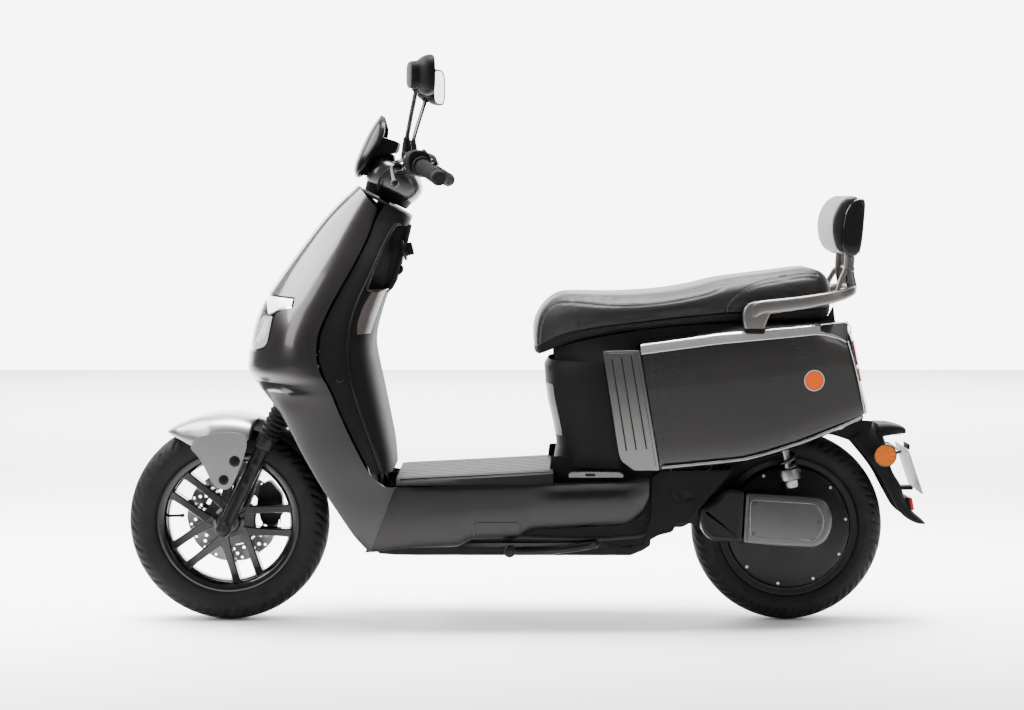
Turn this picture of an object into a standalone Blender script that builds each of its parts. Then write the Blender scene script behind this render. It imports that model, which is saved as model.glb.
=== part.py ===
"""Electric moped scooter, built as separate pieces on their real joints.

Frame: metres, +Z up, ground at z = 0.  The scooter faces -Y, its left side is +X.
The origin is on the ground, midway along the scooter's length.
"""
import bpy
import bmesh
import math
from mathutils import Vector, Matrix

for old in list(bpy.data.objects):
    bpy.data.objects.remove(old, do_unlink=True)

# ------------------------------------------------------------------ dimensions
GAP = 0.0006                      # clearance between pieces that touch
RAKE = math.radians(26.1)         # steering axis leans back from vertical
FRONT_AXLE = Vector((0.0, -0.694, 0.2325))
FRONT_R = 0.2325                  # front tyre radius, about 100/80-12
FRONT_W = 0.049                   # front tyre half width
REAR_AXLE = Vector((0.0, 0.602, 0.2215))
REAR_R = 0.2215                   # rear tyre radius, about 100/70-12
REAR_W = 0.048
TREAD = 0.031                     # half width of the tyre's flat crown
SEGS = 28                         # facets round a wheel, one flat facet down
RIM_R = 0.1640                    # rim flange radius
FORK_X = 0.084                    # fork leg offset from the middle
FORK_TRAVEL = 0.055
LEG_R = 0.0175
TUBE_R = 0.0135                   # stanchion radius
STEM_R = 0.0150
ARM_PIVOT = Vector((0.0, 0.352, 0.250))
SEAT_HINGE = Vector((0.0, 0.028, 0.626))
BODY_W = 0.168                    # half width of the rear body
SKIN = 0.0028                     # body panel thickness

AXIS = Vector((0.0, math.sin(RAKE), math.cos(RAKE)))      # up the steering axis
FWD = Vector((0.0, -math.cos(RAKE), math.sin(RAKE)))      # square to it, forward

model = bpy.data.collections.new("moped_scooter")
cutters = bpy.data.collections.new("cutters")
bpy.context.scene.collection.children.link(model)
bpy.context.scene.collection.children.link(cutters)


def on_axis(s, fwd=0.0, x=0.0):
    """A point s up the steering axis from the front axle, fwd ahead of it."""
    return FRONT_AXLE + AXIS * s + FWD * fwd + Vector((x, 0, 0))


# ------------------------------------------------------------------ materials
def material(name, rgb, rough, metal=0.0, alpha=1.0):
    m = bpy.data.materials.new(name)
    m.use_nodes = True
    b = m.node_tree.nodes["Principled BSDF"]
    b.inputs["Base Color"].default_value = (*rgb, 1.0)
    b.inputs["Roughness"].default_value = rough
    b.inputs["Metallic"].default_value = metal
    b.inputs["Alpha"].default_value = alpha
    return m


COLOURS = {
    "gunmetal": ((0.16, 0.155, 0.15), 0.28, 0.7),
    "silver": ((0.50, 0.49, 0.48), 0.32, 0.8),
    "champagne": ((0.45, 0.42, 0.40), 0.35, 0.8),
    "matte_black": ((0.025, 0.025, 0.027), 0.55, 0.0),
    "gloss_black": ((0.012, 0.012, 0.013), 0.15, 0.0),
    "frame_black": ((0.02, 0.02, 0.02), 0.4, 0.3),
    "tyre": ((0.018, 0.018, 0.019), 0.8, 0.0),
    "rubber": ((0.02, 0.02, 0.02), 0.7, 0.0),
    "leather": ((0.03, 0.029, 0.03), 0.5, 0.0),
    "steel": ((0.55, 0.55, 0.56), 0.3, 1.0),
    "red_lens": ((0.55, 0.02, 0.02), 0.1, 0.0),
    "amber_lens": ((0.9, 0.32, 0.02), 0.15, 0.0),
    "lamp": ((0.75, 0.78, 0.8), 0.08, 0.0),
    "white": ((0.85, 0.85, 0.83), 0.4, 0.0),
}


# ------------------------------------------------------------------ builders
def add(name, mesh, colour):
    ob = bpy.data.objects.new(name, mesh)
    model.objects.link(ob)
    rgb, rough, metal = COLOURS[colour]
    ob.data.materials.append(material(name, rgb, rough, metal))
    return ob


def mesh_of(bm, smooth=True):
    bmesh.ops.remove_doubles(bm, verts=bm.verts, dist=1e-6)
    bmesh.ops.recalc_face_normals(bm, faces=bm.faces)
    me = bpy.data.meshes.new("mesh")
    bm.to_mesh(me)
    bm.free()
    if smooth:
        me.shade_smooth()
        me.set_sharp_from_angle(angle=math.radians(40))
    return me


def grid_into(bm, rows):
    """Quads over rows of points; all rows hold the same number of points."""
    vs = [[bm.verts.new(p) for p in row] for row in rows]
    for a, b in zip(vs, vs[1:]):
        for i in range(len(a) - 1):
            bm.faces.new((a[i], a[i + 1], b[i + 1], b[i]))


def shell(name, grids, colour, thick=SKIN, mirror=False, inward=None):
    """Open surface made of point grids, thickened by Solidify."""
    bm = bmesh.new()
    for rows in grids:
        grid_into(bm, rows)
        if mirror:
            grid_into(bm, [[Vector((-p[0], p[1], p[2])) for p in reversed(row)]
                           for row in rows])
    bmesh.ops.remove_doubles(bm, verts=bm.verts, dist=1e-5)
    bmesh.ops.recalc_face_normals(bm, faces=bm.faces)
    if inward is not None:
        # make the first face look away from the inside point
        f = max(bm.faces, key=lambda q: q.calc_area())
        if f.normal.dot(Vector(inward) - f.calc_center_median()) > 0:
            bmesh.ops.reverse_faces(bm, faces=bm.faces)
    me = bpy.data.meshes.new("mesh")
    bm.to_mesh(me)
    bm.free()
    me.shade_smooth()
    me.set_sharp_from_angle(angle=math.radians(40))
    ob = add(name, me, colour)
    mod = ob.modifiers.new("thickness", "SOLIDIFY")
    mod.thickness = thick
    mod.offset = -1.0
    mod.use_even_offset = False
    return ob


def loft_mesh(rings, smooth=True):
    """Closed solid through rings of points, capped at both ends."""
    bm = bmesh.new()
    vs = [[bm.verts.new(p) for p in ring] for ring in rings]
    n = len(vs[0])
    for a, b in zip(vs, vs[1:]):
        for i in range(n):
            j = (i + 1) % n
            bm.faces.new((a[i], a[j], b[j], b[i]))
    bm.faces.new(list(reversed(vs[0])))
    bm.faces.new(vs[-1])
    return mesh_of(bm, smooth)


def turned(name, profile, centre, colour, steps=SEGS, half_turn=True, axis="X"):
    """Closed profile of (radius, along) points turned about an axis."""
    bm = bmesh.new()
    vs = []
    for r, a in profile:
        vs.append(bm.verts.new((r, 0.0, -a)))
    for i in range(len(vs)):
        bm.edges.new((vs[i], vs[(i + 1) % len(vs)]))
    me = bpy.data.meshes.new("mesh")
    bm.to_mesh(me)
    bm.free()
    ob = add(name, me, colour)
    mod = ob.modifiers.new("turn", "SCREW")
    mod.axis = "Z"
    mod.angle = 2 * math.pi
    mod.steps = steps
    mod.render_steps = steps
    mod.screw_offset = 0.0
    mod.use_merge_vertices = True
    mod.merge_threshold = 1e-5
    mod.use_normal_calculate = True
    turn0 = math.pi / steps if half_turn else 0.0
    if axis == "X":
        # a flat facet faces straight down
        ob.matrix_world = (Matrix.Translation(centre)
                           @ Matrix.Rotation(math.pi / 2, 4, "Y")
                           @ Matrix.Rotation(turn0, 4, "Z"))
    else:
        ob.matrix_world = Matrix.Translation(centre)
    return ob


def solid_ring(profile, steps, frame_matrix, smooth=True):
    """Mesh turned in code about local Z, for pieces that are then joined."""
    bm = bmesh.new()
    rings = []
    for k in range(steps):
        t = 2 * math.pi * (k + 0.5) / steps
        c, s = math.cos(t), math.sin(t)
        rings.append([bm.verts.new(frame_matrix @ Vector((r * c, r * s, a)))
                      for r, a in profile])
    n = len(profile)
    for k in range(steps):
        a, b = rings[k], rings[(k + 1) % steps]
        for i in range(n):
            j = (i + 1) % n
            bm.faces.new((a[i], a[j], b[j], b[i]))
    return mesh_of(bm, smooth)


def frame_along(p, direction):
    """Matrix whose Z runs along direction from p."""
    q = Vector(direction).to_track_quat("Z", "Y")
    return Matrix.Translation(p) @ q.to_matrix().to_4x4()


def rod_mesh(p, q, r, sides=12, r2=None, smooth=True):
    """Plain cylinder or cone between two points."""
    p, q = Vector(p), Vector(q)
    bm = bmesh.new()
    bmesh.ops.create_cone(bm, cap_ends=True, segments=sides, radius1=r,
                          radius2=r if r2 is None else r2, depth=(q - p).length)
    m = frame_along((p + q) / 2, q - p)
    bmesh.ops.transform(bm, matrix=m, verts=bm.verts)
    return mesh_of(bm, smooth)


def box_mesh(lo, hi, bevel=0.0, matrix=None):
    bm = bmesh.new()
    bmesh.ops.create_cube(bm, size=1.0)
    lo, hi = Vector(lo), Vector(hi)
    m = Matrix.Translation((lo + hi) / 2) @ Matrix.Diagonal((*(hi - lo), 1.0))
    if matrix is not None:
        m = matrix @ m
    bmesh.ops.transform(bm, matrix=m, verts=bm.verts)
    if bevel:
        bmesh.ops.bevel(bm, geom=list(bm.edges), offset=bevel, segments=1,
                        affect="EDGES", profile=0.5)
    return mesh_of(bm, False)


def box(name, lo, hi, colour, bevel=0.003, matrix=None):
    return add(name, box_mesh(lo, hi, bevel, matrix), colour)


def curve_mesh(points, r, res=2, closed=False):
    """Tube along points, its caps welded on."""
    cu = bpy.data.curves.new("path", "CURVE")
    cu.dimensions = "3D"
    sp = cu.splines.new("POLY")
    sp.points.add(len(points) - 1)
    for i, p in enumerate(points):
        sp.points[i].co = (*p, 1.0)
    cu.bevel_depth = r
    cu.bevel_resolution = res
    cu.use_fill_caps = True
    ob = bpy.data.objects.new("path", cu)
    bpy.context.scene.collection.objects.link(ob)
    bpy.context.view_layer.update()
    dg = bpy.context.evaluated_depsgraph_get()
    me = bpy.data.meshes.new_from_object(ob.evaluated_get(dg))
    bpy.data.objects.remove(ob, do_unlink=True)
    bm = bmesh.new()
    bm.from_mesh(me)
    return mesh_of(bm)


def smooth_path(points, n):
    """Points on a Catmull-Rom curve through the given ones."""
    pts = [Vector(p) for p in points]
    pts = [pts[0] * 2 - pts[1]] + pts + [pts[-1] * 2 - pts[-2]]
    out = []
    for i in range(1, len(pts) - 2):
        a, b, c, d = pts[i - 1:i + 3]
        for k in range(n):
            t = k / n
            out.append(0.5 * ((2 * b) + (c - a) * t + (2 * a - 5 * b + 4 * c - d) * t * t
                              + (3 * b - a - 3 * c + d) * t ** 3))
    out.append(pts[-2])
    return out


def flat_mesh(outline, x0, x1, holes=(), bevel=0.0):
    """Outline of (y, z) points made a plate between x0 and x1."""
    cu = bpy.data.curves.new("outline", "CURVE")
    cu.dimensions = "2D"
    cu.fill_mode = "BOTH"
    for loop in [outline, *holes]:
        sp = cu.splines.new("POLY")
        sp.points.add(len(loop) - 1)
        for i, (y, z) in enumerate(loop):
            sp.points[i].co = (y, z, 0.0, 1.0)
        sp.use_cyclic_u = True
    cu.extrude = abs(x1 - x0) / 2
    ob = bpy.data.objects.new("outline", cu)
    bpy.context.scene.collection.objects.link(ob)
    bpy.context.view_layer.update()
    dg = bpy.context.evaluated_depsgraph_get()
    me = bpy.data.meshes.new_from_object(ob.evaluated_get(dg))
    bpy.data.objects.remove(ob, do_unlink=True)
    bm = bmesh.new()
    bm.from_mesh(me)
    bmesh.ops.remove_doubles(bm, verts=bm.verts, dist=1e-6)
    # local x, y, z  ->  world y, z, x
    m = Matrix(((0, 0, 1, (x0 + x1) / 2), (1, 0, 0, 0), (0, 1, 0, 0), (0, 0, 0, 1)))
    bmesh.ops.transform(bm, matrix=m, verts=bm.verts)
    if bevel:
        edges = [e for e in bm.edges if len(e.link_faces) == 2
                 and e.calc_face_angle(0) > 0.6 and
                 abs((e.verts[0].co - e.verts[1].co).x) < 1e-6]
        bmesh.ops.bevel(bm, geom=edges, offset=bevel, segments=1,
                        affect="EDGES", profile=0.5)
    return mesh_of(bm, False)


def boolean(ob, mesh, how):
    """Union with, or cut by, another mesh, applied at once."""
    tool = bpy.data.objects.new(ob.name + "_" + how.lower(), mesh)
    cutters.objects.link(tool)
    tool.hide_render = True
    tool.display_type = "WIRE"
    mod = ob.modifiers.new(how.lower(), "BOOLEAN")
    mod.operation = how
    mod.object = tool
    mod.solver = "EXACT"
    bpy.context.view_layer.update()
    dg = bpy.context.evaluated_depsgraph_get()
    me = bpy.data.meshes.new_from_object(ob.evaluated_get(dg))
    bm = bmesh.new()
    bm.from_mesh(me)
    bmesh.ops.remove_doubles(bm, verts=bm.verts, dist=2e-6)
    bmesh.ops.dissolve_degenerate(bm, edges=bm.edges, dist=1e-6)
    bm.to_mesh(me)
    bm.free()
    me.shade_smooth()
    me.set_sharp_from_angle(angle=math.radians(40))
    mats = [m for m in ob.data.materials]
    ob.modifiers.clear()
    ob.data = me
    ob.data.materials.clear()
    for m in mats[:1]:
        ob.data.materials.append(m)
    for poly in ob.data.polygons:
        poly.material_index = 0
    ob.matrix_world = Matrix.Identity(4)
    bpy.data.objects.remove(tool, do_unlink=True)
    return ob


def union(ob, *meshes):
    for me in meshes:
        boolean(ob, me, "UNION")
    return ob


def cut(ob, *meshes):
    for me in meshes:
        boolean(ob, me, "DIFFERENCE")
    return ob


def mirrored(mesh):
    me = mesh.copy()
    bm = bmesh.new()
    bm.from_mesh(me)
    bmesh.ops.transform(bm, matrix=Matrix.Diagonal((-1, 1, 1, 1)), verts=bm.verts)
    bmesh.ops.reverse_faces(bm, faces=bm.faces)
    bm.to_mesh(me)
    bm.free()
    return me


def lerp_table(table, t):
    """Straight-line value at t from a list of (t, value...) rows."""
    if t <= table[0][0]:
        return table[0][1:]
    for a, b in zip(table, table[1:]):
        if t <= b[0]:
            k = (t - a[0]) / (b[0] - a[0])
            return tuple(p + (q - p) * k for p, q in zip(a[1:], b[1:]))
    return table[-1][1:]


def wrap(front, side, cols, round_x=1.0, round_y=1.0):
    """Points from a front-centre point round to a side point, elliptic in plan."""
    out = []
    for i in range(cols + 1):
        t = 0.5 * math.pi * i / cols
        gx = math.sin(t) ** round_x
        gy = 1.0 - math.cos(t) ** round_y if i < cols else 1.0
        out.append(Vector((front[0] + (side[0] - front[0]) * gx,
                           front[1] + (side[1] - front[1]) * gy,
                           front[2] + (side[2] - front[2]) * gy)))
    return out


# ------------------------------------------------------------------ wheels
def tyre_profile(r, w, flange):
    """Hollow tyre section with a flat crown: (radius, across) points."""
    c = r / math.cos(math.pi / SEGS)
    half = [(c, TREAD), (c - 0.0055, w * 0.86), (c - 0.016, w * 0.98),
            (c - 0.032, w), (flange + 0.0060, w * 0.86), (flange + 0.0035, 0.0335),
            (flange - 0.0095, 0.0335)]
    inner = [(flange - 0.0095, 0.0260), (c - 0.016, w * 0.72)]
    pts = half + inner
    return pts + [(a, -b) for a, b in reversed(pts)]


turned("front_tyre", tyre_profile(FRONT_R, FRONT_W, RIM_R), FRONT_AXLE, "tyre")
turned("rear_tyre", tyre_profile(REAR_R, REAR_W, RIM_R - 0.004), REAR_AXLE, "tyre")

X_FRONT = Matrix.Translation(FRONT_AXLE) @ Matrix.Rotation(math.pi / 2, 4, "Y")

# front rim: barrel, five U-shaped pairs of spokes and a bored hub
barrel = [(RIM_R, 0.0372), (RIM_R, 0.0345), (RIM_R - 0.0110, 0.0345),
          (RIM_R - 0.0110, -0.0345), (RIM_R, -0.0345), (RIM_R, -0.0372),
          (RIM_R - 0.0160, -0.0372), (RIM_R - 0.0230, -0.0180), (RIM_R - 0.0230, 0.0180),
          (RIM_R - 0.0160, 0.0372)]
rim = add("front_rim", solid_ring(list(reversed(barrel)), SEGS, X_FRONT), "gloss_black")


def spoke_disc():
    """Spoke plate outline in the wheel's plane, with the gaps between spokes."""
    outer_r, hub_r, half_gap, bar = RIM_R - 0.0165, 0.040, 0.021, 0.0135
    cy, cz = FRONT_AXLE.y, FRONT_AXLE.z
    outer = [(cy + outer_r * math.cos(2 * math.pi * (k + 0.5) / 30),
              cz + outer_r * math.sin(2 * math.pi * (k + 0.5) / 30)) for k in range(30)]
    holes = []
    r_in = outer_r - 0.0085
    for n in range(5):
        a = 2 * math.pi * n / 5

        def at(along, across):
            return (cy + along * math.cos(a) - across * math.sin(a),
                    cz + along * math.sin(a) + across * math.cos(a))
        # slot inside the U
        top = math.sqrt(r_in ** 2 - half_gap ** 2)
        holes.append([at(hub_r + 0.012, -half_gap * 0.8), at(top, -half_gap),
                      at(r_in, 0.0), at(top, half_gap), at(hub_r + 0.012, half_gap * 0.8),
                      at(hub_r + 0.004, 0.0)])
        # opening between this pair of spokes and the next
        b = a + math.pi / 5
        edge = half_gap + bar
        t0 = math.asin(edge / r_in)
        pts = []
        for k in range(4):
            t = a + t0 + (2 * math.pi / 5 - 2 * t0) * k / 3
            pts.append((cy + r_in * math.cos(t), cz + r_in * math.sin(t)))
        root = (edge + 0.004) / math.sin(math.pi / 5)
        pts.append((cy + root * math.cos(b), cz + root * math.sin(b)))
        holes.append(pts)
    return flat_mesh(outer, -0.012, 0.022, holes)


union(rim, spoke_disc())
union(rim, rod_mesh(FRONT_AXLE - Vector((0.0545, 0, 0)), FRONT_AXLE + Vector((0.046, 0, 0)),
                    0.033, 16))
cut(rim, rod_mesh(FRONT_AXLE - Vector((0.08, 0, 0)), FRONT_AXLE + Vector((0.08, 0, 0)),
                  0.0105, 12))

# brake disc on the right end of the hub
disc_holes = [[(FRONT_AXLE.y + 0.0125 * math.cos(t), FRONT_AXLE.z + 0.0125 * math.sin(t))
               for t in [2 * math.pi * k / 12 for k in range(12)]]]
for k in range(10):
    t = 2 * math.pi * k / 10
    cy, cz = FRONT_AXLE.y + 0.086 * math.cos(t), FRONT_AXLE.z + 0.086 * math.sin(t)
    disc_holes.append([(cy + 0.011 * math.cos(u), cz + 0.011 * math.sin(u))
                       for u in [2 * math.pi * j / 6 for j in range(6)]])
disc = add("brake_disc", flat_mesh(
    [(FRONT_AXLE.y + 0.109 * math.cos(2 * math.pi * k / 24),
      FRONT_AXLE.z + 0.109 * math.sin(2 * math.pi * k / 24)) for k in range(24)],
    -0.0590, -0.0552, disc_holes), "steel")

# rear wheel: hub motor with its rim, turning on the arm's axle
hub = [(RIM_R - 0.004, 0.0372), (RIM_R - 0.004, 0.0345), (RIM_R - 0.0150, 0.0345),
       (RIM_R - 0.0150, -0.0345), (RIM_R - 0.004, -0.0345), (RIM_R - 0.004, -0.0372),
       (0.1440, -0.0380), (0.1400, -0.0480), (0.040, -0.0560), (0.0112, -0.0575),
       (0.0112, 0.0575), (0.040, 0.0560), (0.1400, 0.0480), (0.1440, 0.0380)]
turned("hub_motor", list(reversed(hub)), REAR_AXLE, "gloss_black")

# ------------------------------------------------------------------ front fork
leg_meshes = []
for sx in (1, -1):
    leg_meshes.append(rod_mesh(on_axis(-0.026, 0, sx * FORK_X), on_axis(0.214, 0, sx * FORK_X),
                               LEG_R, 12))
lower = add("fork_lower", leg_meshes[0], "frame_black")
union(lower, rod_mesh(FRONT_AXLE - Vector((FORK_X, 0, 0)), FRONT_AXLE + Vector((FORK_X, 0, 0)),
                      0.0095, 10))
union(lower, leg_meshes[1])
for sx in (1, -1):
    # dust-seal collar, then the bore that the inner tube slides in
    union(lower, rod_mesh(on_axis(0.200, 0, sx * FORK_X), on_axis(0.226, 0, sx * FORK_X),
                          0.0225, 12))
for sx in (1, -1):
    cut(lower, rod_mesh(on_axis(0.030, 0, sx * FORK_X), on_axis(0.250, 0, sx * FORK_X),
                        0.0148, 12))
    cut(lower, rod_mesh(on_axis(0.2265, 0, sx * FORK_X), on_axis(0.260, 0, sx * FORK_X),
                        0.0200, 12))

# rubber gaiters over the inner tubes
for sx, side in ((1, "L"), (-1, "R")):
    rings = []
    n = 7
    for i in range(n):
        s = 0.2275 + 0.112 * i / (n - 1)
        rings.append((0.0260 if i % 2 == 0 else 0.0215, s))
    prof = rings + [(0.0165, rings[-1][1]), (0.0165, rings[0][1])]
    base = Matrix.Translation(FRONT_AXLE + Vector((sx * FORK_X, 0, 0))) @ \
        Vector(AXIS).to_track_quat("Z", "Y").to_matrix().to_4x4()
    add("fork_gaiter_" + side, solid_ring(prof, 12, base), "rubber")


# front fender: an arch over the tyre with side plates bolted to the legs
def fender_rows(cols=4, n=11):
    rows = []
    width = [(-34, 0.030), (-27, 0.066), (-18, 0.090), (-8, 0.1030), (6, 0.1050), (15.5, 0.1050),
             (18.5, 0.0560), (26, 0.0550)]
    depth = [(-34, 0.006), (-27, 0.018), (-14, 0.042), (-4, 0.052), (15.5, 0.052), (18.5, 0.030),
             (26, 0.030)]
    for i, ang_deg in enumerate((-34, -30, -24, -17, -9, 0, 8, 15.5, 18.5, 26)):
        ang = math.radians(ang_deg)                 # from the front tip to the rear
        r = 0.2545
        up = Vector((0, math.sin(ang), math.cos(ang)))
        w = lerp_table(width, ang_deg)[0]
        drop = lerp_table(depth, ang_deg)[0]
        row = []
        for j in range(cols + 1):
            t = 0.5 * math.pi * j / cols
            x = w * math.sin(t) ** 0.75
            d = drop * (1 - math.cos(t) ** 1.2) if j < cols else drop
            row.append(FRONT_AXLE + up * (r - d) + Vector((x, 0, 0)))
        rows.append(row)
    return rows


fender = shell("front_fender", [fender_rows()], "silver", 0.0028, mirror=True,
               inward=FRONT_AXLE)
# side plates that reach down to the bolts on the legs
plate = [(-0.738, 0.444), (-0.648, 0.442), (-0.640, 0.416), (-0.652, 0.377), (-0.684, 0.316),
         (-0.719, 0.330), (-0.744, 0.372)]
for sx in (1, -1):
    union(fender, flat_mesh(plate, sx * 0.1040, sx * 0.1066))

# brake caliper behind the disc, held to the right leg
caliper = [(-0.600, 0.205), (-0.575, 0.240), (-0.578, 0.285), (-0.606, 0.318), (-0.632, 0.306),
           (-0.640, 0.262), (-0.628, 0.218)]
cal = add("brake_caliper", flat_mesh(caliper, -0.0770, -0.0460, bevel=0.003), "matte_black")
cut(cal, flat_mesh([(FRONT_AXLE.y + 0.1125 * math.cos(2 * math.pi * k / 30),
                     FRONT_AXLE.z + 0.1125 * math.sin(2 * math.pi * k / 30))
                    for k in range(30)], -0.0612, -0.0530))
cut(cal, rod_mesh(on_axis(-0.05, 0, -FORK_X), on_axis(0.25, 0, -FORK_X), LEG_R + GAP, 16))

# ------------------------------------------------------------------ steering
stem = add("steering_stem", rod_mesh(on_axis(0.385), on_axis(0.862), STEM_R, 16), "frame_black")
yoke = []
for k in range(20):
    t = 2 * math.pi * k / 20
    wide = abs(math.cos(t)) > 0.5
    yoke.append((0.106 * math.cos(t), (0.024 if wide else 0.030) * math.sin(t)))
ym = frame_along(on_axis(0.395), AXIS)
union(stem, loft_mesh([[ym @ Vector((x, y, z)) for x, y in yoke] for z in (-0.013, 0.013)]))
for sx in (1, -1):
    union(stem, rod_mesh(on_axis(0.112, 0, sx * FORK_X), on_axis(0.416, 0, sx * FORK_X),
                         TUBE_R, 12))

BAR = [(0.345, -0.1905, 1.0215), (0.215, -0.2400, 1.0535), (0.150, -0.2660, 1.0540),
       (0.070, -0.2920, 1.0410), (0.0, -0.3000, 1.0360)]
bar_pts = smooth_path([Vector(p) for p in BAR]
                      + [Vector((-p[0], p[1], p[2])) for p in reversed(BAR[:-1])], 2)
BAR_R = 0.0110
add("handlebar", curve_mesh(bar_pts, BAR_R, 2), "frame_black")


def bar_point(x):
    """Bar centre and direction at a lateral distance x."""
    pts = [p for p in bar_pts if p.x >= -1e-6] if x >= 0 else [p for p in bar_pts if p.x <= 1e-6]
    pts.sort(key=lambda p: p.x)
    for a, b in zip(pts, pts[1:]):
        if a.x <= x <= b.x:
            k = (x - a.x) / (b.x - a.x)
            return a.lerp(b, k), (b - a).normalized()
    return pts[-1], (pts[-1] - pts[-2]).normalized()


def sleeve(name, xa, xb, r, colour, sides=14, flange=True):
    """Sleeve over the bar's straight end between two lateral distances."""
    a, _ = bar_point(xa)
    b, _ = bar_point(xb)
    m = frame_along(a, b - a)
    h = (b - a).length
    ri = BAR_R + 0.0022
    prof = [(ri, 0.0), (r + (0.006 if flange else 0.0), 0.0),
            (r + (0.006 if flange else 0.0), 0.005), (r, 0.008), (r, h - 0.010),
            (r + 0.0015, h - 0.006), (r + 0.0005, h), (ri, h)]
    return add(name, solid_ring(prof, sides, m), colour)


sleeve("grip_left", 0.2245, 0.340, 0.0155, "rubber")
sleeve("throttle_grip", -0.2245, -0.340, 0.0155, "rubber")

for sx, side in ((1, "left"), (-1, "right")):
    a, d = bar_point(sx * 0.178)
    b, _ = bar_point(sx * 0.2165)
    m = frame_along(a, b - a)
    h = (b - a).length
    prof = [(0.0125, 0.0), (0.024, 0.0), (0.030, 0.006), (0.031, h - 0.006), (0.027, h),
            (0.0125, h)]
    hs = add("switch_housing_" + side, solid_ring(prof, 14, m), "matte_black")

# handlebar cover: the silver-grey shell that turns with the bar above the neck
cover_rings = []
for s, w, f, r in ((0.838, 0.052, 0.046, 0.050), (0.850, 0.066, 0.058, 0.062),
                   (0.880, 0.078, 0.066, 0.070), (0.900, 0.076, 0.056, 0.056),
                   (0.915, 0.062, 0.040, 0.038)):
    ring = []
    for k in range(16):
        t = 2 * math.pi * k / 16
        c, q = math.cos(t), math.sin(t)
        x = w * math.copysign(abs(c) ** 0.8, c)
        y = (f if q > 0 else r) * math.copysign(abs(q) ** 0.8, q)
        ring.append(on_axis(s, y, x))
    cover_rings.append(ring)
hc = add("handlebar_cover", loft_mesh(cover_rings), "silver")
# room inside for the stem, the bar and its clamp
cut(hc, rod_mesh(on_axis(0.80), on_axis(0.8630), STEM_R + 0.001, 16))
cut(hc, curve_mesh(bar_pts, BAR_R + 0.0030, 2))


# dash shield in front of the bar, with the instrument behind it
def visor_rows(cols=5, n=9):
    front = [(-0.338, 1.171), (-0.352, 1.152), (-0.366, 1.130), (-0.379, 1.104), (-0.390, 1.080),
             (-0.397, 1.062), (-0.400, 1.046), (-0.398, 1.034), (-0.393, 1.026)]
    back = [(-0.330, 1.166), (-0.3265, 1.150), (-0.3255, 1.132), (-0.331, 1.113), (-0.343, 1.094),
            (-0.357, 1.074), (-0.368, 1.056), (-0.378, 1.042), (-0.386, 1.030)]
    half = [0.030, 0.062, 0.078, 0.086, 0.088, 0.086, 0.080, 0.070, 0.052]
    return [wrap((0, f[0], f[1]), (w, b[0], b[1]), cols, 0.85, 1.0)
            for f, b, w in zip(front, back, half)]


visor = shell("dash_shield", [visor_rows()], "gloss_black", 0.0030, mirror=True,
              inward=(0, -0.30, 1.09))
union(visor, flat_mesh([(-0.3930, 1.0720), (-0.3460, 1.1220), (-0.3330, 1.1190), (-0.2940, 1.1070),
                        (-0.3050, 1.0840), (-0.3500, 1.0810), (-0.3820, 1.0700)],
                       -0.0460, 0.0460))


# brake levers
def lever(sx):
    piv = Vector((sx * 0.188, -0.2900, 1.0500))
    pts = smooth_path([piv, (sx * 0.215, -0.3010, 1.0460), (sx * 0.262, -0.2970, 1.0310),
                       (sx * 0.318, -0.2900, 1.0135)], 2)
    ob = add("brake_lever_" + ("left" if sx > 0 else "right"), curve_mesh(pts, 0.0055, 2),
             "gloss_black")
    bm = bmesh.new()
    bmesh.ops.create_uvsphere(bm, u_segments=8, v_segments=6, radius=0.0082)
    bmesh.ops.transform(bm, matrix=Matrix.Translation(pts[-1]), verts=bm.verts)
    union(ob, mesh_of(bm))
    return ob


lever(1)
lever(-1)


# mirrors: arm from its boot, and a head on a ball joint
MIRROR = {}
for sx, side in ((1, "left"), (-1, "right")):
    base = Vector((sx * 0.150, -0.2720, 1.0820))
    boot = rod_mesh(base - Vector((0, 0, 0.0158)), base + Vector((0, 0, 0.032)), 0.0115, 12, 0.0070)
    arm_pts = smooth_path([base + Vector((0, 0, 0.025)), (sx * 0.160, -0.2700, 1.130),
                           (sx * 0.205, -0.2620, 1.178), (sx * 0.262, -0.2450, 1.2180)], 2)
    arm = add("mirror_arm_" + side, curve_mesh(arm_pts, 0.0052, 2), "gloss_black")
    union(arm, boot)
    yaw = math.radians(11.0) * sx
    c = Vector((sx * 0.290, -0.2260, 1.2470))
    m = Matrix.Translation(c) @ Matrix.Rotation(yaw, 4, "Z")
    rings = []
    for y, k in ((0.0140, 0.93), (0.0120, 1.0), (0.0040, 1.0), (-0.0140, 0.90), (-0.0280, 0.66),
                 (-0.0350, 0.36)):
        ring = []
        for j in range(16):
            t = 2 * math.pi * j / 16
            ex = 0.0620 * k * math.copysign(abs(math.cos(t)) ** 0.62, math.cos(t))
            ez = 0.0435 * k * math.copysign(abs(math.sin(t)) ** 0.62, math.sin(t))
            ring.append(m @ Vector((ex, y, ez)))
        rings.append(ring)
    head = add("mirror_head_" + side, loft_mesh(rings), "matte_black")
    ball = arm_pts[-1]
    cut(head, rod_mesh(ball - (arm_pts[-1] - arm_pts[-2]) * 2.5,
                       ball + (arm_pts[-1] - arm_pts[-2]).normalized() * 0.010, 0.0105, 10))
    MIRROR[side] = (c, m, ball)

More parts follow.
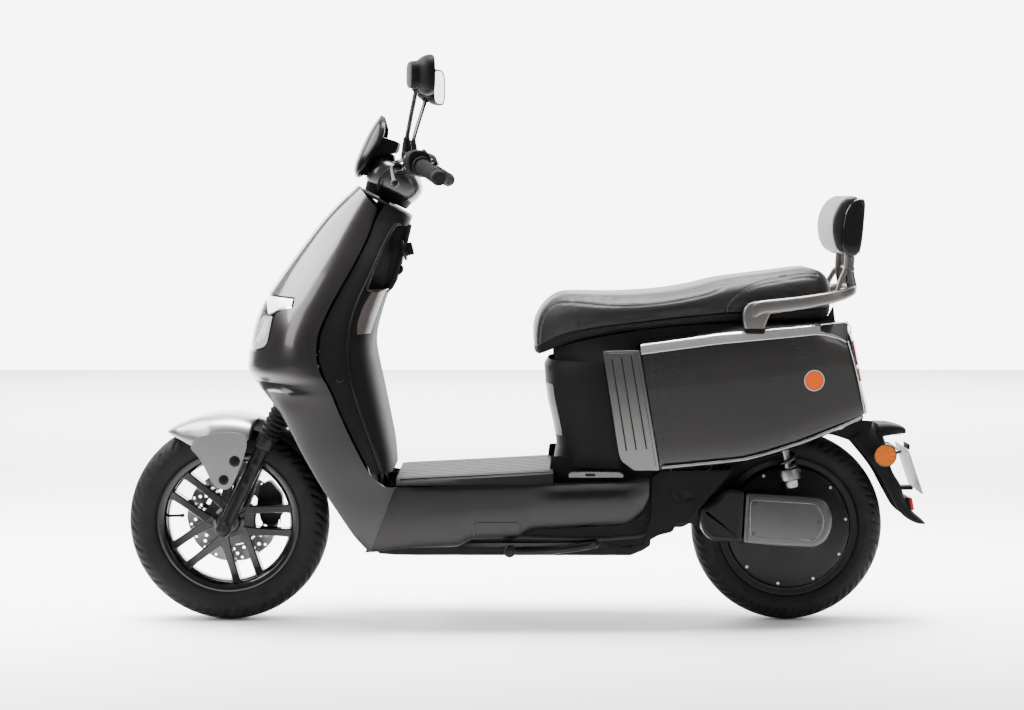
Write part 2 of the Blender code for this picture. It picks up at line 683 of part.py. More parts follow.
# switches on the housings
for name, sx, x, ang, size in (("horn_button", 1, 0.1985, 100, 0.0055),
                               ("turn_switch", 1, 0.1985, 150, 0.0050),
                               ("start_button", -1, -0.1985, 100, 0.0055)):
    c, d = bar_point(x)
    d = d if sx > 0 else -d
    # outward direction from the bar: rear and up
    back = Vector((0, 1, 0)) - d * d.y
    back.normalize()
    up = d.cross(back) if d.cross(back).z > 0 else -d.cross(back)
    t = math.radians(ang - 90)
    out = back * math.cos(t) + up * math.sin(t)
    add(name, rod_mesh(c + out * 0.0318, c + out * 0.0368, size, 10), "gloss_black")

# ------------------------------------------------------------------ frame
frame = add("main_frame", solid_ring([(0.0172, 0.505), (0.0260, 0.505), (0.0260, 0.690),
                                      (0.0172, 0.690)], 16,
                                     Matrix.Translation(FRONT_AXLE)
                                     @ Vector(AXIS).to_track_quat("Z", "Y").to_matrix().to_4x4()),
            "frame_black")
union(frame, curve_mesh(smooth_path([(0, -0.4035, 0.770), (0, -0.385, 0.700), (0, -0.392, 0.600),
                                     (0, -0.382, 0.480), (0, -0.345, 0.330), (0, -0.285, 0.222)],
                                    1), 0.0190, 2))
side_rail = [(-0.285, 0.220), (0.150, 0.206), (0.262, 0.214), (0.296, 0.240), (0.310, 0.300),
             (0.320, 0.500), (0.336, 0.578), (0.380, 0.612), (0.500, 0.634), (0.672, 0.646)]
for sx in (1, -1):
    union(frame, curve_mesh([Vector((sx * 0.114, y, z)) for y, z in side_rail], 0.0125, 2))
for y, z, r, w in ((-0.285, 0.220, 0.0150, 0.124), (0.268, 0.222, 0.0110, 0.118),
                   (0.664, 0.6455, 0.0100, 0.118), (0.378, 0.6105, 0.0100, 0.118)):
    union(frame, rod_mesh((-w, y, z), (w, y, z), r, 10))
for sx in (1, -1):
    # lug that holds the arm's pivot
    union(frame, flat_mesh([(0.298, 0.232), (0.352, 0.230), (0.370, 0.240), (0.370, 0.262),
                            (0.352, 0.272), (0.298, 0.276)], sx * 0.0880, sx * 0.1060))
union(frame, rod_mesh((-0.100, ARM_PIVOT.y, ARM_PIVOT.z), (0.100, ARM_PIVOT.y, ARM_PIVOT.z),
                      0.0110, 10))
cut(frame, rod_mesh(on_axis(0.440), on_axis(0.760), 0.0172, 16))

# ------------------------------------------------------------------ rear arm
arm = add("swingarm", solid_ring([(0.0130, -0.0800), (0.0215, -0.0800), (0.0215, 0.0800),
                                  (0.0130, 0.0800)], 14,
                                 Matrix.Translation(ARM_PIVOT)
                                 @ Matrix.Rotation(math.pi / 2, 4, "Y")), "frame_black")
arm_side = [(0.3550, 0.2390), (0.4800, 0.2050), (0.5900, 0.1950), (0.6250, 0.2050),
            (0.6250, 0.2420), (0.5950, 0.2700), (0.4700, 0.2720), (0.3660, 0.2640)]
for sx in (1, -1):
    union(arm, flat_mesh(arm_side, sx * 0.0620, sx * 0.0790))
    # ear that carries the shock's lower eye
    union(arm, flat_mesh([(0.5850, 0.2450), (0.6200, 0.2450), (0.6160, 0.3300), (0.5920, 0.3300)], sx * 0.0660, sx * 0.0790))
union(arm, rod_mesh((-0.0700, REAR_AXLE.y, REAR_AXLE.z), (0.0700, REAR_AXLE.y, REAR_AXLE.z),
                    0.0095, 10))
cut(arm, rod_mesh((-0.0900, ARM_PIVOT.y, ARM_PIVOT.z), (0.0900, ARM_PIVOT.y, ARM_PIVOT.z),
                  0.0130, 14))

cover = [(0.3900, 0.2250), (0.4180, 0.2010), (0.4890, 0.1950), (0.6530, 0.1840),
         (0.6830, 0.2050), (0.6950, 0.2570), (0.6850, 0.2900), (0.6620, 0.3010),
         (0.4960, 0.3150), (0.4510, 0.3220), (0.4210, 0.2890), (0.3900, 0.2800)]
ac = add("arm_cover_left", flat_mesh(cover, 0.0796, 0.1230, bevel=0.006), "silver")

# twin shocks: the body stands on the arm, the spring reaches up to the frame
SH_LOW = Vector((0.0, 0.6060, 0.3050))
SH_TOP = Vector((0.0, 0.5460, 0.6130))
sh_dir = (SH_TOP - SH_LOW).normalized()
for sx, side in ((1, "left"), (-1, "right")):
    off = Vector((sx * 0.1020, 0, 0))
    base = frame_along(SH_LOW + off, sh_dir)
    prof = [(0.0, 0.016), (0.0170, 0.016), (0.0170, 0.034), (0.0245, 0.036), (0.0245, 0.061),
            (0.0090, 0.063), (0.0090, 0.205), (0.0, 0.205)]
    bm = bmesh.new()
    n = 12
    rings = []
    for r, a in prof[1:-1]:
        rings.append([base @ Vector((r * math.cos(2 * math.pi * k / n),
                                     r * math.sin(2 * math.pi * k / n), a)) for k in range(n)])
    body = add("shock_" + side, loft_mesh(rings), "silver")
    # eye that the bolt through the arm's ear holds
    union(body, rod_mesh((sx * 0.0796, 0.6025, 0.3270), (sx * 0.1000, 0.6025, 0.3270), 0.0055, 10))
    # helical spring as a coil sleeve with ribs
    prof2 = []
    n2 = 9
    for i in range(n2):
        a = 0.0630 + (0.2400) * i / (n2 - 1)
        prof2.append((0.0235 if i % 2 == 0 else 0.0190, a))
    prof2 += [(0.0150, prof2[-1][1]), (0.0150, prof2[0][1])]
    add("shock_spring_" + side, solid_ring(prof2, 12, base), "frame_black")

# ------------------------------------------------------------------ front body
SEAM = [  # outer edge of the front shield: half width, y, z
    (0.088, -0.342, 0.957), (0.116, -0.364, 0.892), (0.140, -0.390, 0.838),
    (0.164, -0.430, 0.765), (0.176, -0.452, 0.722), (0.188, -0.470, 0.675),
    (0.196, -0.473, 0.625), (0.199, -0.463, 0.587), (0.199, -0.451, 0.566),
    (0.198, -0.438, 0.538), (0.195, -0.420, 0.492), (0.190, -0.392, 0.430),
    (0.183, -0.360, 0.368), (0.176, -0.328, 0.336), (0.173, -0.312, 0.331),
    (0.171, -0.300, 0.331)]
NOSE = [  # front edge or front centre line: x, y, z
    (0.0, -0.392, 1.010), (0.0, -0.461, 0.943), (0.0, -0.526, 0.862),
    (0.0, -0.591, 0.772), (0.0, -0.618, 0.730), (0.0, -0.635, 0.681),
    (0.0, -0.645, 0.620), (0.0, -0.646, 0.588), (0.0, -0.634, 0.566),
    (0.100, -0.606, 0.548), (0.150, -0.562, 0.500), (0.164, -0.520, 0.425),
    (0.166, -0.480, 0.352), (0.164, -0.424, 0.264), (0.155, -0.392, 0.215),
    (0.135, -0.360, 0.176)]


def shield_rows(cols=5):
    return [wrap(n, s, cols, 0.95, 1.0) for n, s in zip(NOSE, SEAM)]


shell("front_leg_shield", [shield_rows()], "gunmetal", SKIN, mirror=True,
      inward=(0, -0.40, 0.60))


# headlamp: a lens unit that lies on the nose
def on_shield(z, k, lift):
    """Point on the shield's outer face at height z, k of the way round."""
    zs = [n[2] for n in NOSE]
    for i in range(7):
        if zs[i + 1] <= z <= zs[i]:
            t = (zs[i] - z) / (zs[i] - zs[i + 1])
            n = Vector(NOSE[i]).lerp(Vector(NOSE[i + 1]), t)
            s = Vector(SEAM[i]).lerp(Vector(SEAM[i + 1]), t)
            break
    a = 0.5 * math.pi * k
    gx = math.sin(a) ** 0.95
    gy = 1 - math.cos(a)
    p = Vector((s.x * gx, n.y + (s.y - n.y) * gy, n.z + (s.z - n.z) * gy))
    return p + Vector((math.sin(a), -math.cos(a), 0.25 * math.cos(a))).normalized() * lift


lamp_rows = []
for z, k in ((0.756, 0.50), (0.735, 0.50), (0.722, 0.36), (0.700, 0.34), (0.672, 0.31),
             (0.648, 0.27), (0.633, 0.18)):
    lamp_rows.append([on_shield(z, k * j / 5, 0.0052) for j in range(6)])
shell("headlamp", [lamp_rows], "lamp", 0.0022, mirror=True, inward=(0, -0.40, 0.66))

# inner leg shield: deck round the neck, then down the rider's side to the floor
NECK_S = 0.822
REARLINE = [(-0.268, 0.937), (-0.278, 0.905), (-0.290, 0.860), (-0.305, 0.806), (-0.322, 0.768),
            (-0.340, 0.715), (-0.352, 0.665), (-0.351, 0.625), (-0.338, 0.560), (-0.322, 0.480),
            (-0.310, 0.415), (-0.306, 0.362)]
deck_edge, neck_ring = [], []
NCOL = 24
top_front = Vector((0, -0.3800, 1.0000))
top_rear = Vector((0, -0.268, 0.937))
mid = (top_front + top_rear) / 2
fore = (top_front - top_rear) / 2
for k in range(NCOL):
    t = 2 * math.pi * k / NCOL
    deck_edge.append(mid + fore * math.cos(t) * (abs(math.cos(t)) ** -0.25 if abs(math.cos(t)) > 1e-6 else 1)
                     + Vector((0.0875 * math.copysign(abs(math.sin(t)) ** 0.8, math.sin(t)), 0, 0)))
    neck_ring.append(on_axis(NECK_S, 0.043 * math.cos(t), 0.043 * math.sin(t)))
deck = [[*neck_ring, neck_ring[0]], [*deck_edge, deck_edge[0]]]
# rear skirt: quarter to three-quarter round the deck's edge
q0, q1 = NCOL // 4, 3 * NCOL // 4
skirt = [[deck_edge[k] for k in range(q0, q1 + 1)]]
for y, z in REARLINE[1:]:
    w, ys = lerp_table([(-s[2], s[0], s[1]) for s in SEAM[:13]], -z)
    w, ys = w - 0.0045, ys + 0.0050
    row = []
    for k in range(q0, q1 + 1):
        t = 2 * math.pi * k / NCOL
        c, q = abs(math.cos(t)), math.sin(t)
        row.append(Vector((w * math.copysign(abs(q) ** 0.5, q),
                           ys + (y - ys) * c ** 0.55, z)))
    skirt.append(row)
inner = shell("inner_leg_shield", [deck, skirt], "matte_black", SKIN, inward=(0, -0.43, 0.72))

# floor, with its step down to the recess under the seat box
floor_sec = [(-0.1655, 0.3335), (-0.158, 0.3430), (-0.138, 0.3505), (0.138, 0.3505),
             (0.158, 0.3430), (0.1655, 0.3335), (0.150, 0.3300), (-0.150, 0.3300)]
rings = []
for y, dz, w in ((-0.2980, 0.000, 1.0), (-0.14, 0.008, 1.0), (0.056, 0.0190, 1.0)):
    rings.append([Vector((x * w, y, z + (dz if z > 0.34 else 0.35 * dz))) for x, z in floor_sec])
add("floorboard", loft_mesh(rings, False), "matte_black")

# battery under the floor, controller under the seat box
box("battery_pack", (-0.096, -0.262, 0.192), (0.096, 0.100, 0.322), "matte_black", 0.004)
box("motor_controller", (-0.075, 0.128, 0.250), (0.075, 0.250, 0.330), "steel", 0.003)


# lower side covers
def skirt_rows(sx, ny=12):
    rows = []
    bottom = [(-0.296, 0.1765), (-0.243, 0.189), (-0.159, 0.191), (-0.130, 0.207), (-0.019, 0.211),
              (0.005, 0.229), (0.225, 0.241), (0.262, 0.266), (0.275, 0.300)]
    top = [(-0.296, 0.3300), (0.039, 0.3400), (0.213, 0.3440), (0.270, 0.3510)]
    for i in range(ny + 1):
        k = i / ny
        y = -0.2985 + (0.272 + 0.2985) * k
        zb = lerp_table(bottom, y)[0]
        zt = lerp_table(top, y)[0]
        row = []
        for v, w in ((1.0, 0.1710), (0.82, 0.1740), (0.45, 0.1700), (0.15, 0.1590), (0.0, 0.1380)):
            lean = (zt - 0.0 - (zb + (zt - zb) * v)) * 0.24 if y < -0.2 else 0.0
            shift = -0.24 * (zt - (zb + (zt - zb) * v)) * max(0.0, 1.0 - (y + 0.2985) / 0.10)
            row.append(Vector((sx * w, y + shift, zb + (zt - zb) * v)))
        rows.append(row)
    return rows


for sx, side in ((1, "left"), (-1, "right")):
    shell("lower_cover_" + side, [skirt_rows(sx)], "gunmetal", SKIN, inward=(0, 0, 0.26))

# belly tray with rear walls beside the arm's pivot
tray = []
for y, zb, zt, w in ((-0.355, 0.186, 0.196, 0.110), (-0.340, 0.168, 0.186, 0.113),
                     (-0.245, 0.1645, 0.186, 0.113), (0.240, 0.1640, 0.186, 0.113),
                     (0.278, 0.1900, 0.216, 0.1335)):
    tray.append([Vector((-w, y, zt)), Vector((-w + 0.004, y, zb + 0.008)),
                 Vector((-w + 0.014, y, zb)), Vector((0, y, zb)), Vector((w - 0.014, y, zb)),
                 Vector((w - 0.004, y, zb + 0.008)), Vector((w, y, zt))])
belly = shell("belly_tray", [tray], "matte_black", 0.0028, inward=(0, 0, 0.40))
wall = [(0.268, 0.2000), (0.2960, 0.2160), (0.3280, 0.2240), (0.3370, 0.2430), (0.3620, 0.2480),
        (0.4500, 0.3470), (0.4600, 0.3650), (0.300, 0.3630), (0.2800, 0.3480), (0.2790, 0.2500),
        (0.268, 0.2350)]
for sx in (1, -1):
    union(belly, flat_mesh(wall, sx * 0.1300, sx * 0.1340))

# ------------------------------------------------------------------ rear body
def seat_box_rows(cols=6):
    rows = []
    for z, yf, w in ((0.613, 0.047, 0.156), (0.596, 0.038, 0.160), (0.560, 0.041, 0.1635),
                     (0.522, 0.046, 0.1645), (0.456, 0.061, 0.1645), (0.412, 0.067, 0.1640),
                     (0.372, 0.060, 0.1630)):
        ys = 0.1645 + (0.639 - z) * 0.161
        row = []
        for p in wrap((0, yf, z), (w, ys, z), cols, 0.55, 1.35):
            row.append(p)
        rows.append(row)
    return rows


shell("under_seat_cover", [seat_box_rows()], "matte_black", SKIN, mirror=True,
      inward=(0, 0.25, 0.50))

PLAN = [(0.160, 0.1690), (0.300, 0.1710), (0.450, 0.1660), (0.560, 0.1560), (0.660, 0.1400),
        (0.730, 0.1220), (0.770, 0.1060)]
TOPL = [(0.250, 0.6400), (0.429, 0.6640), (0.658, 0.6820), (0.700, 0.6700), (0.718, 0.6600)]
BOTL = [(0.296, 0.3700), (0.487, 0.3880), (0.535, 0.4000), (0.615, 0.4240), (0.755, 0.4760),
        (0.764, 0.4860)]


def side_rows(sx, n=12):
    rows = []
    for i in range(n + 1):
        k = i / n
        yt, yb = 0.2520 + 0.466 * k, 0.2980 + 0.466 * k
        zt, zb = lerp_table(TOPL, yt)[0], lerp_table(BOTL, yb)[0]
        row = []
        for v, inset, up in ((0.0, 0.0200, -0.004), (0.03, 0.0060, 0.0), (0.35, 0.0, 0.0),
                             (0.75, 0.0, 0.0), (0.94, 0.0030, 0.0), (1.0, 0.0120, 0.012),
                             (1.0, 0.0330, 0.0170)):
            y = yb + (yt - yb) * v
            z = zb + (zt - zb) * v + up
            row.append(Vector((sx * (lerp_table(PLAN, y)[0] - inset), y, z)))
        rows.append(row)
    return rows


for sx, side in ((1, "left"), (-1, "right")):
    shell("side_panel_" + side, [side_rows(sx)], "gunmetal", SKIN, inward=(0, 0.50, 0.52))
    rib = [(0.1665, 0.6390), (0.2490, 0.6410), (0.2955, 0.3690), (0.2380, 0.3690),
           (0.2100, 0.3900), (0.2040, 0.4050)]
    add("ribbed_trim_" + side, flat_mesh(rib, sx * 0.1655, sx * 0.1712), "silver")

# storage tub under the seat, open at the top
tub_rows = []
for z, x, y0, y1 in ((0.612, 0.097, 0.092, 0.298), (0.600, 0.094, 0.095, 0.294),
                     (0.420, 0.088, 0.104, 0.286)):
    tub_rows.append([Vector(p) for p in (
        (-x, y0 + 0.02, z), (-x + 0.02, y0, z), (x - 0.02, y0, z), (x, y0 + 0.02, z),
        (x, y1 - 0.02, z), (x - 0.02, y1, z), (-x + 0.02, y1, z), (-x, y1 - 0.02, z),
        (-x, y0 + 0.02, z))])
last = tub_rows[-1]
centre = sum((p for p in last[:-1]), Vector()) / 8
tub_rows.append([centre.lerp(p, 0.02) + Vector((0, 0, -0.004)) for p in last])
bm = bmesh.new()
grid_into(bm, tub_rows[:3])
bmesh.ops.remove_doubles(bm, verts=bm.verts, dist=1e-6)
low = sorted(bm.verts, key=lambda v: v.co.z)[:8]
low.sort(key=lambda v: math.atan2(v.co.y - centre.y, v.co.x))
bm.faces.new(low)
bmesh.ops.recalc_face_normals(bm, faces=bm.faces)
f = [q for q in bm.faces if len(q.verts) == 8][0]
if f.normal.z > 0:
    bmesh.ops.reverse_faces(bm, faces=bm.faces)
me = bpy.data.meshes.new("mesh")
bm.to_mesh(me)
bm.free()
tub = add("storage_tub", me, "matte_black")
mod = tub.modifiers.new("thickness", "SOLIDIFY")
mod.thickness = 0.0030
mod.offset = -1.0

# tail lamp: the panel that closes the tail between the side panels
tail_line = [(0.727, 0.680), (0.737, 0.656), (0.757, 0.560), (0.770, 0.505), (0.772, 0.488)]
rings = []
for y, z in tail_line:
    ring = []
    w = 0.084
    for k in range(9):
        a = -1 + 2 * k / 8
        ring.append(Vector((w * a, y + 0.014 * (1 - a * a), z)))
    for k in range(9):
        a = 1 - 2 * k / 8
        ring.append(Vector((w * a, y - 0.012, z)))
    rings.append(ring)
add("tail_lamp", loft_mesh(rings), "red_lens")


# ------------------------------------------------------------------ mudguard and plate
OUTER = [(0.7910, 0.4620), (0.8240, 0.4290), (0.8430, 0.3550), (0.8630, 0.3200), (0.8760, 0.2840),
         (0.8890, 0.2600), (0.9150, 0.2370), (0.9255, 0.2260)]
INNER = [(0.7400, 0.4280), (0.7700, 0.3960), (0.8060, 0.3500), (0.8260, 0.3140), (0.8450, 0.2790),
         (0.8610, 0.2540), (0.8850, 0.2360), (0.9050, 0.2275)]
HALF = [0.0760, 0.0740, 0.0700, 0.0670, 0.0640, 0.0600, 0.0480, 0.0380]


def guard_rows(cols=4):
    return [wrap((0, o[0], o[1]), (w, i[0], i[1]), cols, 0.55, 1.25)
            for o, i, w in zip(OUTER, INNER, HALF)]


guard = shell("rear_mudguard", [guard_rows()], "matte_black", 0.0030, mirror=True,
              inward=REAR_AXLE)
# beak that houses the plate lamp
beak = []
for y, z, h, w in ((0.8120, 0.4450, 0.032, 0.052), (0.8500, 0.4470, 0.021, 0.046),
                   (0.8740, 0.4440, 0.014, 0.034)):
    beak.append([Vector((sx * w, y, z + q * h / 2)) for sx, q in
                 ((-1, -1), (1, -1), (1, 1), (-1, 1))])
union(guard, loft_mesh(beak, False))
# hanger that carries the number plate
union(guard, box_mesh((-0.0200, 0.8640, 0.3030), (0.0200, 0.8960, 0.3130), 0.0))

# blank number plate
pm = Matrix.Translation((0, 0.8870, 0.3545)) @ Matrix.Rotation(math.radians(18.9), 4, "X")
box("number_plate", (-0.0900, -0.0010, -0.0550), (0.0900, 0.0010, 0.0550), "white", 0.0, pm)

# round side reflectors on one bracket that crosses behind the mudguard
refl = add("side_reflectors", curve_mesh([(0.0890, 0.8220, 0.3950), (0.0860, 0.8480, 0.4010),
                                          (0.0780, 0.8535, 0.4020), (-0.0780, 0.8535, 0.4020),
                                          (-0.0860, 0.8480, 0.4010), (-0.0890, 0.8220, 0.3950)],
                                         0.0035, 1), "amber_lens")
for sx in (1, -1):
    union(refl, rod_mesh((sx * 0.0850, 0.8160, 0.3940), (sx * 0.0960, 0.8160, 0.3940), 0.0265, 20))

# ------------------------------------------------------------------ seat, rail and backrest
SEAT = [  # y, bottom, top, half width
    (0.013, 0.634, 0.660, 0.045), (0.019, 0.628, 0.700, 0.074), (0.030, 0.627, 0.733, 0.092),
    (0.060, 0.640, 0.759, 0.116), (0.110, 0.658, 0.763, 0.138), (0.190, 0.676, 0.761, 0.158),
    (0.290, 0.690, 0.766, 0.164), (0.370, 0.697, 0.778, 0.158), (0.430, 0.700, 0.793, 0.144),
    (0.480, 0.701, 0.801, 0.131), (0.560, 0.702, 0.811, 0.126), (0.630, 0.703, 0.820, 0.116),
    (0.668, 0.706, 0.818, 0.100), (0.686, 0.716, 0.800, 0.078), (0.692, 0.735, 0.775, 0.052)]


def seat_ring(y, zb, zt, w):
    h = zt - zb
    pts = [(0.0, 0.0), (0.72, 0.0), (0.90, 0.10), (0.99, 0.32), (1.0, 0.55), (0.93, 0.80),
           (0.74, 0.945), (0.42, 0.99), (0.0, 1.0)]
    right = [Vector((w * a, y, zb + h * b)) for a, b in pts]
    return right + [Vector((-p.x, p.y, p.z)) for p in reversed(right[1:-1])]


add("seat", loft_mesh([seat_ring(*row) for row in SEAT]), "leather")

RAIL = [(0.1480, 0.5000, 0.6910), (0.1485, 0.5010, 0.7250), (0.1470, 0.5300, 0.7450),
        (0.1380, 0.6200, 0.7570), (0.1290, 0.6850, 0.7670), (0.1080, 0.7270, 0.7740),
        (0.0600, 0.7420, 0.7770), (0.0, 0.7440, 0.7780)]
rail_pts = smooth_path([Vector(p) for p in RAIL]
                       + [Vector((-p[0], p[1], p[2])) for p in reversed(RAIL[:-1])], 1)
rail = add("grab_rail", curve_mesh(rail_pts, 0.0125, 2), "champagne")
for sx in (1, -1):
    union(rail, rod_mesh((sx * 0.070, 0.7400, 0.7800), (sx * 0.070, 0.7360, 0.8455), 0.0085, 10))
union(rail, rod_mesh((-0.090, 0.7410, 0.8100), (0.090, 0.7410, 0.8100), 0.0060, 8))

PAD = [(0.7050, 0.8560), (0.6890, 0.8760), (0.6840, 0.9130), (0.6900, 0.9470), (0.7030, 0.9730),
       (0.7200, 0.9850), (0.7400, 0.9870), (0.7550, 0.9830), (0.7580, 0.9740), (0.7560, 0.9300),
       (0.7500, 0.8850), (0.7450, 0.8540), (0.7250, 0.8480)]
pc = Vector((0, 0.722, 0.918))
rings = []
for x, k in ((-0.1340, 0.55), (-0.1290, 0.82), (-0.1120, 0.97), (0.0, 1.0), (0.1120, 0.97),
             (0.1290, 0.82), (0.1340, 0.55)):
    rings.append([Vector((x, pc.y + (y - pc.y) * k, pc.z + (z - pc.z) * k)) for y, z in PAD])
add("backrest_pad", loft_mesh(rings), "leather")

# ------------------------------------------------------------------ stand, pegs, key
stand_pts = [(0.1300, -0.0420, 0.1790), (0.1300, 0.0200, 0.1800), (0.1310, 0.0850, 0.1850),
             (0.1330, 0.1380, 0.1930), (0.1390, 0.1560, 0.1980)]
stand = add("side_stand", curve_mesh(smooth_path(stand_pts, 2), 0.0095, 2), "frame_black")
union(stand, rod_mesh((0.1180, -0.0420, 0.1790), (0.1420, -0.0420, 0.1790), 0.0130, 12))

for sx, side in ((1, "left"), (-1, "right")):
    peg = add("foot_peg_" + side, box_mesh((sx * 0.1570 if sx > 0 else sx * 0.1790, 0.0900, 0.3540),
                                           (sx * 0.1790 if sx > 0 else sx * 0.1570, 0.2140, 0.3660),
                                           0.003), "silver")

KEY_C = Vector((0.0600, -0.2825, 0.8620))
key = add("ignition_key", rod_mesh(KEY_C + Vector((0, 0.0, 0)), KEY_C + Vector((0, 0.0200, 0.0045)),
                                   0.0160, 14), "matte_black")
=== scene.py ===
"""The looks of the moped scooter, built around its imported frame."""
import bpy
import bmesh
import math
from mathutils import Vector, Matrix, noise


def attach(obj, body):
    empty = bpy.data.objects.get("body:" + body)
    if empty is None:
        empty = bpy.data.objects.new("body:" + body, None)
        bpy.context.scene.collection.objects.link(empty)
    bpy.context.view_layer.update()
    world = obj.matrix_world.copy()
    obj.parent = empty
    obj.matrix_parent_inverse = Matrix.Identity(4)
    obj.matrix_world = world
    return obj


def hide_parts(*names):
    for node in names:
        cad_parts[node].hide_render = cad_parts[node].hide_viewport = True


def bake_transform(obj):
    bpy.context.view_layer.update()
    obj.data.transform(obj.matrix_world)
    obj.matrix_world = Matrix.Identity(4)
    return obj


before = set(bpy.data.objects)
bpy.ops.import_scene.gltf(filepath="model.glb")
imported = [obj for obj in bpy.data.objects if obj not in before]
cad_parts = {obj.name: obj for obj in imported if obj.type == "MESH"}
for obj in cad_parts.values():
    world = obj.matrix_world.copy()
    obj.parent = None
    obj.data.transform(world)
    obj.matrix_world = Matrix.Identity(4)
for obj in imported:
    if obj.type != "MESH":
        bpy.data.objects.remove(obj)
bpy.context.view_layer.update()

RAKE = math.radians(26.1)
FRONT_AXLE = Vector((0.0, -0.694, 0.2325))
REAR_AXLE = Vector((0.0, 0.602, 0.2215))
FRONT_R, REAR_R = 0.2325, 0.2215
RIM_R = 0.1640
FORK_X = 0.084
AXIS = Vector((0.0, math.sin(RAKE), math.cos(RAKE)))
FWD = Vector((0.0, -math.cos(RAKE), math.sin(RAKE)))
ARM_PIVOT = Vector((0.0, 0.352, 0.250))


def on_axis(s, fwd=0.0, x=0.0):
    return FRONT_AXLE + AXIS * s + FWD * fwd + Vector((x, 0, 0))


# ------------------------------------------------------------------ materials
class Nodes:
    """Small helper round one material's node tree."""

    def __init__(self, name):
        self.mat = bpy.data.materials.new(name)
        self.mat.use_nodes = True
        self.t = self.mat.node_tree
        self.b = self.t.nodes["Principled BSDF"]

    def set(self, **kw):
        for k, v in kw.items():
            self.b.inputs[k.replace("_", " ")].default_value = v
        return self

    def node(self, kind, **kw):
        n = self.t.nodes.new(kind)
        for k, v in kw.items():
            setattr(n, k, v)
        return n

    def link(self, a, b):
        self.t.links.new(a, b)

    def coords(self, scale=(1, 1, 1)):
        tc = self.node("ShaderNodeTexCoord")
        mp = self.node("ShaderNodeMapping")
        mp.inputs["Scale"].default_value = scale
        self.link(tc.outputs["Object"], mp.inputs["Vector"])
        return mp.outputs["Vector"]

    def noise(self, scale, detail=3.0, rough=0.5, vec=None, stretch=(1, 1, 1)):
        n = self.node("ShaderNodeTexNoise")
        n.inputs["Scale"].default_value = scale
        n.inputs["Detail"].default_value = detail
        n.inputs["Roughness"].default_value = rough
        self.link(vec if vec is not None else self.coords(stretch), n.inputs["Vector"])
        return n.outputs["Fac"]

    def voronoi(self, scale, feature="F1", stretch=(1, 1, 1)):
        n = self.node("ShaderNodeTexVoronoi")
        n.feature = feature
        n.inputs["Scale"].default_value = scale
        self.link(self.coords(stretch), n.inputs["Vector"])
        return n.outputs["Distance"]

    def ramp(self, fac, stops):
        r = self.node("ShaderNodeValToRGB")
        el = r.color_ramp.elements
        while len(el) < len(stops):
            el.new(0.5)
        for e, (p, c) in zip(el, stops):
            e.position = p
            e.color = (*c, 1.0) if len(c) == 3 else c
        self.link(fac, r.inputs["Fac"])
        return r.outputs["Color"]

    def span(self, fac, lo, hi, a=0.0, b=1.0):
        m = self.node("ShaderNodeMapRange")
        m.inputs["From Min"].default_value = a
        m.inputs["From Max"].default_value = b
        m.inputs["To Min"].default_value = lo
        m.inputs["To Max"].default_value = hi
        self.link(fac, m.inputs["Value"])
        return m.outputs["Result"]

    def bump(self, height, strength=0.2, distance=0.001, prev=None):
        n = self.node("ShaderNodeBump")
        n.inputs["Strength"].default_value = strength
        n.inputs["Distance"].default_value = distance
        self.link(height, n.inputs["Height"])
        if prev is not None:
            self.link(prev, n.inputs["Normal"])
        return n.outputs["Normal"]

    def to(self, socket, out):
        self.link(out, self.b.inputs[socket])
        return self


def paint(name, dark, light, rough, metal=0.9, coat=1.0, coat_rough=0.04, flake=2200.0, low=None):
    """Metallic paint: fine flake, slight cloudiness, clear coat on top; low adds painted shade by height."""
    m = Nodes(name)
    cloud = m.noise(3.0, 4.0, 0.6)
    fl = m.noise(flake, 1.0, 0.6)
    mix = m.node("ShaderNodeMath", operation="ADD")
    m.link(m.span(cloud, -0.12, 0.12), mix.inputs[0])
    m.link(fl, mix.inputs[1])
    colour = m.ramp(mix.outputs[0], [(0.25, dark), (0.75, light)])
    if low:
        # painted shade: the colour is scaled by height in the object, between the two factors that low gives
        pos = m.node("ShaderNodeTexCoord")
        sep = m.node("ShaderNodeSeparateXYZ")
        m.link(pos.outputs["Object"], sep.inputs[0])
        painted_shade_by_height = m.node("ShaderNodeMapRange", interpolation_type="SMOOTHSTEP")
        for key, val in (("From Min", low[0]), ("From Max", low[1]), ("To Min", low[2]),
                         ("To Max", low[3] if len(low) > 3 else 1.0)):
            painted_shade_by_height.inputs[key].default_value = val
        m.link(sep.outputs["Z"], painted_shade_by_height.inputs["Value"])
        scaled = m.node("ShaderNodeVectorMath", operation="SCALE")
        m.link(colour, scaled.inputs[0])
        m.link(painted_shade_by_height.outputs["Result"], scaled.inputs["Scale"])
        colour = scaled.outputs["Vector"]
    m.to("Base Color", colour)
    m.to("Roughness", m.span(m.noise(14.0, 5.0, 0.6), rough - 0.03, rough + 0.04))
    m.to("Normal", m.bump(fl, 0.015, 0.0001))
    m.set(Metallic=metal, Coat_Weight=coat, Coat_Roughness=coat_rough)
    return m.mat


def plastic(name, dark, light, rough, grain=900.0, bump=0.25, spec=0.5, depth=0.00025):
    """Moulded plastic with a fine leather-like grain."""
    m = Nodes(name)
    g = m.voronoi(grain)
    n = m.noise(grain * 0.6, 3.0, 0.6)
    m.to("Base Color", m.ramp(m.noise(9.0, 5.0, 0.65), [(0.3, dark), (0.7, light)]))
    m.to("Roughness", m.span(m.noise(30.0, 4.0, 0.6), rough - 0.05, rough + 0.06))
    m.to("Normal", m.bump(n, bump, depth, m.bump(g, bump, depth)))
    m.set(Specular_IOR_Level=spec)
    return m.mat


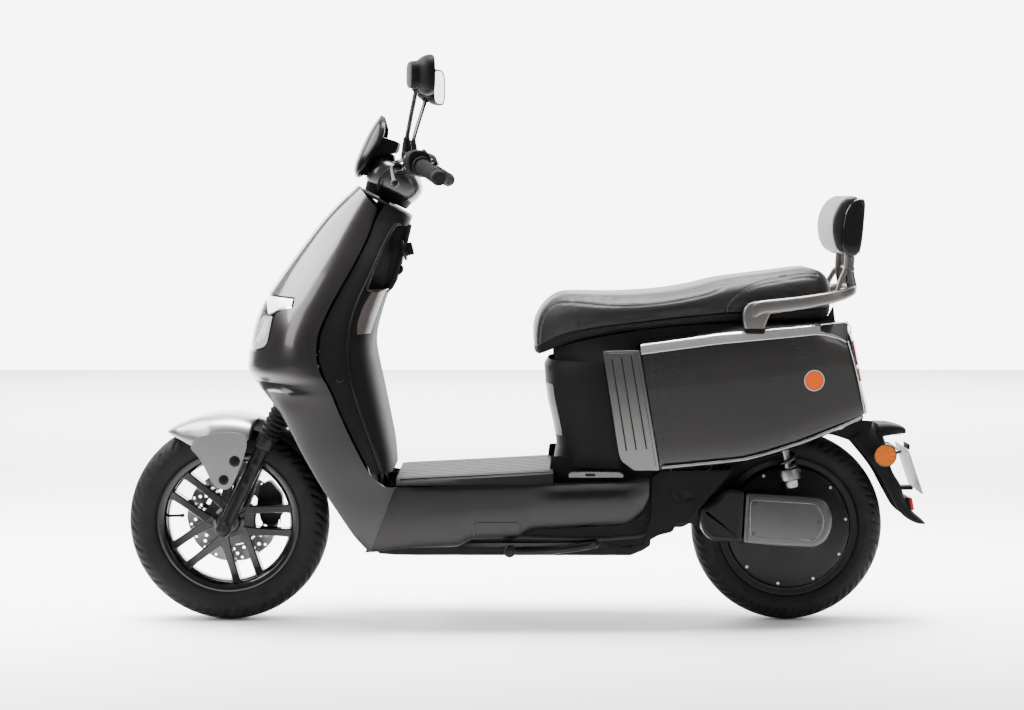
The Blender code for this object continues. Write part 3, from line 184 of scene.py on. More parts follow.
def gloss(name, dark, light, rough, coat=0.6, metal=0.0, spec=0.5):
    m = Nodes(name)
    m.to("Base Color", m.ramp(m.noise(6.0, 4.0, 0.6), [(0.3, dark), (0.7, light)]))
    m.to("Roughness", m.span(m.noise(40.0, 5.0, 0.7), rough - 0.02, rough + 0.05))
    m.to("Normal", m.bump(m.noise(60.0, 4.0, 0.6), 0.03, 0.0003))
    m.set(Metallic=metal, Coat_Weight=coat, Coat_Roughness=0.04, Specular_IOR_Level=spec)
    return m.mat


def brushed(name, dark, light, rough, stretch=(1, 60, 60), metal=1.0):
    m = Nodes(name)
    g = m.noise(60.0, 6.0, 0.7, stretch=stretch)
    m.to("Base Color", m.ramp(g, [(0.25, dark), (0.75, light)]))
    m.to("Roughness", m.span(g, rough - 0.06, rough + 0.10))
    m.to("Normal", m.bump(g, 0.08, 0.0002))
    m.set(Metallic=metal)
    return m.mat


def leather(name):
    m = Nodes(name)
    cells = m.voronoi(520.0)
    fine = m.noise(1400.0, 3.0, 0.6)
    creases = m.noise(45.0, 6.0, 0.62)
    m.to("Base Color", m.ramp(m.noise(7.0, 5.0, 0.6), [(0.3, (0.0052, 0.0050, 0.0051)),
                                                       (0.7, (0.0095, 0.0091, 0.0092))]))
    m.to("Roughness", m.span(m.noise(22.0, 5.0, 0.65), 0.38, 0.52))
    m.to("Normal", m.bump(creases, 0.10, 0.0012,
                          m.bump(fine, 0.20, 0.0002, m.bump(cells, 0.35, 0.0004))))
    m.set(Specular_IOR_Level=0.22, Sheen_Weight=0.04, Sheen_Roughness=0.5)
    return m.mat


def lens(name, colour, alpha, rough=0.05):
    m = Nodes(name)
    m.to("Base Color", m.ramp(m.noise(20.0, 3.0, 0.5),
                              [(0.3, colour), (0.7, tuple(min(1.0, c * 1.08) for c in colour))]))
    m.to("Roughness", m.span(m.noise(50.0, 3.0, 0.5), rough, rough + 0.04))
    m.set(Alpha=alpha, Coat_Weight=0.8 if alpha < 1 or name == "lamp_milk" else 0.12, Coat_Roughness=0.03,
          Specular_IOR_Level=0.5 if alpha < 1 or name == "lamp_milk" else 0.15)
    return m.mat


# the body paint is darkened to 0.38 of its colour below a height of 0.40 and kept full above 0.62: painted shade
GUN = paint("gunmetal_paint", (0.034, 0.0325, 0.0315), (0.052, 0.0495, 0.0478), 0.24, 0.95, 0.35,
            low=(0.40, 0.62, 0.38))
# a darker copy of the same body paint for the lower covers: painted shade
GUN_PAINTED_SHADE = paint("gunmetal_lower_painted_shade", (0.0120, 0.0114, 0.0110), (0.0190, 0.0180, 0.0174), 0.30, 0.95, 0.16, 0.08)
GUNPANEL = paint("gunmetal_panel", (0.034, 0.0325, 0.0315), (0.052, 0.0495, 0.0478), 0.26, 0.95, 0.35)
ARMC = paint("arm_cover_paint", (0.042, 0.041, 0.0405), (0.060, 0.0588, 0.0578), 0.36, 0.9, 0.3, 0.15)
SILVER = paint("silver_paint", (0.150, 0.148, 0.147), (0.210, 0.206, 0.203), 0.33, 0.92, 0.6, 0.10)
TRIM = paint("trim_paint", (0.130, 0.128, 0.126), (0.185, 0.181, 0.177), 0.32, 0.95, 0.5, 0.12)
# the ribbed trim keeps full colour at its foot and is darkened to 0.34 towards its top: painted shade and painted
# reflection
RIBBED = paint("ribbed_trim_paint", (0.200, 0.195, 0.189), (0.270, 0.263, 0.255), 0.32, 0.95, 0.3, 0.12,
               low=(0.40, 0.60, 1.0, 0.34))
CHAMP = paint("champagne_paint", (0.105, 0.098, 0.092), (0.145, 0.136, 0.128), 0.36, 0.9, 0.35, 0.2)
BLACK = plastic("matte_black_plastic", (0.0026, 0.0026, 0.0027), (0.0046, 0.0046, 0.0047), 0.60, spec=0.10)
FLOORP = plastic("floor_plastic", (0.0050, 0.0046, 0.0043), (0.0085, 0.0078, 0.0072), 0.52, 500.0, 0.5, 0.09)
GLOSSB = gloss("gloss_black_paint", (0.0018, 0.0018, 0.0019), (0.0032, 0.0032, 0.0033), 0.12, 0.15, spec=0.30)
SATINB = gloss("satin_black_paint", (0.0024, 0.0024, 0.0025), (0.0042, 0.0042, 0.0043), 0.34, 0.0, spec=0.16)
HUBM = gloss("hub_black", (0.0018, 0.0018, 0.0019), (0.0034, 0.0034, 0.0035), 0.30, 0.0, spec=0.14)
RUBBER = plastic("rubber", (0.0030, 0.0030, 0.0030), (0.0052, 0.0052, 0.0052), 0.62, 700.0, 0.3, 0.10)
STEEL = brushed("steel", (0.085, 0.085, 0.088), (0.150, 0.150, 0.153), 0.30)
CHROME = brushed("chrome", (0.75, 0.75, 0.76), (0.85, 0.85, 0.86), 0.10, (1, 1, 1))
BOLT = brushed("zinc_bolt", (0.26, 0.255, 0.24), (0.38, 0.37, 0.35), 0.30, (1, 1, 1))
DARKBOLT = brushed("dark_bolt", (0.012, 0.012, 0.0125), (0.024, 0.024, 0.0245), 0.34, (1, 1, 1))
LEATHER = leather("seat_leather")
POCKET = paint("pocket_paint", (0.060, 0.053, 0.048), (0.085, 0.075, 0.068), 0.42, 0.8, 0.2, 0.3)
LAMP_CLEAR = lens("lamp_clear", (0.92, 0.93, 0.95), 0.16)
LAMP_SMOKE = lens("lamp_smoke", (0.20, 0.205, 0.21), 0.42)
LAMP_MILK = lens("lamp_milk", (0.88, 0.88, 0.86), 1.0, 0.16)
AMBER = lens("amber_lens", (0.40, 0.085, 0.0006), 1.0, 0.22)
RED = lens("red_lens", (0.42, 0.008, 0.012), 1.0, 0.08)
MIRROR = brushed("mirror_glass", (0.30, 0.30, 0.295), (0.34, 0.34, 0.335), 0.03, (1, 1, 1))
PLATE = plastic("plate_blank", (0.20, 0.185, 0.17), (0.26, 0.245, 0.23), 0.45, 300.0, 0.05, spec=0.12)
THREAD = plastic("thread", (0.10, 0.098, 0.095), (0.16, 0.155, 0.15), 0.7, 2500.0, 0.3)
ORANGE = gloss("orange_decal", (0.62, 0.075, 0.0015), (0.72, 0.095, 0.002), 0.42, 0.0, spec=0.1)
PALE = gloss("pale_decal", (0.45, 0.45, 0.44), (0.55, 0.55, 0.54), 0.35, 0.3)


def tyre_material():
    m = Nodes("tyre_rubber")
    m.to("Base Color", m.ramp(m.noise(12.0, 6.0, 0.65), [(0.3, (0.0030, 0.0030, 0.0033)),
                                                         (0.7, (0.0070, 0.0069, 0.0068))]))
    m.to("Roughness", m.span(m.noise(25.0, 5.0, 0.6), 0.52, 0.72))
    m.to("Normal", m.bump(m.noise(900.0, 3.0, 0.6), 0.25, 0.0003))
    m.set(Specular_IOR_Level=0.13)
    return m.mat


TYRE = tyre_material()

# ------------------------------------------------------------------ mesh tools
SLOTS = {}


def finish_piece(ob, mat, body, replaces=()):
    ob.data.materials.clear()
    ob.data.materials.append(mat)
    if ob.name not in bpy.context.scene.collection.objects:
        if not ob.users_collection:
            bpy.context.scene.collection.objects.link(ob)
    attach(ob, body)
    if replaces:
        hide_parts(*replaces)
    return ob


def shade(me, angle=35.0):
    me.shade_smooth()
    me.set_sharp_from_angle(angle=math.radians(angle))


def piece(name, me, mat, body, replaces=(), angle=35.0, bevel=0.0, subsurf=0, thick=0.0,
          offset=-1.0, seg=2):
    shade(me, angle)
    ob = bpy.data.objects.new(name, me)
    bpy.context.scene.collection.objects.link(ob)
    if thick:
        mod = ob.modifiers.new("thick", "SOLIDIFY")
        mod.thickness = thick
        mod.offset = offset
        mod.use_even_offset = False
    if bevel:
        mod = ob.modifiers.new("bevel", "BEVEL")
        mod.width = bevel
        mod.segments = seg
        mod.limit_method = "ANGLE"
        mod.angle_limit = math.radians(38)
        mod.harden_normals = False
    if subsurf:
        mod = ob.modifiers.new("sub", "SUBSURF")
        mod.levels = subsurf
        mod.render_levels = subsurf
    return finish_piece(ob, mat, body, replaces)


def to_mesh(bm, doubles=1e-6, recalc=True):
    if doubles:
        bmesh.ops.remove_doubles(bm, verts=bm.verts, dist=doubles)
    if recalc:
        bmesh.ops.recalc_face_normals(bm, faces=bm.faces)
    me = bpy.data.meshes.new("m")
    bm.to_mesh(me)
    bm.free()
    return me


def cr(points, n, sharp=()):
    """Catmull-Rom through points, n steps a span, tangents broken at sharp indices."""
    pts = [Vector(p) for p in points]
    cuts = [0] + sorted(i for i in sharp if 0 < i < len(pts) - 1) + [len(pts) - 1]
    out = []
    for c0, c1 in zip(cuts, cuts[1:]):
        seg = pts[c0:c1 + 1]
        ext = [seg[0] * 2 - seg[1]] + seg + [seg[-1] * 2 - seg[-2]]
        for i in range(1, len(ext) - 2):
            a, b, c, d = ext[i - 1:i + 3]
            for k in range(n):
                t = k / n
                out.append(0.5 * ((2 * b) + (c - a) * t + (2 * a - 5 * b + 4 * c - d) * t * t
                                  + (3 * b - a - 3 * c + d) * t ** 3))
    out.append(pts[-1])
    return out


def refine(rows, nu, nv, sharp_rows=(), sharp_cols=()):
    """Smooth a grid of control points: nu steps along rows' points, nv between rows."""
    wide = [cr(r, nu, sharp_cols) for r in rows]
    cols = [cr([r[j] for r in wide], nv, sharp_rows) for j in range(len(wide[0]))]
    return [[c[i] for c in cols] for i in range(len(cols[0]))]


def grid_mesh(grids, mirror=False, inward=None, doubles=1e-5):
    bm = bmesh.new()
    for rows in grids:
        sets = [rows]
        if mirror:
            sets.append([[Vector((-p[0], p[1], p[2])) for p in reversed(r)] for r in rows])
        for rr in sets:
            vs = [[bm.verts.new(p) for p in r] for r in rr]
            for a, b in zip(vs, vs[1:]):
                for i in range(len(a) - 1):
                    q = (a[i], a[i + 1], b[i + 1], b[i])
                    co = [v.co for v in q]
                    if (co[0] - co[1]).length < 1e-7 and (co[2] - co[3]).length < 1e-7:
                        continue
                    bm.faces.new(q)
    bmesh.ops.remove_doubles(bm, verts=bm.verts, dist=doubles)
    bad = [f for f in bm.faces if f.calc_area() < 1e-12]
    if bad:
        bmesh.ops.delete(bm, geom=bad, context="FACES")
    bmesh.ops.recalc_face_normals(bm, faces=bm.faces)
    if inward is not None:
        c = Vector(inward)
        s = sum(f.calc_area() * (1 if f.normal.dot(c - f.calc_center_median()) > 0 else -1)
                for f in bm.faces)
        if s > 0:
            bmesh.ops.reverse_faces(bm, faces=bm.faces)
    me = bpy.data.meshes.new("m")
    bm.to_mesh(me)
    bm.free()
    return me


def loft(rings, caps=True, closed=True):
    bm = bmesh.new()
    vs = [[bm.verts.new(p) for p in r] for r in rings]
    n = len(vs[0])
    for a, b in zip(vs, vs[1:]):
        for i in range(n if closed else n - 1):
            j = (i + 1) % n
            bm.faces.new((a[i], a[j], b[j], b[i]))
    if caps:
        bm.faces.new(list(reversed(vs[0])))
        bm.faces.new(vs[-1])
    return to_mesh(bm)


def frame_along(p, direction):
    return Matrix.Translation(p) @ Vector(direction).to_track_quat("Z", "Y").to_matrix().to_4x4()


def spin(profile, m, steps=48, closed=False):
    """Turn (radius, along) points about a matrix's Z. Open profiles end on the axis or capped."""
    bm = bmesh.new()
    rings = []
    for k in range(steps):
        t = 2 * math.pi * k / steps
        c, s = math.cos(t), math.sin(t)
        rings.append([bm.verts.new(m @ Vector((r * c, r * s, a))) for r, a in profile])
    n = len(profile)
    for k in range(steps):
        a, b = rings[k], rings[(k + 1) % steps]
        for i in range(n if closed else n - 1):
            j = (i + 1) % n
            bm.faces.new((a[i], a[j], b[j], b[i]))
    if not closed:
        for i in (0, n - 1):
            if profile[i][0] > 1e-6:
                bm.faces.new([r[i] for r in rings])
    me = to_mesh(bm, 1e-7)
    return me


def rod(p, q, r, sides=24, r2=None):
    p, q = Vector(p), Vector(q)
    d = (q - p).length
    return spin([(r, 0.0), (r if r2 is None else r2, d)], frame_along(p, q - p), sides)


def rod_soft(p, q, r, edge=0.001, sides=24, r2=None):
    """Cylinder with rounded ends."""
    p, q = Vector(p), Vector(q)
    d = (q - p).length
    r2 = r if r2 is None else r2
    prof = [(0.0, 0.0), (r - edge, 0.0), (r - edge * 0.3, edge * 0.3), (r, edge),
            (r2, d - edge), (r2 - edge * 0.3, d - edge * 0.3), (r2 - edge, d), (0.0, d)]
    return spin(prof, frame_along(p, q - p), sides)


def tube(points, r, sides=12, radii=None, flat=None):
    """Solid tube along points; radii may vary, flat squashes it as (a, b)."""
    pts = [Vector(p) for p in points]
    rings = []
    up = None
    for i, p in enumerate(pts):
        d = (pts[min(i + 1, len(pts) - 1)] - pts[max(i - 1, 0)]).normalized()
        if up is None:
            up = Vector((0, 0, 1)) if abs(d.z) < 0.9 else Vector((0, 1, 0))
        side = d.cross(up).normalized()
        up = side.cross(d).normalized()
        rr = radii[i] if radii else r
        a, b = flat if flat else (1, 1)
        rings.append([p + side * (rr * a * math.cos(2 * math.pi * k / sides))
                      + up * (rr * b * math.sin(2 * math.pi * k / sides)) for k in range(sides)])
    return loft(rings)


def slab(outline, x0, x1, holes=()):
    """Plate from a (y, z) outline between two x values."""
    cu = bpy.data.curves.new("o", "CURVE")
    cu.dimensions = "2D"
    cu.fill_mode = "BOTH"
    for loop in [outline, *holes]:
        sp = cu.splines.new("POLY")
        sp.points.add(len(loop) - 1)
        for i, (y, z) in enumerate(loop):
            sp.points[i].co = (y, z, 0.0, 1.0)
        sp.use_cyclic_u = True
    cu.extrude = abs(x1 - x0) / 2
    ob = bpy.data.objects.new("o", cu)
    bpy.context.scene.collection.objects.link(ob)
    bpy.context.view_layer.update()
    me = bpy.data.meshes.new_from_object(ob.evaluated_get(bpy.context.evaluated_depsgraph_get()))
    bpy.data.objects.remove(ob, do_unlink=True)
    bm = bmesh.new()
    bm.from_mesh(me)
    bmesh.ops.remove_doubles(bm, verts=bm.verts, dist=1e-6)
    m = Matrix(((0, 0, 1, (x0 + x1) / 2), (1, 0, 0, 0), (0, 1, 0, 0), (0, 0, 0, 1)))
    bmesh.ops.transform(bm, matrix=m, verts=bm.verts)
    return to_mesh(bm, 0)


def round_loop(loop, r, n=4):
    """Round the corners of a 2-D polygon."""
    out = []
    m = len(loop)
    for i in range(m):
        a, b, c = Vector(loop[i - 1]), Vector(loop[i]), Vector(loop[(i + 1) % m])
        u, v = (a - b), (c - b)
        k = min(r, u.length * 0.45, v.length * 0.45)
        p, q = b + u.normalized() * k, b + v.normalized() * k
        for j in range(n + 1):
            t = j / n
            w = p.lerp(b, t).lerp(b.lerp(q, t), t)
            out.append((w.x, w.y))
    return out


def disc_loop(cy, cz, r, n=24, phase=0.0):
    return [(cy + r * math.cos(2 * math.pi * k / n + phase),
             cz + r * math.sin(2 * math.pi * k / n + phase)) for k in range(n)]


def cube(lo, hi, m=None):
    bm = bmesh.new()
    bmesh.ops.create_cube(bm, size=1.0)
    lo, hi = Vector(lo), Vector(hi)
    mm = Matrix.Translation((lo + hi) / 2) @ Matrix.Diagonal((*(hi - lo), 1.0))
    if m is not None:
        mm = m @ mm
    bmesh.ops.transform(bm, matrix=mm, verts=bm.verts)
    return to_mesh(bm, 0)


def joined(meshes):
    bm = bmesh.new()
    for me in meshes:
        bm.from_mesh(me)
    out = bpy.data.meshes.new("m")
    bm.to_mesh(out)
    bm.free()
    return out


def flip_x(me):
    me = me.copy()
    bm = bmesh.new()
    bm.from_mesh(me)
    bmesh.ops.transform(bm, matrix=Matrix.Diagonal((-1, 1, 1, 1)), verts=bm.verts)
    bmesh.ops.reverse_faces(bm, faces=bm.faces)
    bm.to_mesh(me)
    bm.free()
    return me


def moved(me, m):
    me = me.copy()
    me.transform(m)
    return me


def solidified(me, thick, offset=-1.0):
    """Mesh with its thickness applied."""
    ob = bpy.data.objects.new("t", me)
    bpy.context.scene.collection.objects.link(ob)
    mod = ob.modifiers.new("s", "SOLIDIFY")
    mod.thickness = thick
    mod.offset = offset
    mod.use_even_offset = False
    bpy.context.view_layer.update()
    out = bpy.data.meshes.new_from_object(ob.evaluated_get(bpy.context.evaluated_depsgraph_get()))
    bpy.data.objects.remove(ob, do_unlink=True)
    return out


def boolean(a, b, how):
    """Result of one Boolean between two closed meshes."""
    oa, ob = bpy.data.objects.new("a", a.copy()), bpy.data.objects.new("b", b)
    for o in (oa, ob):
        bpy.context.scene.collection.objects.link(o)
    mod = oa.modifiers.new("b", "BOOLEAN")
    mod.operation = how
    mod.object = ob
    mod.solver = "EXACT"
    bpy.context.view_layer.update()
    out = bpy.data.meshes.new_from_object(oa.evaluated_get(bpy.context.evaluated_depsgraph_get()))
    for o in (oa, ob):
        bpy.data.objects.remove(o, do_unlink=True)
    return out


def lerp_table(table, t):
    if t <= table[0][0]:
        return table[0][1:]
    for a, b in zip(table, table[1:]):
        if t <= b[0]:
            k = (t - a[0]) / (b[0] - a[0])
            return tuple(p + (q - p) * k for p, q in zip(a[1:], b[1:]))
    return table[-1][1:]


def bolt(p, direction, r=0.005, h=0.004, hexed=True):
    """Screw head standing on p along direction, with a socket in its top."""
    m = frame_along(Vector(p), direction)
    head = spin([(0.0, -0.002), (r, -0.002), (r, h * 0.7), (r * 0.88, h), (r * 0.55, h),
                 (r * 0.50, h * 0.45), (0.0, h * 0.45)], m, 6 if hexed == "hex" else 20)
    return head


# ------------------------------------------------------------------ stage, light, camera
def stage():
    bm = bmesh.new()
    bmesh.ops.create_grid(bm, x_segments=8, y_segments=8, size=7.0)
    me = to_mesh(bm, 0)
    ob = bpy.data.objects.new("floor", me)
    bpy.context.scene.collection.objects.link(ob)
    m = Nodes("floor_white")
    m.to("Base Color", m.ramp(m.noise(0.6, 2.0, 0.5), [(0.3, (0.86, 0.86, 0.865)),
                                                       (0.7, (0.885, 0.885, 0.89))]))
    m.set(Roughness=0.65, Specular_IOR_Level=0.25)
    ob.data.materials.append(m.mat)

    w = bpy.data.worlds.new("studio")
    bpy.context.scene.world = w
    w.use_nodes = True
    t = w.node_tree
    bg = t.nodes["Background"]
    tc = t.nodes.new("ShaderNodeTexCoord")
    sep = t.nodes.new("ShaderNodeSeparateXYZ")
    t.links.new(tc.outputs["Generated"], sep.inputs[0])
    # bright behind the object, softly lit overhead, dark on the open side
    neg = t.nodes.new("ShaderNodeMapRange")
    neg.inputs["From Min"].default_value = -0.58
    neg.inputs["From Max"].default_value = -0.94
    neg.inputs["To Min"].default_value = 0.0
    neg.inputs["To Max"].default_value = 7.0
    neg.interpolation_type = "SMOOTHSTEP"
    t.links.new(sep.outputs["X"], neg.inputs["Value"])
    top = t.nodes.new("ShaderNodeMapRange")
    top.inputs["From Min"].default_value = 0.25
    top.inputs["From Max"].default_value = 0.95
    top.inputs["To Min"].default_value = 0.42
    top.inputs["To Max"].default_value = 0.62
    top.interpolation_type = "SMOOTHSTEP"
    t.links.new(sep.outputs["Z"], top.inputs["Value"])
    add = t.nodes.new("ShaderNodeMath")
    add.operation = "ADD"
    t.links.new(neg.outputs["Result"], add.inputs[0])
    t.links.new(top.outputs["Result"], add.inputs[1])
    t.links.new(add.outputs[0], bg.inputs["Strength"])
    bg.inputs["Color"].default_value = (1, 1, 1, 1)

    def area(name, loc, aim, size, energy, sy=None, spread=180.0):
        li = bpy.data.lights.new(name, "AREA")
        li.shape = "RECTANGLE"
        li.size = size
        li.size_y = sy or size
        li.energy = energy
        li.spread = math.radians(spread)
        o = bpy.data.objects.new(name, li)
        o.location = loc
        o.rotation_euler = (Vector(aim) - Vector(loc)).to_track_quat("-Z", "Y").to_euler()
        bpy.context.scene.collection.objects.link(o)

    area("key_front", (1.7, -3.3, 2.4), (0, -0.45, 0.75), 1.3, 70, 2.2)
    area("key_flank", (-0.3, -2.6, 2.75), (0.10, -0.45, 0.85), 2.4, 230, 1.3)
    area("overhead", (-0.6, 0.0, 3.2), (-0.6, 0.0, 0.0), 2.0, 250, 4.8, 60.0)
    area("floor_back", (-4.6, 0.0, 4.0), (-4.6, 0.0, 0.0), 4.0, 900, 9.0, 100.0)
    area("rear_side", (3.0, 3.4, 1.9), (0, 0.45, 0.6), 1.2, 22, 1.8)

    cam = bpy.data.cameras.new("camera")
    cam.sensor_width = 36.0
    cam.lens = 76.0
    cam.clip_end = 100
    o = bpy.data.objects.new("camera", cam)
    loc = Vector((5.0, -0.0368, 0.998))
    pitch = math.atan2((355.0 - 190.0), 2165.0)
    o.location = loc
    o.rotation_euler = (math.pi / 2 - pitch, 0.0, math.pi / 2)
    bpy.context.scene.collection.objects.link(o)
    bpy.context.scene.camera = o


stage()

# ------------------------------------------------------------------ wheels
X_ROT = Matrix.Rotation(math.pi / 2, 4, "Y")


def tyre(name, centre, R, flange, body, node, phase):
    half = [(R, 0.0), (R - 0.0010, 0.0120), (R - 0.0040, 0.0240), (R - 0.0095, 0.0335),
            (R - 0.0175, 0.0412), (R - 0.0280, 0.0458), (R - 0.0400, 0.0468),
            (flange + 0.0130, 0.0438), (flange + 0.0050, 0.0400), (flange + 0.0012, 0.0352),
            (flange - 0.0080, 0.0345)]
    h = cr([Vector((r, x, 0)) for r, x in half], 3)
    prof = [(p.x, -p.y) for p in reversed(h)] + [(p.x, p.y) for p in h[1:]]
    N = 600
    pitches = 30
    verts, faces = [], []
    n = len(prof)
    for k in range(N):
        t = 2 * math.pi * k / N
        c, s = math.cos(t), math.sin(t)
        for r, x in prof:
            ax = abs(x)
            depth = 0.0
            if ax < 0.0455 and r > R - 0.033:
                side = 0.0 if x >= 0 else 0.5
                # long curved grooves from near the middle out to the shoulder
                lead = 0.115 * (ax / 0.045) + 0.10 * (ax / 0.045) ** 2
                u = ((t + lead + phase) * pitches / (2 * math.pi) + side) % 1.0
                d = min(u, 1 - u) * (2 * math.pi * R / pitches)
                if ax > 0.006:
                    wdt = 0.0030 + 0.0012 * (ax / 0.045)
                    depth = 0.0042 * math.exp(-(d / wdt) ** 4)
                # short grooves between them on the shoulder
                u2 = (u + 0.5) % 1.0
                d2 = min(u2, 1 - u2) * (2 * math.pi * R / pitches)
                if 0.020 < ax:
                    depth = max(depth, 0.0032 * math.exp(-(d2 / 0.0022) ** 4)
                                * min(1.0, (ax - 0.020) / 0.006))
                if r < R - 0.0255:
                    depth *= max(0.0, (r - (R - 0.033)) / 0.0075)
            # sidewall ring positions; the depth taken off there is zero, so no rings are cut
            for rr, w2, hh in ((flange + 0.0150, 0.0010, 0.0009), (R - 0.0360, 0.0009, 0.0007)):
                if abs(r - rr) < w2 * 2.5:
                    depth -= 0.0
            r2 = r - depth * (0.9 if ax < 0.036 else 0.55)
            x2 = x - math.copysign(depth * (0.0 if ax < 0.036 else 0.75), x)
            verts.append(centre + Vector((x2, r2 * s, r2 * c)))
    for k in range(N):
        a, b = k * n, ((k + 1) % N) * n
        for i in range(n - 1):
            faces.append((a + i, a + i + 1, b + i + 1, b + i))
        faces.append((a + n - 1, a, b, b + n - 1))
    me = bpy.data.meshes.new(name)
    me.from_pydata(verts, [], faces)
    me.update()
    bm = bmesh.new()
    bm.from_mesh(me)
    bmesh.ops.recalc_face_normals(bm, faces=bm.faces)
    bm.to_mesh(me)
    bm.free()
    return piece(name, me, TYRE, body, [node], angle=60)


tyre("tyre_front", FRONT_AXLE, FRONT_R, RIM_R, "front_wheel", "front_tyre", 0.0)
tyre("tyre_rear", REAR_AXLE, REAR_R, RIM_R - 0.004, "rear_wheel", "rear_tyre", 0.6)

X_FRONT = Matrix.Translation(FRONT_AXLE) @ X_ROT
X_REAR = Matrix.Translation(REAR_AXLE) @ X_ROT


def ring_of(radius, count, phase, centre, x):
    return [centre + Vector((x, radius * math.cos(phase + 2 * math.pi * k / count),
                             radius * math.sin(phase + 2 * math.pi * k / count)))
            for k in range(count)]


# front rim barrel with a rolled lip
lip = [(RIM_R, 0.0368), (RIM_R + 0.0004, 0.0352), (RIM_R - 0.0020, 0.0342), (RIM_R - 0.0105, 0.0338),
       (RIM_R - 0.0110, 0.0), (RIM_R - 0.0105, -0.0338), (RIM_R - 0.0020, -0.0342),
       (RIM_R + 0.0004, -0.0352), (RIM_R, -0.0368), (RIM_R - 0.0035, -0.0372),
       (RIM_R - 0.0120, -0.0350), (RIM_R - 0.0160, -0.0320), (RIM_R - 0.0190, -0.0240),
       (RIM_R - 0.0225, -0.0160), (RIM_R - 0.0230, 0.0), (RIM_R - 0.0225, 0.0160),
       (RIM_R - 0.0190, 0.0240), (RIM_R - 0.0160, 0.0320), (RIM_R - 0.0120, 0.0350),
       (RIM_R - 0.0035, 0.0372)]
piece("rim_barrel", spin(lip, X_FRONT, 120, True), GLOSSB, "front_wheel",
      ["front_rim"], 40)


def spokes():
    """Five U-shaped pairs of bars, thick at the hub and tapered at the rim."""
    meshes = []
    for n in range(5):
        a = 2 * math.pi * n / 5
        ra = Vector((0, math.cos(a), math.sin(a)))
        ta = Vector((0, -math.sin(a), math.cos(a)))
        for sgn in (1, -1):
            rings = []
            for r0, off, w, x0, x1 in ((0.032, 0.0215, 0.0130, -0.012, 0.0270),
                                       (0.050, 0.0245, 0.0115, -0.012, 0.0262),
                                       (0.080, 0.0262, 0.0096, -0.011, 0.0242),
                                       (0.115, 0.0272, 0.0088, -0.012, 0.0236),
                                       (0.135, 0.0280, 0.0094, -0.013, 0.0252),
                                       (0.148, 0.0290, 0.0115, -0.014, 0.0275)):
                c = FRONT_AXLE + ra * math.sqrt(max(r0 * r0 - off * off, 0)) + ta * sgn * off
                e = 0.0022
                sec = [(-w + e, x0), (w - e, x0), (w, x0 + e), (w, x1 - e), (w - e, x1),
                       (-w + e, x1), (-w, x1 - e), (-w, x0 + e)]
                rings.append([c + ta * u + Vector((x, 0, 0)) for u, x in sec])
            meshes.append(loft(rings))
        # web that closes the U near the hub
        rings = []
        for u in (-0.024, -0.012, 0.0, 0.012, 0.024):
            c = FRONT_AXLE + ra * (0.0560 + 0.004 * (1 - (u / 0.024) ** 2) * -1.0)
            sec = [(-0.022, -0.010), (0.012, -0.010), (0.014, 0.0), (0.012, 0.0215), (-0.022, 0.0250)]
            rings.append([c + ta * u + ra * (v - 0.006) + Vector((x, 0, 0)) for v, x in sec])
        meshes.append(loft(rings))
    return joined(meshes)


piece("rim_spokes", spokes(), GLOSSB, "front_wheel", (), 30, 0.0008, seg=2)
hub = [(0.0108, -0.0540), (0.030, -0.0540), (0.034, -0.0500), (0.034, -0.0420), (0.030, -0.0380),
       (0.030, -0.0200), (0.0375, -0.0140), (0.0385, 0.0200), (0.0360, 0.0270), (0.0290, 0.0310),
       (0.0275, 0.0400), (0.0250, 0.0445), (0.0180, 0.0450), (0.0175, 0.0425), (0.0108, 0.0425)]
piece("rim_hub", spin(hub, X_FRONT, 48, True), GLOSSB, "front_wheel", (), 35)
valve = FRONT_AXLE + Vector((0.006, -0.1300, 0.018))
piece("valve_stem", joined([rod_soft(FRONT_AXLE + Vector((0.012, -0.142, 0.010)),
                                     FRONT_AXLE + Vector((0.020, -0.112, 0.012)), 0.0032, 0.0008, 12),
                            rod_soft(FRONT_AXLE + Vector((0.020, -0.114, 0.012)),
                                     FRONT_AXLE + Vector((0.0225, -0.104, 0.0125)), 0.0042, 0.0008, 12)]),
      RUBBER, "front_wheel", (), 40)

# brake disc: braking ring with holes, on a black carrier
loops = [disc_loop(FRONT_AXLE.y, FRONT_AXLE.z, 0.0700, 72)]
for k in range(20):
    t = 2 * math.pi * k / 20
    for rr, dt in ((0.0790, 0.0), (0.0900, 0.10), (0.1010, 0.20)):
        loops.append(disc_loop(FRONT_AXLE.y + rr * math.cos(t + dt), FRONT_AXLE.z + rr * math.sin(t + dt),
                               0.0036 if rr < 0.1 else 0.0030, 12))
outer = []
for k in range(120):
    t = 2 * math.pi * k / 120
    r = 0.1078 + 0.0010 * math.cos(10 * t)
    outer.append((FRONT_AXLE.y + r * math.cos(t), FRONT_AXLE.z + r * math.sin(t)))
piece("disc_ring", slab(outer, -0.0592, -0.0554, loops), STEEL, "front_wheel",
      ["brake_disc"], 30, 0.0003, seg=1)
carrier = []
for n in range(5):
    a = 2 * math.pi * n / 5 + 0.3
    ra = Vector((0, math.cos(a), math.sin(a)))
    ta = Vector((0, -math.sin(a), math.cos(a)))
    rings = []
    for r0, w in ((0.022, 0.011), (0.050, 0.0065), (0.072, 0.0075), (0.076, 0.0060)):
        c = FRONT_AXLE + ra * r0
        rings.append([c + ta * u + Vector((x, 0, 0)) for u, x in
                      ((-w, -0.0585), (w, -0.0585), (w, -0.0545), (-w, -0.0545))])
    carrier.append(loft(rings))
    carrier.append(bolt(FRONT_AXLE + ra * 0.0735 + Vector((-0.0590, 0, 0)), (-1, 0, 0), 0.0045, 0.003))
piece("disc_carrier", joined(carrier), SATINB, "front_wheel", (), 30, 0.0005)

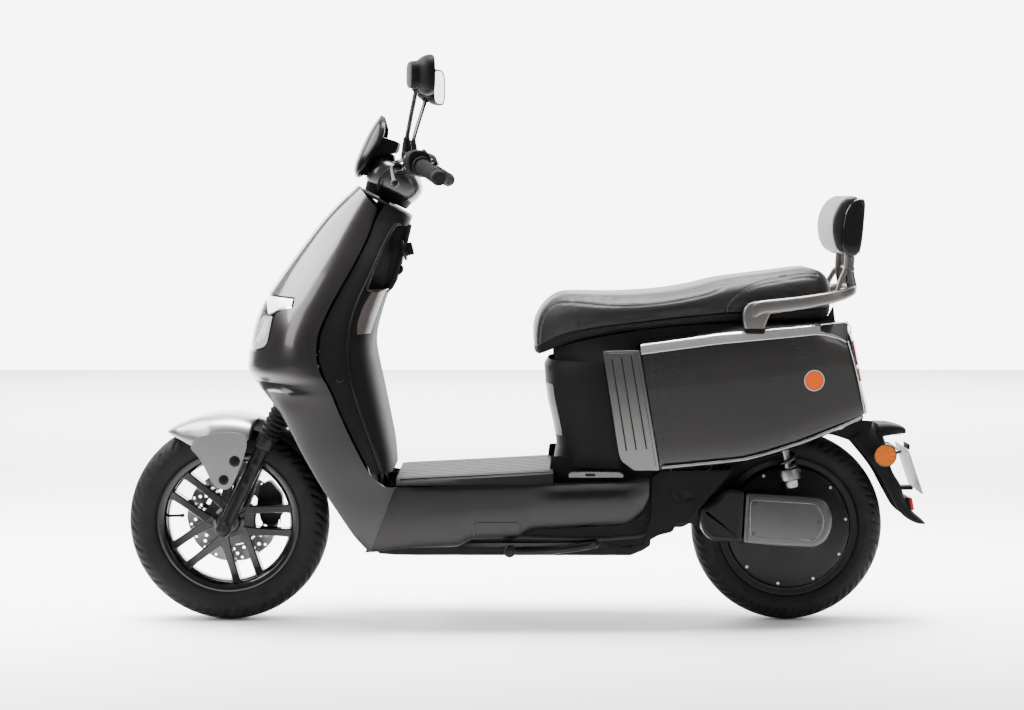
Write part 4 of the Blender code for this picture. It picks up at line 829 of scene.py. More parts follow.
# rear wheel: rim, hub motor covers and their screws
rr = RIM_R - 0.004
rlip = [(rr, 0.0368), (rr + 0.0004, 0.0352), (rr - 0.002, 0.0342), (rr - 0.0105, 0.0338),
        (rr - 0.0105, -0.0338), (rr - 0.002, -0.0342), (rr + 0.0004, -0.0352), (rr, -0.0368),
        (rr - 0.0035, -0.0372), (rr - 0.0110, -0.0345), (rr - 0.0150, -0.0350), (0.1430, -0.0400),
        (0.1400, -0.0460), (0.1360, -0.0480), (0.1100, -0.0492), (0.1060, -0.0500), (0.0600, -0.0520),
        (0.0560, -0.0545), (0.0300, -0.0560), (0.0112, -0.0570), (0.0112, 0.0570), (0.0300, 0.0560),
        (0.0560, 0.0545), (0.0600, 0.0520), (0.1060, 0.0500), (0.1100, 0.0492), (0.1360, 0.0480),
        (0.1400, 0.0460), (0.1430, 0.0400), (rr - 0.0150, 0.0350), (rr - 0.0110, 0.0345),
        (rr - 0.0035, 0.0372)]
piece("motor_hub", spin(rlip, X_REAR, 128, True), HUBM, "rear_wheel",
      ["hub_motor"], 32)
screws = []
for sx in (1, -1):
    for p in ring_of(0.1330, 10, math.radians(8), REAR_AXLE, sx * 0.0482):
        screws.append(bolt(p, (sx, 0, 0), 0.0036, 0.0026))
piece("motor_screws", joined(screws), BOLT, "rear_wheel", (), 35)

# ------------------------------------------------------------------ front end
# fork legs, seals, axle
legs = []
for sx in (FORK_X, -FORK_X):
    lo, hi = on_axis(-0.026, x=sx), on_axis(0.2255, x=sx)
    m = frame_along(lo, hi - lo)
    L = (hi - lo).length
    legs.append(spin([(0.0, 0.0), (0.0135, 0.0), (0.0155, 0.003), (0.0174, 0.012), (0.0175, 0.030),
                      (0.0166, 0.036), (0.0166, L - 0.030), (0.0215, L - 0.027), (0.0222, L - 0.025),
                      (0.0222, L - 0.001), (0.0205, L), (0.0150, L), (0.0150, L - 0.02),
                      (0.0, L - 0.02)], m, 32))
piece("fork_legs", joined(legs), SATINB, "fork", ["fork_lower"], 35)
axle = [rod_soft(FRONT_AXLE + Vector((-0.0830, 0, 0)), FRONT_AXLE + Vector((0.0830, 0, 0)), 0.0074, 0.001)]
for sx in (1, -1):
    m = frame_along(FRONT_AXLE + Vector((sx * 0.1012, 0, 0)), (sx, 0, 0))
    axle.append(spin([(0.0, 0.0), (0.0130, 0.0), (0.0130, 0.0016), (0.0, 0.0016)], m, 24))
    axle.append(spin([(0.0, 0.0014), (0.0100, 0.0014), (0.0100, 0.0072), (0.0090, 0.0082),
                      (0.0, 0.0082)], m, 6))
piece("front_axle", joined(axle), DARKBOLT, "fork", (), 30)
spacer = [rod_soft(FRONT_AXLE + Vector((0.0462, 0, 0)), FRONT_AXLE + Vector((0.0662, 0, 0)), 0.0135, 0.001),
          rod_soft(FRONT_AXLE + Vector((-0.0662, 0, 0)), FRONT_AXLE + Vector((-0.0600, 0, 0)), 0.0135, 0.001)]
piece("axle_spacers", joined(spacer), STEEL, "fork", (), 30)


def gaiter(name, sx, node):
    """Rubber bellows over the fork stanchion."""
    lo, hi = on_axis(0.2262, x=sx), on_axis(0.3400, x=sx)
    L = (hi - lo).length
    prof = [(0.0152, 0.0), (0.0236, 0.0), (0.0244, 0.0015), (0.0244, 0.0070), (0.0225, 0.0090)]
    n = 8
    a0, a1 = 0.0095, L - 0.010
    w = (a1 - a0) / n
    for k in range(n):
        b = a0 + w * k
        prof += [(0.0205, b), (0.0212, b + w * 0.16), (0.0236, b + w * 0.42), (0.0240, b + w * 0.5),
                 (0.0236, b + w * 0.58), (0.0212, b + w * 0.84)]
    prof += [(0.0205, a1), (0.0222, a1 + 0.002), (0.0222, L), (0.0152, L)]
    me = spin(prof, frame_along(lo, hi - lo), 36, True)
    shade(me, 60)
    ob = bpy.data.objects.new(name, me)
    bpy.context.scene.collection.objects.link(ob)
    ob.data.materials.append(RUBBER)
    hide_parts(node)
    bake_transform(ob)


gaiter("gaiter_left", FORK_X, "fork_gaiter_L")
gaiter("gaiter_right", -FORK_X, "fork_gaiter_R")


# front fender
def fender_rows():
    rows = []
    width = [(-34, 0.024), (-32, 0.046), (-27, 0.070), (-18, 0.091), (-8, 0.1030), (6, 0.1048),
             (16.0, 0.1040), (18.5, 0.0560), (26, 0.0550)]
    depth = [(-34, 0.008), (-31.5, 0.019), (-24.6, 0.050), (-21.6, 0.064), (-16, 0.070), (-4, 0.070),
             (9.0, 0.066), (15.5, 0.050), (18.5, 0.030), (26, 0.028)]
    degs = [-34, -33, -31, -28, -24, -19, -14, -9, -4, 0, 4, 8, 12, 15.4, 16.6]
    for a in degs:
        ang = math.radians(a)
        up = Vector((0, math.sin(ang), math.cos(ang)))
        r = 0.2536
        w = lerp_table(width, a)[0]
        drop = lerp_table(depth, a)[0]
        row = []
        n = 14
        for j in range(n + 1):
            t = 0.5 * math.pi * j / n
            x = w * math.sin(t) ** 0.62
            d = drop * (1 - math.cos(t) ** 0.85) if j < n else drop
            row.append(FRONT_AXLE + up * (r - d) + Vector((x, 0, 0)))
        rows.append(row)
    return rows


fender = solidified(grid_mesh([refine(fender_rows(), 1, 3)], True, FRONT_AXLE), 0.0026)
piece("fender_arch", fender, SILVER, "fork", ["front_fender"], 45, 0.0006, seg=2)
# skirt behind the tyre's top, narrowed to pass between the legs
back = []
for a, w in ((16.2, 0.0560), (19, 0.0555), (22, 0.0550), (26, 0.0545)):
    ang = math.radians(a)
    up = Vector((0, math.sin(ang), math.cos(ang)))
    back.append([FRONT_AXLE + up * (0.2530 - 0.0280 * (1 - math.cos(0.5 * math.pi * j / 8) ** 0.9
                                                       if j < 8 else 0.0280 / 0.0280))
                 + Vector((w * math.sin(0.5 * math.pi * j / 8) ** 0.7, 0, 0)) for j in range(9)])
piece("fender_tail", solidified(grid_mesh([back], True, FRONT_AXLE), 0.0026), SILVER, "fork",
      (), 45)
plate = [(-0.756, 0.436), (-0.700, 0.4500), (-0.643, 0.4460), (-0.6400, 0.4180), (-0.6520, 0.3780),
         (-0.6730, 0.3300), (-0.6850, 0.3160), (-0.7030, 0.3180), (-0.7200, 0.3290), (-0.7420, 0.3760),
         (-0.7540, 0.3950), (-0.7720, 0.4130)]
plate = round_loop(plate, 0.012, 4)
panel_in = [(-0.739, 0.440), (-0.690, 0.4430), (-0.6520, 0.4380), (-0.6480, 0.4180),
            (-0.6620, 0.3790), (-0.6810, 0.3330), (-0.6930, 0.3280), (-0.7120, 0.3360),
            (-0.7320, 0.3760), (-0.7440, 0.4000)]
for sx, side in ((1, "left"), (-1, "right")):
    piece("fender_plate_" + side, slab(plate, sx * 0.1040, sx * 0.1064), SILVER, "fork",
          (), 30, 0.0010)
    bolts = []
    for y, z, r in ((-0.6690, 0.3820, 0.0125), (-0.6945, 0.3390, 0.0115)):
        base = Vector((sx * 0.1060, y, z))
        bolts.append(spin([(0.0, -0.001), (r, -0.001), (r, 0.0022), (r * 0.86, 0.0034),
                           (r * 0.62, 0.0040), (r * 0.60, 0.0015), (0.0, 0.0015)],
                          frame_along(base, (sx, 0, 0)), 28))
    piece("fender_bolts_" + side, joined(bolts), SATINB, "fork", (), 35)
    heads = [bolt(Vector((sx * 0.1072, y, z)), (sx, 0, 0), 0.0055, 0.0036, "hex")
             for y, z in ((-0.6690, 0.3820), (-0.6945, 0.3390))]
    piece("fender_nuts_" + side, joined(heads), DARKBOLT, "fork", (), 30)
# lugs from the legs to the plates
lugs = []
for sx in (1, -1):
    for s in (0.110, 0.158):
        p = on_axis(s, x=sx * FORK_X)
        lugs.append(rod_soft(p + Vector((sx * 0.010, 0, 0)), p + Vector((sx * 0.0202, 0, 0)), 0.0085, 0.001, 16))
piece("fork_lugs", joined(lugs), SATINB, "fork", (), 30)

# mudflap that hangs inside the shield's mouth
flap = []
for a in (22, 30, 40, 50, 60, 68, 74):
    ang = math.radians(a)
    up = Vector((0, math.sin(ang), math.cos(ang)))
    w = lerp_table([(22, 0.050), (60, 0.052), (74, 0.044)], a)[0]
    row = []
    for j in range(9):
        t = 0.5 * math.pi * j / 8
        row.append(FRONT_AXLE + up * (0.2500 - 0.018 * (1 - math.cos(t) ** 0.8 if j < 8 else 1))
                   + Vector((w * math.sin(t) ** 0.7, 0, 0)))
    flap.append(row)
piece("front_mudflap", solidified(grid_mesh([flap], True, FRONT_AXLE), 0.0022), BLACK, "fork",
      (), 45)

# brake caliper on the right leg
cal = round_loop([(-0.600, 0.205), (-0.575, 0.240), (-0.578, 0.285), (-0.606, 0.318), (-0.630, 0.306),
                  (-0.638, 0.262), (-0.627, 0.218)], 0.008)
piece("caliper_outer", slab(cal, -0.0765, -0.0625), SATINB, "fork",
      ["brake_caliper"], 30, 0.0022, seg=3)
piece("caliper_inner", slab(cal, -0.0525, -0.0465), SATINB, "fork", (), 30, 0.0018)
cb = [(-0.600, 0.215), (-0.577, 0.243), (-0.580, 0.283), (-0.597, 0.302), (-0.5860, 0.262)]
rim_in = []
for k in range(7):
    t = math.atan2(0.215 - FRONT_AXLE.z, -0.600 - FRONT_AXLE.y) + \
        (math.atan2(0.300 - FRONT_AXLE.z, -0.600 - FRONT_AXLE.y)
         - math.atan2(0.215 - FRONT_AXLE.z, -0.600 - FRONT_AXLE.y)) * k / 6
    rim_in.append((FRONT_AXLE.y + 0.1125 * math.cos(t), FRONT_AXLE.z + 0.1125 * math.sin(t)))
bridge = rim_in + [(-0.586, 0.292), (-0.578, 0.262), (-0.585, 0.225)]
piece("caliper_bridge", slab(bridge, -0.0630, -0.0520), SATINB, "fork", (), 30)
piece("caliper_bolts", joined([bolt(Vector((-0.0765, y, z)), (-1, 0, 0), 0.0050, 0.0035)
                               for y, z in ((-0.596, 0.232), (-0.598, 0.296), (-0.588, 0.264))]),
      BOLT, "fork", (), 30)

# steering stem, lower yoke and stanchions
st = [rod_soft(on_axis(0.385), on_axis(0.862), 0.0150, 0.001, 32)]
ym = frame_along(on_axis(0.395), AXIS)
yoke_loop = []
for k in range(64):
    t = 2 * math.pi * k / 64
    c, q = math.cos(t), math.sin(t)
    yoke_loop.append((0.106 * math.copysign(abs(c) ** 0.75, c),
                      (0.022 + 0.010 * abs(q)) * math.copysign(abs(q) ** 0.8, q)))
st.append(loft([[ym @ Vector((x * k, y * k, z)) for x, y in yoke_loop]
                for z, k in ((-0.013, 0.97), (-0.011, 1.0), (0.011, 1.0), (0.013, 0.97))]))
for sx in (1, -1):
    st.append(rod_soft(on_axis(0.112, x=sx * FORK_X), on_axis(0.416, x=sx * FORK_X), 0.0135, 0.001, 28))
piece("steering_assembly", joined(st), SATINB, "steering", ["steering_stem"], 35)

# handlebar
BAR = [(0.345, -0.1905, 1.0215), (0.215, -0.2400, 1.0535), (0.150, -0.2660, 1.0540),
       (0.070, -0.2920, 1.0410), (0.0, -0.3000, 1.0360)]
BAR_ALL = [Vector(p) for p in BAR] + [Vector((-p[0], p[1], p[2])) for p in reversed(BAR[:-1])]
bar_coarse = cr(BAR_ALL, 2)
bar_fine = []
for a, b in zip(bar_coarse, bar_coarse[1:]):
    bar_fine += [a.lerp(b, k / 6) for k in range(6)]
bar_fine.append(bar_coarse[-1])
for _ in range(3):
    bar_fine = [bar_fine[0]] + [(bar_fine[i - 1] + bar_fine[i] * 2 + bar_fine[i + 1]) / 4
                                for i in range(1, len(bar_fine) - 1)] + [bar_fine[-1]]
piece("bar_tube", tube(bar_fine, 0.0110, 20), SATINB, "steering", ["handlebar"], 50)


def bar_point(x):
    pts = sorted((p for p in bar_coarse if (p.x >= -1e-6 if x >= 0 else p.x <= 1e-6)),
                 key=lambda p: p.x)
    for a, b in zip(pts, pts[1:]):
        if a.x <= x <= b.x:
            k = (x - a.x) / (b.x - a.x)
            return a.lerp(b, k), (b - a).normalized()
    return pts[-1], (pts[-1] - pts[-2]).normalized()


def grip(name, sx, body, node):
    """Rubber grip: flanged inner end, rows of small raised ribs, rounded cap."""
    a, _ = bar_point(sx * 0.2245)
    b, _ = bar_point(sx * 0.340)
    m = frame_along(a, b - a)
    L = (b - a).length
    N = 96
    prof = []
    steps = 150
    for i in range(steps + 1):
        s = L * i / steps
        if s < 0.0045:
            r = 0.0212
        elif s < 0.0070:
            r = 0.0212 - (0.0212 - 0.0158) * (s - 0.0045) / 0.0025
        elif s > L - 0.0035:
            r = 0.0166 - 0.0020 * ((s - (L - 0.0035)) / 0.0035) ** 2
        elif s > L - 0.0090:
            r = 0.0168
        elif s > L - 0.0120:
            r = 0.0157 + 0.0011 * (s - (L - 0.0120)) / 0.0030
        else:
            r = 0.0157
        prof.append((r, s))
    bm = bmesh.new()
    rings = []
    for k in range(N):
        t = 2 * math.pi * k / N
        ring = [bm.verts.new(m @ Vector((0.0133 * math.cos(t), 0.0133 * math.sin(t), 0.0)))]
        for r, s in prof:
            d = 0.0
            if 0.012 < s < L - 0.018:
                u = (s * 1000.0 / 5.2) % 1.0
                v = (k / N * 16.0 + (int(s * 1000.0 / 5.2) % 2) * 0.5) % 1.0
                if 0.22 < u < 0.80 and 0.14 < v < 0.86:
                    d = 0.0008
            ring.append(bm.verts.new(m @ Vector(((r + d) * math.cos(t), (r + d) * math.sin(t), s))))
        ring.append(bm.verts.new(m @ Vector((0.0133 * math.cos(t), 0.0133 * math.sin(t), L))))
        rings.append(ring)
    n = len(rings[0])
    for k in range(N):
        p, q = rings[k], rings[(k + 1) % N]
        for i in range(n):
            j = (i + 1) % n
            bm.faces.new((p[i], p[j], q[j], q[i]))
    piece(name, to_mesh(bm, 0), RUBBER, body, [node], 30)


grip("grip_ribbed_left", 1, "steering", "grip_left")
grip("grip_ribbed_right", -1, "throttle", "throttle_grip")
caps = []
for sx in (1, -1):
    a, _ = bar_point(sx * 0.3405)
    b, d = bar_point(sx * 0.3449)
    caps.append(spin([(0.0, 0.0), (0.0150, 0.0), (0.0152, 0.0015), (0.0135, 0.0032), (0.0, 0.0036)],
                     frame_along(a, b - a), 28))
piece("bar_end_caps", joined(caps), SATINB, "steering", (), 35)


def bar_frame(x):
    """Matrix at the bar: Z outward along it, X to the rear, Y up."""
    c, d = bar_point(x)
    d = d if x > 0 else -d
    back = (Vector((0, 1, 0)) - d * d.y).normalized()
    up = d.cross(back)
    if up.z < 0:
        up = -up
    return Matrix(((back.x, up.x, d.x, c.x), (back.y, up.y, d.y, c.y), (back.z, up.z, d.z, c.z),
                   (0, 0, 0, 1)))


for sx, side in ((1, "left"), (-1, "right")):
    m = bar_frame(sx * 0.178)
    rings = []
    for s, k in ((0.0, 0.80), (0.0015, 0.90), (0.006, 1.0), (0.030, 1.0), (0.0350, 0.96),
                 (0.0385, 0.86)):
        ring = []
        for j in range(48):
            t = 2 * math.pi * j / 48
            c, q = math.cos(t), math.sin(t)
            rx = 0.0305 if c > 0 else 0.0275
            ring.append(m @ Vector((rx * k * math.copysign(abs(c) ** 0.72, c),
                                    0.0285 * k * math.copysign(abs(q) ** 0.72, q), s)))
        rings.append(ring)
    piece("switch_box_" + side, loft(rings), BLACK, "steering",
          ["switch_housing_" + side], 40, 0.0008)
    # two screws in the housing
    ring = []
    piece("switch_screws_" + side, joined([bolt(m @ Vector((-0.0268, y, 0.0195)),
                                                m.to_3x3() @ Vector((-1, 0, 0)), 0.0028, 0.0016)
                                           for y in (-0.012, 0.012)]), BOLT, "steering", (), 30)


def button(name, node, sx, ang, size, body, mat, cap=0.0):
    c, d = bar_point(sx * 0.1985)
    d = d if sx > 0 else -d
    back = (Vector((0, 1, 0)) - d * d.y).normalized()
    up = d.cross(back) if d.cross(back).z > 0 else -d.cross(back)
    t = math.radians(ang - 90)
    out = back * math.cos(t) + up * math.sin(t)
    m = frame_along(c + out * 0.0300, out)
    piece(name, spin([(0.0, 0.0), (size, 0.0), (size, 0.0056), (size * 0.80, 0.0068),
                      (0.0, 0.0062 if cap == 0 else 0.0074)], m, 28), mat, body, [node], 35)


button("horn_knob", "horn_button", 1, 100, 0.0055, "horn_button", GLOSSB)
button("turn_knob", "turn_switch", 1, 150, 0.0050, "turn_switch", SATINB, 1)
button("start_knob", "start_button", -1, 100, 0.0055, "start_button", GLOSSB)


def brake_lever(sx):
    side = "left" if sx > 0 else "right"
    piv = Vector((sx * 0.188, -0.2900, 1.0500))
    pts = cr([piv, (sx * 0.215, -0.3010, 1.0460), (sx * 0.262, -0.2970, 1.0310),
              (sx * 0.318, -0.2900, 1.0135)], 8)
    n = len(pts)
    radii = [0.0058 - 0.0010 * math.sin(math.pi * i / (n - 1)) for i in range(n)]
    blade = tube(pts, 0.0055, 16, radii, (0.80, 1.18))
    bm = bmesh.new()
    bmesh.ops.create_uvsphere(bm, u_segments=28, v_segments=18, radius=0.0086)
    bmesh.ops.transform(bm, matrix=Matrix.Translation(pts[-1]), verts=bm.verts)
    ball = to_mesh(bm, 0)
    ax_l = Vector((sx * 0.266971, -0.156583, 0.950898)).normalized()
    tilt = Vector((0, 0, 1)).rotation_difference(ax_l).to_matrix()
    boss = rod_soft(piv - ax_l * 0.0063, piv + ax_l * 0.0063, 0.0088, 0.001, 24)
    piece("lever_" + side, joined([blade, ball, boss]), SATINB, "brake_lever_" + side,
          ["brake_lever_" + side], 50)
    # perch: clamp round the bar and two ears about the pivot
    c, d = bar_point(sx * 0.178)
    m = bar_frame(sx * 0.160)
    perch = [spin([(0.0112, 0.0), (0.0170, 0.0), (0.0175, 0.0008), (0.0175, 0.0162),
                   (0.0170, 0.0170), (0.0112, 0.0170)], m, 32, True)]
    for dz in (0.0088, -0.0123):
        a = Vector((sx * 0.166, c.y + 0.004, piv.z + dz))
        loop = [(-0.2760, 0), (0, 0)]
        rings = []
        for z in (0.0, 0.0035):
            ring = []
            pa, pb = Vector((sx * 0.1655, -0.2640, 0)), Vector((sx * 0.188, -0.2900, 0))
            ax = (pb - pa).normalized()
            nrm = Vector((-ax.y, ax.x, 0))
            for k in range(13):
                t = math.pi * k / 12 - math.pi / 2
                q = pb + (ax * math.cos(t) + nrm * math.sin(t)) * 0.0092
                ring.append(Vector((q.x, q.y, piv.z + dz + z)))
            for s in (1, -1):
                q = pa + nrm * 0.0105 * s
                ring.append(Vector((q.x, q.y, piv.z + dz + z)))
            rings.append([piv + tilt @ (q - piv) for q in ring])
        perch.append(loft(rings))
    piece("lever_perch_" + side, joined(perch), SATINB, "steering", (), 30, 0.0006)
    piece("lever_pin_" + side, joined([bolt(piv + ax_l * 0.0123, ax_l, 0.0048, 0.0026, "hex")]),
          DARKBOLT, "steering", (), 30)


brake_lever(1)
brake_lever(-1)

# mirrors
for sx, side in ((1, "left"), (-1, "right")):
    base = Vector((sx * 0.150, -0.2720, 1.0662))
    m0 = Matrix.Translation(base)
    boot = spin([(0.0, 0.0), (0.0125, 0.0), (0.0130, 0.0010), (0.0130, 0.0080), (0.0115, 0.0100),
                 (0.0112, 0.0240), (0.0104, 0.0300), (0.0078, 0.0440), (0.0070, 0.0500),
                 (0.0, 0.0500)], m0, 32)
    nut = spin([(0.0, 0.0070), (0.0140, 0.0070), (0.0145, 0.0080), (0.0145, 0.0150), (0.0138, 0.0160),
                (0.0, 0.0160)], m0, 6)
    piece("mirror_boot_" + side, joined([boot]), RUBBER, "steering", (), 40)
    piece("mirror_nut_" + side, nut, SATINB, "steering", (), 30, 0.0006)
    arm_pts = cr([(sx * 0.150, -0.2720, 1.0920), (sx * 0.150, -0.2722, 1.107),
                  (sx * 0.163, -0.2682, 1.128), (sx * 0.212, -0.2572, 1.1720),
                  (sx * 0.262, -0.2450, 1.2180)], 8)
    piece("mirror_stalk_" + side, tube(arm_pts, 0.0050, 16), SATINB, "steering",
          ["mirror_arm_" + side], 50)
    yaw = math.radians(11.0) * sx
    c = Vector((sx * 0.290, -0.2260, 1.2470))
    mm = Matrix.Translation(c) @ Matrix.Rotation(yaw, 4, "Z")
    rings = []
    for y, k in ((0.0118, 0.900), (0.0122, 0.925), (0.0140, 0.945), (0.0140, 0.975), (0.0120, 0.995),
                 (0.0085, 1.0), (0.0030, 0.990), (-0.0030, 0.940), (-0.0090, 0.850),
                 (-0.0135, 0.760), (-0.0160, 0.715), (-0.0200, 0.690), (-0.0300, 0.665),
                 (-0.0335, 0.630), (-0.0348, 0.560), (-0.0352, 0.05)):
        ring = []
        for j in range(72):
            t = 2 * math.pi * j / 72
            ex = 0.0620 * k * math.copysign(abs(math.cos(t)) ** 0.60, math.cos(t))
            ez = 0.0435 * k * math.copysign(abs(math.sin(t)) ** 0.60, math.sin(t))
            ring.append(mm @ Vector((ex, y, ez)))
        rings.append(ring)
    body = "mirror_" + side
    piece("mirror_shell_" + side, loft(rings), BLACK, body,
          ["mirror_head_" + side], 40)
    glass = []
    for y, k in ((0.0105, 0.905), (0.0126, 0.905), (0.0128, 0.900)):
        glass.append([mm @ Vector((0.0620 * k * math.copysign(abs(math.cos(2 * math.pi * j / 72)) ** 0.60,
                                                              math.cos(2 * math.pi * j / 72)), y,
                                   0.0435 * k * math.copysign(abs(math.sin(2 * math.pi * j / 72)) ** 0.60,
                                                              math.sin(2 * math.pi * j / 72))))
                      for j in range(72)])
    piece("mirror_pane_" + side, loft(glass), MIRROR, body, (), 30)
    # socket that grips the ball on the stalk
    d = (arm_pts[-1] - arm_pts[-4]).normalized()
    soc = spin([(0.0, 0.0), (0.0088, 0.0), (0.0105, 0.0030), (0.0112, 0.0110), (0.0, 0.0120)],
               frame_along(arm_pts[-1] - d * 0.004, d), 28)
    piece("mirror_socket_" + side, soc, BLACK, body, (), 40)


# handlebar cover: smooth shell above the neck
def cover_ring(s, w, f, r, e=0.58, n=96, lift=0.0):
    ring = []
    for k in range(n):
        t = 2 * math.pi * k / n
        c, q = math.cos(t), math.sin(t)
        x = w * math.copysign(abs(c) ** e, c)
        y = (f if q > 0 else r) * math.copysign(abs(q) ** e, q)
        ring.append(on_axis(s + lift * q, y, x))
    return ring


rings = [cover_ring(s, w, f, r) for s, w, f, r in
         ((0.8500, 0.0640, 0.0562, 0.0600), (0.8515, 0.0662, 0.0582, 0.0620),
          (0.8600, 0.0720, 0.0622, 0.0662), (0.8720, 0.0765, 0.0652, 0.0692),
          (0.8820, 0.0780, 0.0660, 0.0700), (0.8930, 0.0778, 0.0630, 0.0650),
          (0.9020, 0.0755, 0.0560, 0.0560), (0.9090, 0.0705, 0.0480, 0.0470),
          (0.9135, 0.0640, 0.0410, 0.0395), (0.9150, 0.0590, 0.0370, 0.0350))]
piece("bar_cover", loft(rings), paint("bar_cover_paint", (0.030, 0.030, 0.031), (0.048, 0.048, 0.049), 0.34,
                                      0.9, 0.5, 0.12), "steering", ["handlebar_cover"], 60)
rings = [cover_ring(s, w, f, r, 0.86) for s, w, f, r in
         ((0.8300, 0.0520, 0.0510, 0.0520), (0.8330, 0.0545, 0.0530, 0.0545),
          (0.8480, 0.0600, 0.0560, 0.0590), (0.8512, 0.0640, 0.0560, 0.0595))]
piece("bar_cover_collar", loft(rings), BLACK, "steering", (), 40)


# dash shield, and the instrument behind it
def visor_rows(cols, shrink=0.0):
    front = [(-0.338, 1.171), (-0.352, 1.152), (-0.366, 1.130), (-0.379, 1.104), (-0.390, 1.080),
             (-0.397, 1.062), (-0.400, 1.046), (-0.398, 1.034), (-0.393, 1.026)]
    back = [(-0.330, 1.166), (-0.3265, 1.150), (-0.3255, 1.132), (-0.331, 1.113), (-0.343, 1.094),
            (-0.357, 1.074), (-0.368, 1.056), (-0.378, 1.042), (-0.386, 1.030)]
    half = [0.030, 0.062, 0.078, 0.086, 0.088, 0.086, 0.080, 0.070, 0.052]
    rows = []
    for f, b, w in zip(front, back, half):
        row = []
        for i in range(cols + 1):
            t = 0.5 * math.pi * i / cols
            gx = math.sin(t) ** 0.85
            gy = 1.0 - math.cos(t) if i < cols else 1.0
            row.append(Vector((w * gx, f[0] + (b[0] - f[0]) * gy, f[1] + (b[1] - f[1]) * gy)))
        rows.append(row)
    return rows


piece("dash_visor", solidified(grid_mesh([refine(visor_rows(12), 1, 4)], True, (0, -0.30, 1.09)), 0.0028),
      gloss("visor_black", (0.0016, 0.0016, 0.0017), (0.0028, 0.0028, 0.0029), 0.22, 0.0, spec=0.12),
      "steering", ["dash_shield"], 50, 0.0005)
inst = round_loop([(-0.3900, 1.0720), (-0.3480, 1.1210), (-0.3330, 1.1190), (-0.2945, 1.1068),
                   (-0.3010, 1.0840), (-0.3500, 1.0760), (-0.3820, 1.0690)], 0.005)
piece("instrument_box", slab(inst, -0.0455, 0.0455), BLACK, "steering", (), 30,
      0.0025, seg=3)
# screen lying on the box's sloped top
top_a, top_b = Vector((0, -0.3360, 1.1205)), Vector((0, -0.2975, 1.1085))
t_dir = (top_b - top_a).normalized()
nrm = Vector((0, -t_dir.z, t_dir.y))
if nrm.z < 0:
    nrm = -nrm
sm = Matrix(((1, 0, 0, 0), (0, t_dir.y, nrm.y, (top_a.y + top_b.y) / 2),
             (0, t_dir.z, nrm.z, (top_a.z + top_b.z) / 2), (0, 0, 0, 1)))
piece("instrument_screen", cube((-0.0370, -0.0155, -0.0010), (0.0370, 0.0155, 0.0002), sm), GLOSSB,
      "steering", (), 30, 0.0006)
# bracket and neck of the visor, and a pair of screws
neck = round_loop([(-0.3860, 1.0330), (-0.3700, 1.0700), (-0.3360, 1.0830), (-0.3080, 1.0800),
                   (-0.3060, 1.0600), (-0.3300, 1.0480), (-0.3560, 1.0300)], 0.006)
piece("visor_bracket", slab(neck, -0.0320, 0.0320), BLACK, "steering", (), 30, 0.0015)
piece("visor_screws", joined([bolt(Vector((sx * 0.0315, -0.3350, 1.0660)), (sx, 0, 0), 0.0045, 0.003)
                              for sx in (1, -1)]), BOLT, "steering", (), 30)

# brake hoses and cables from the levers into the cover
hoses = []
for sx in (1, -1):
    hoses.append(tube(cr([(sx * 0.172, -0.2840, 1.0470), (sx * 0.150, -0.3130, 1.0430),
                          (sx * 0.115, -0.3330, 1.0250), (sx * 0.080, -0.3400, 1.0020),
                          (sx * 0.055, -0.3340, 0.9920)], 8), 0.0032, 12))
piece("control_cables", joined(hoses), RUBBER, "steering", (), 50)

# ------------------------------------------------------------------ front shield
SEAM = [(0.088, -0.342, 0.957), (0.116, -0.364, 0.892), (0.140, -0.390, 0.838),
        (0.164, -0.430, 0.765), (0.176, -0.452, 0.722), (0.188, -0.470, 0.675),
        (0.196, -0.473, 0.625), (0.199, -0.463, 0.587), (0.199, -0.451, 0.566),
        (0.198, -0.438, 0.538), (0.195, -0.420, 0.492), (0.190, -0.392, 0.430),
        (0.183, -0.360, 0.368), (0.176, -0.328, 0.336), (0.173, -0.312, 0.331),
        (0.171, -0.300, 0.331)]
NOSE = [(0.0, -0.392, 1.010), (0.0, -0.461, 0.943), (0.0, -0.526, 0.862),
        (0.0, -0.591, 0.772), (0.0, -0.618, 0.730), (0.0, -0.635, 0.681),
        (0.0, -0.645, 0.620), (0.0, -0.646, 0.588), (0.0, -0.634, 0.566),
        (0.100, -0.606, 0.548), (0.150, -0.562, 0.500), (0.164, -0.520, 0.425),
        (0.166, -0.480, 0.352), (0.164, -0.424, 0.264), (0.155, -0.392, 0.215),
        (0.135, -0.360, 0.176)]
SHCOLS = 28
CREASE = 9                    # column of the crease beside the centre strip


def shield_control():
    rows = []
    for i, (n, s) in enumerate(zip(NOSE, SEAM)):
        n, s = Vector(n), Vector(s)
        row = []
        for j in range(SHCOLS + 1):
            t = 0.5 * math.pi * j / SHCOLS
            gx = math.sin(t) ** 0.95
            gy = 1.0 - math.cos(t) if j < SHCOLS else 1.0
            p = Vector((n.x + (s.x - n.x) * gx, n.y + (s.y - n.y) * gy, n.z + (s.z - n.z) * gy))
            # hollow the flank a little so that a crease shows beside the strip
            k = j / SHCOLS
            dip = 0.0
            if i < 9:
                dip = 0.0055 * math.exp(-((k - 0.50) / 0.20) ** 2) * min(1.0, (8.5 - i) / 3.0) \
                    * min(1.0, (i + 0.4) / 1.4)
            out = (n - s)
            nn = Vector((-(s.y - n.y), 0, 0))
            inward = Vector((-math.sin(t), math.cos(t), 0))
            row.append(p + inward * dip)
        rows.append(row)
    return rows


def refine_rows(rows, nv, sharp=()):
    cols = [cr([r[j] for r in rows], nv, sharp) for j in range(len(rows[0]))]
    return [[c[i] for c in cols] for i in range(len(cols[0]))]


SHIELD = refine_rows(shield_control(), 6, sharp=(8, 9))


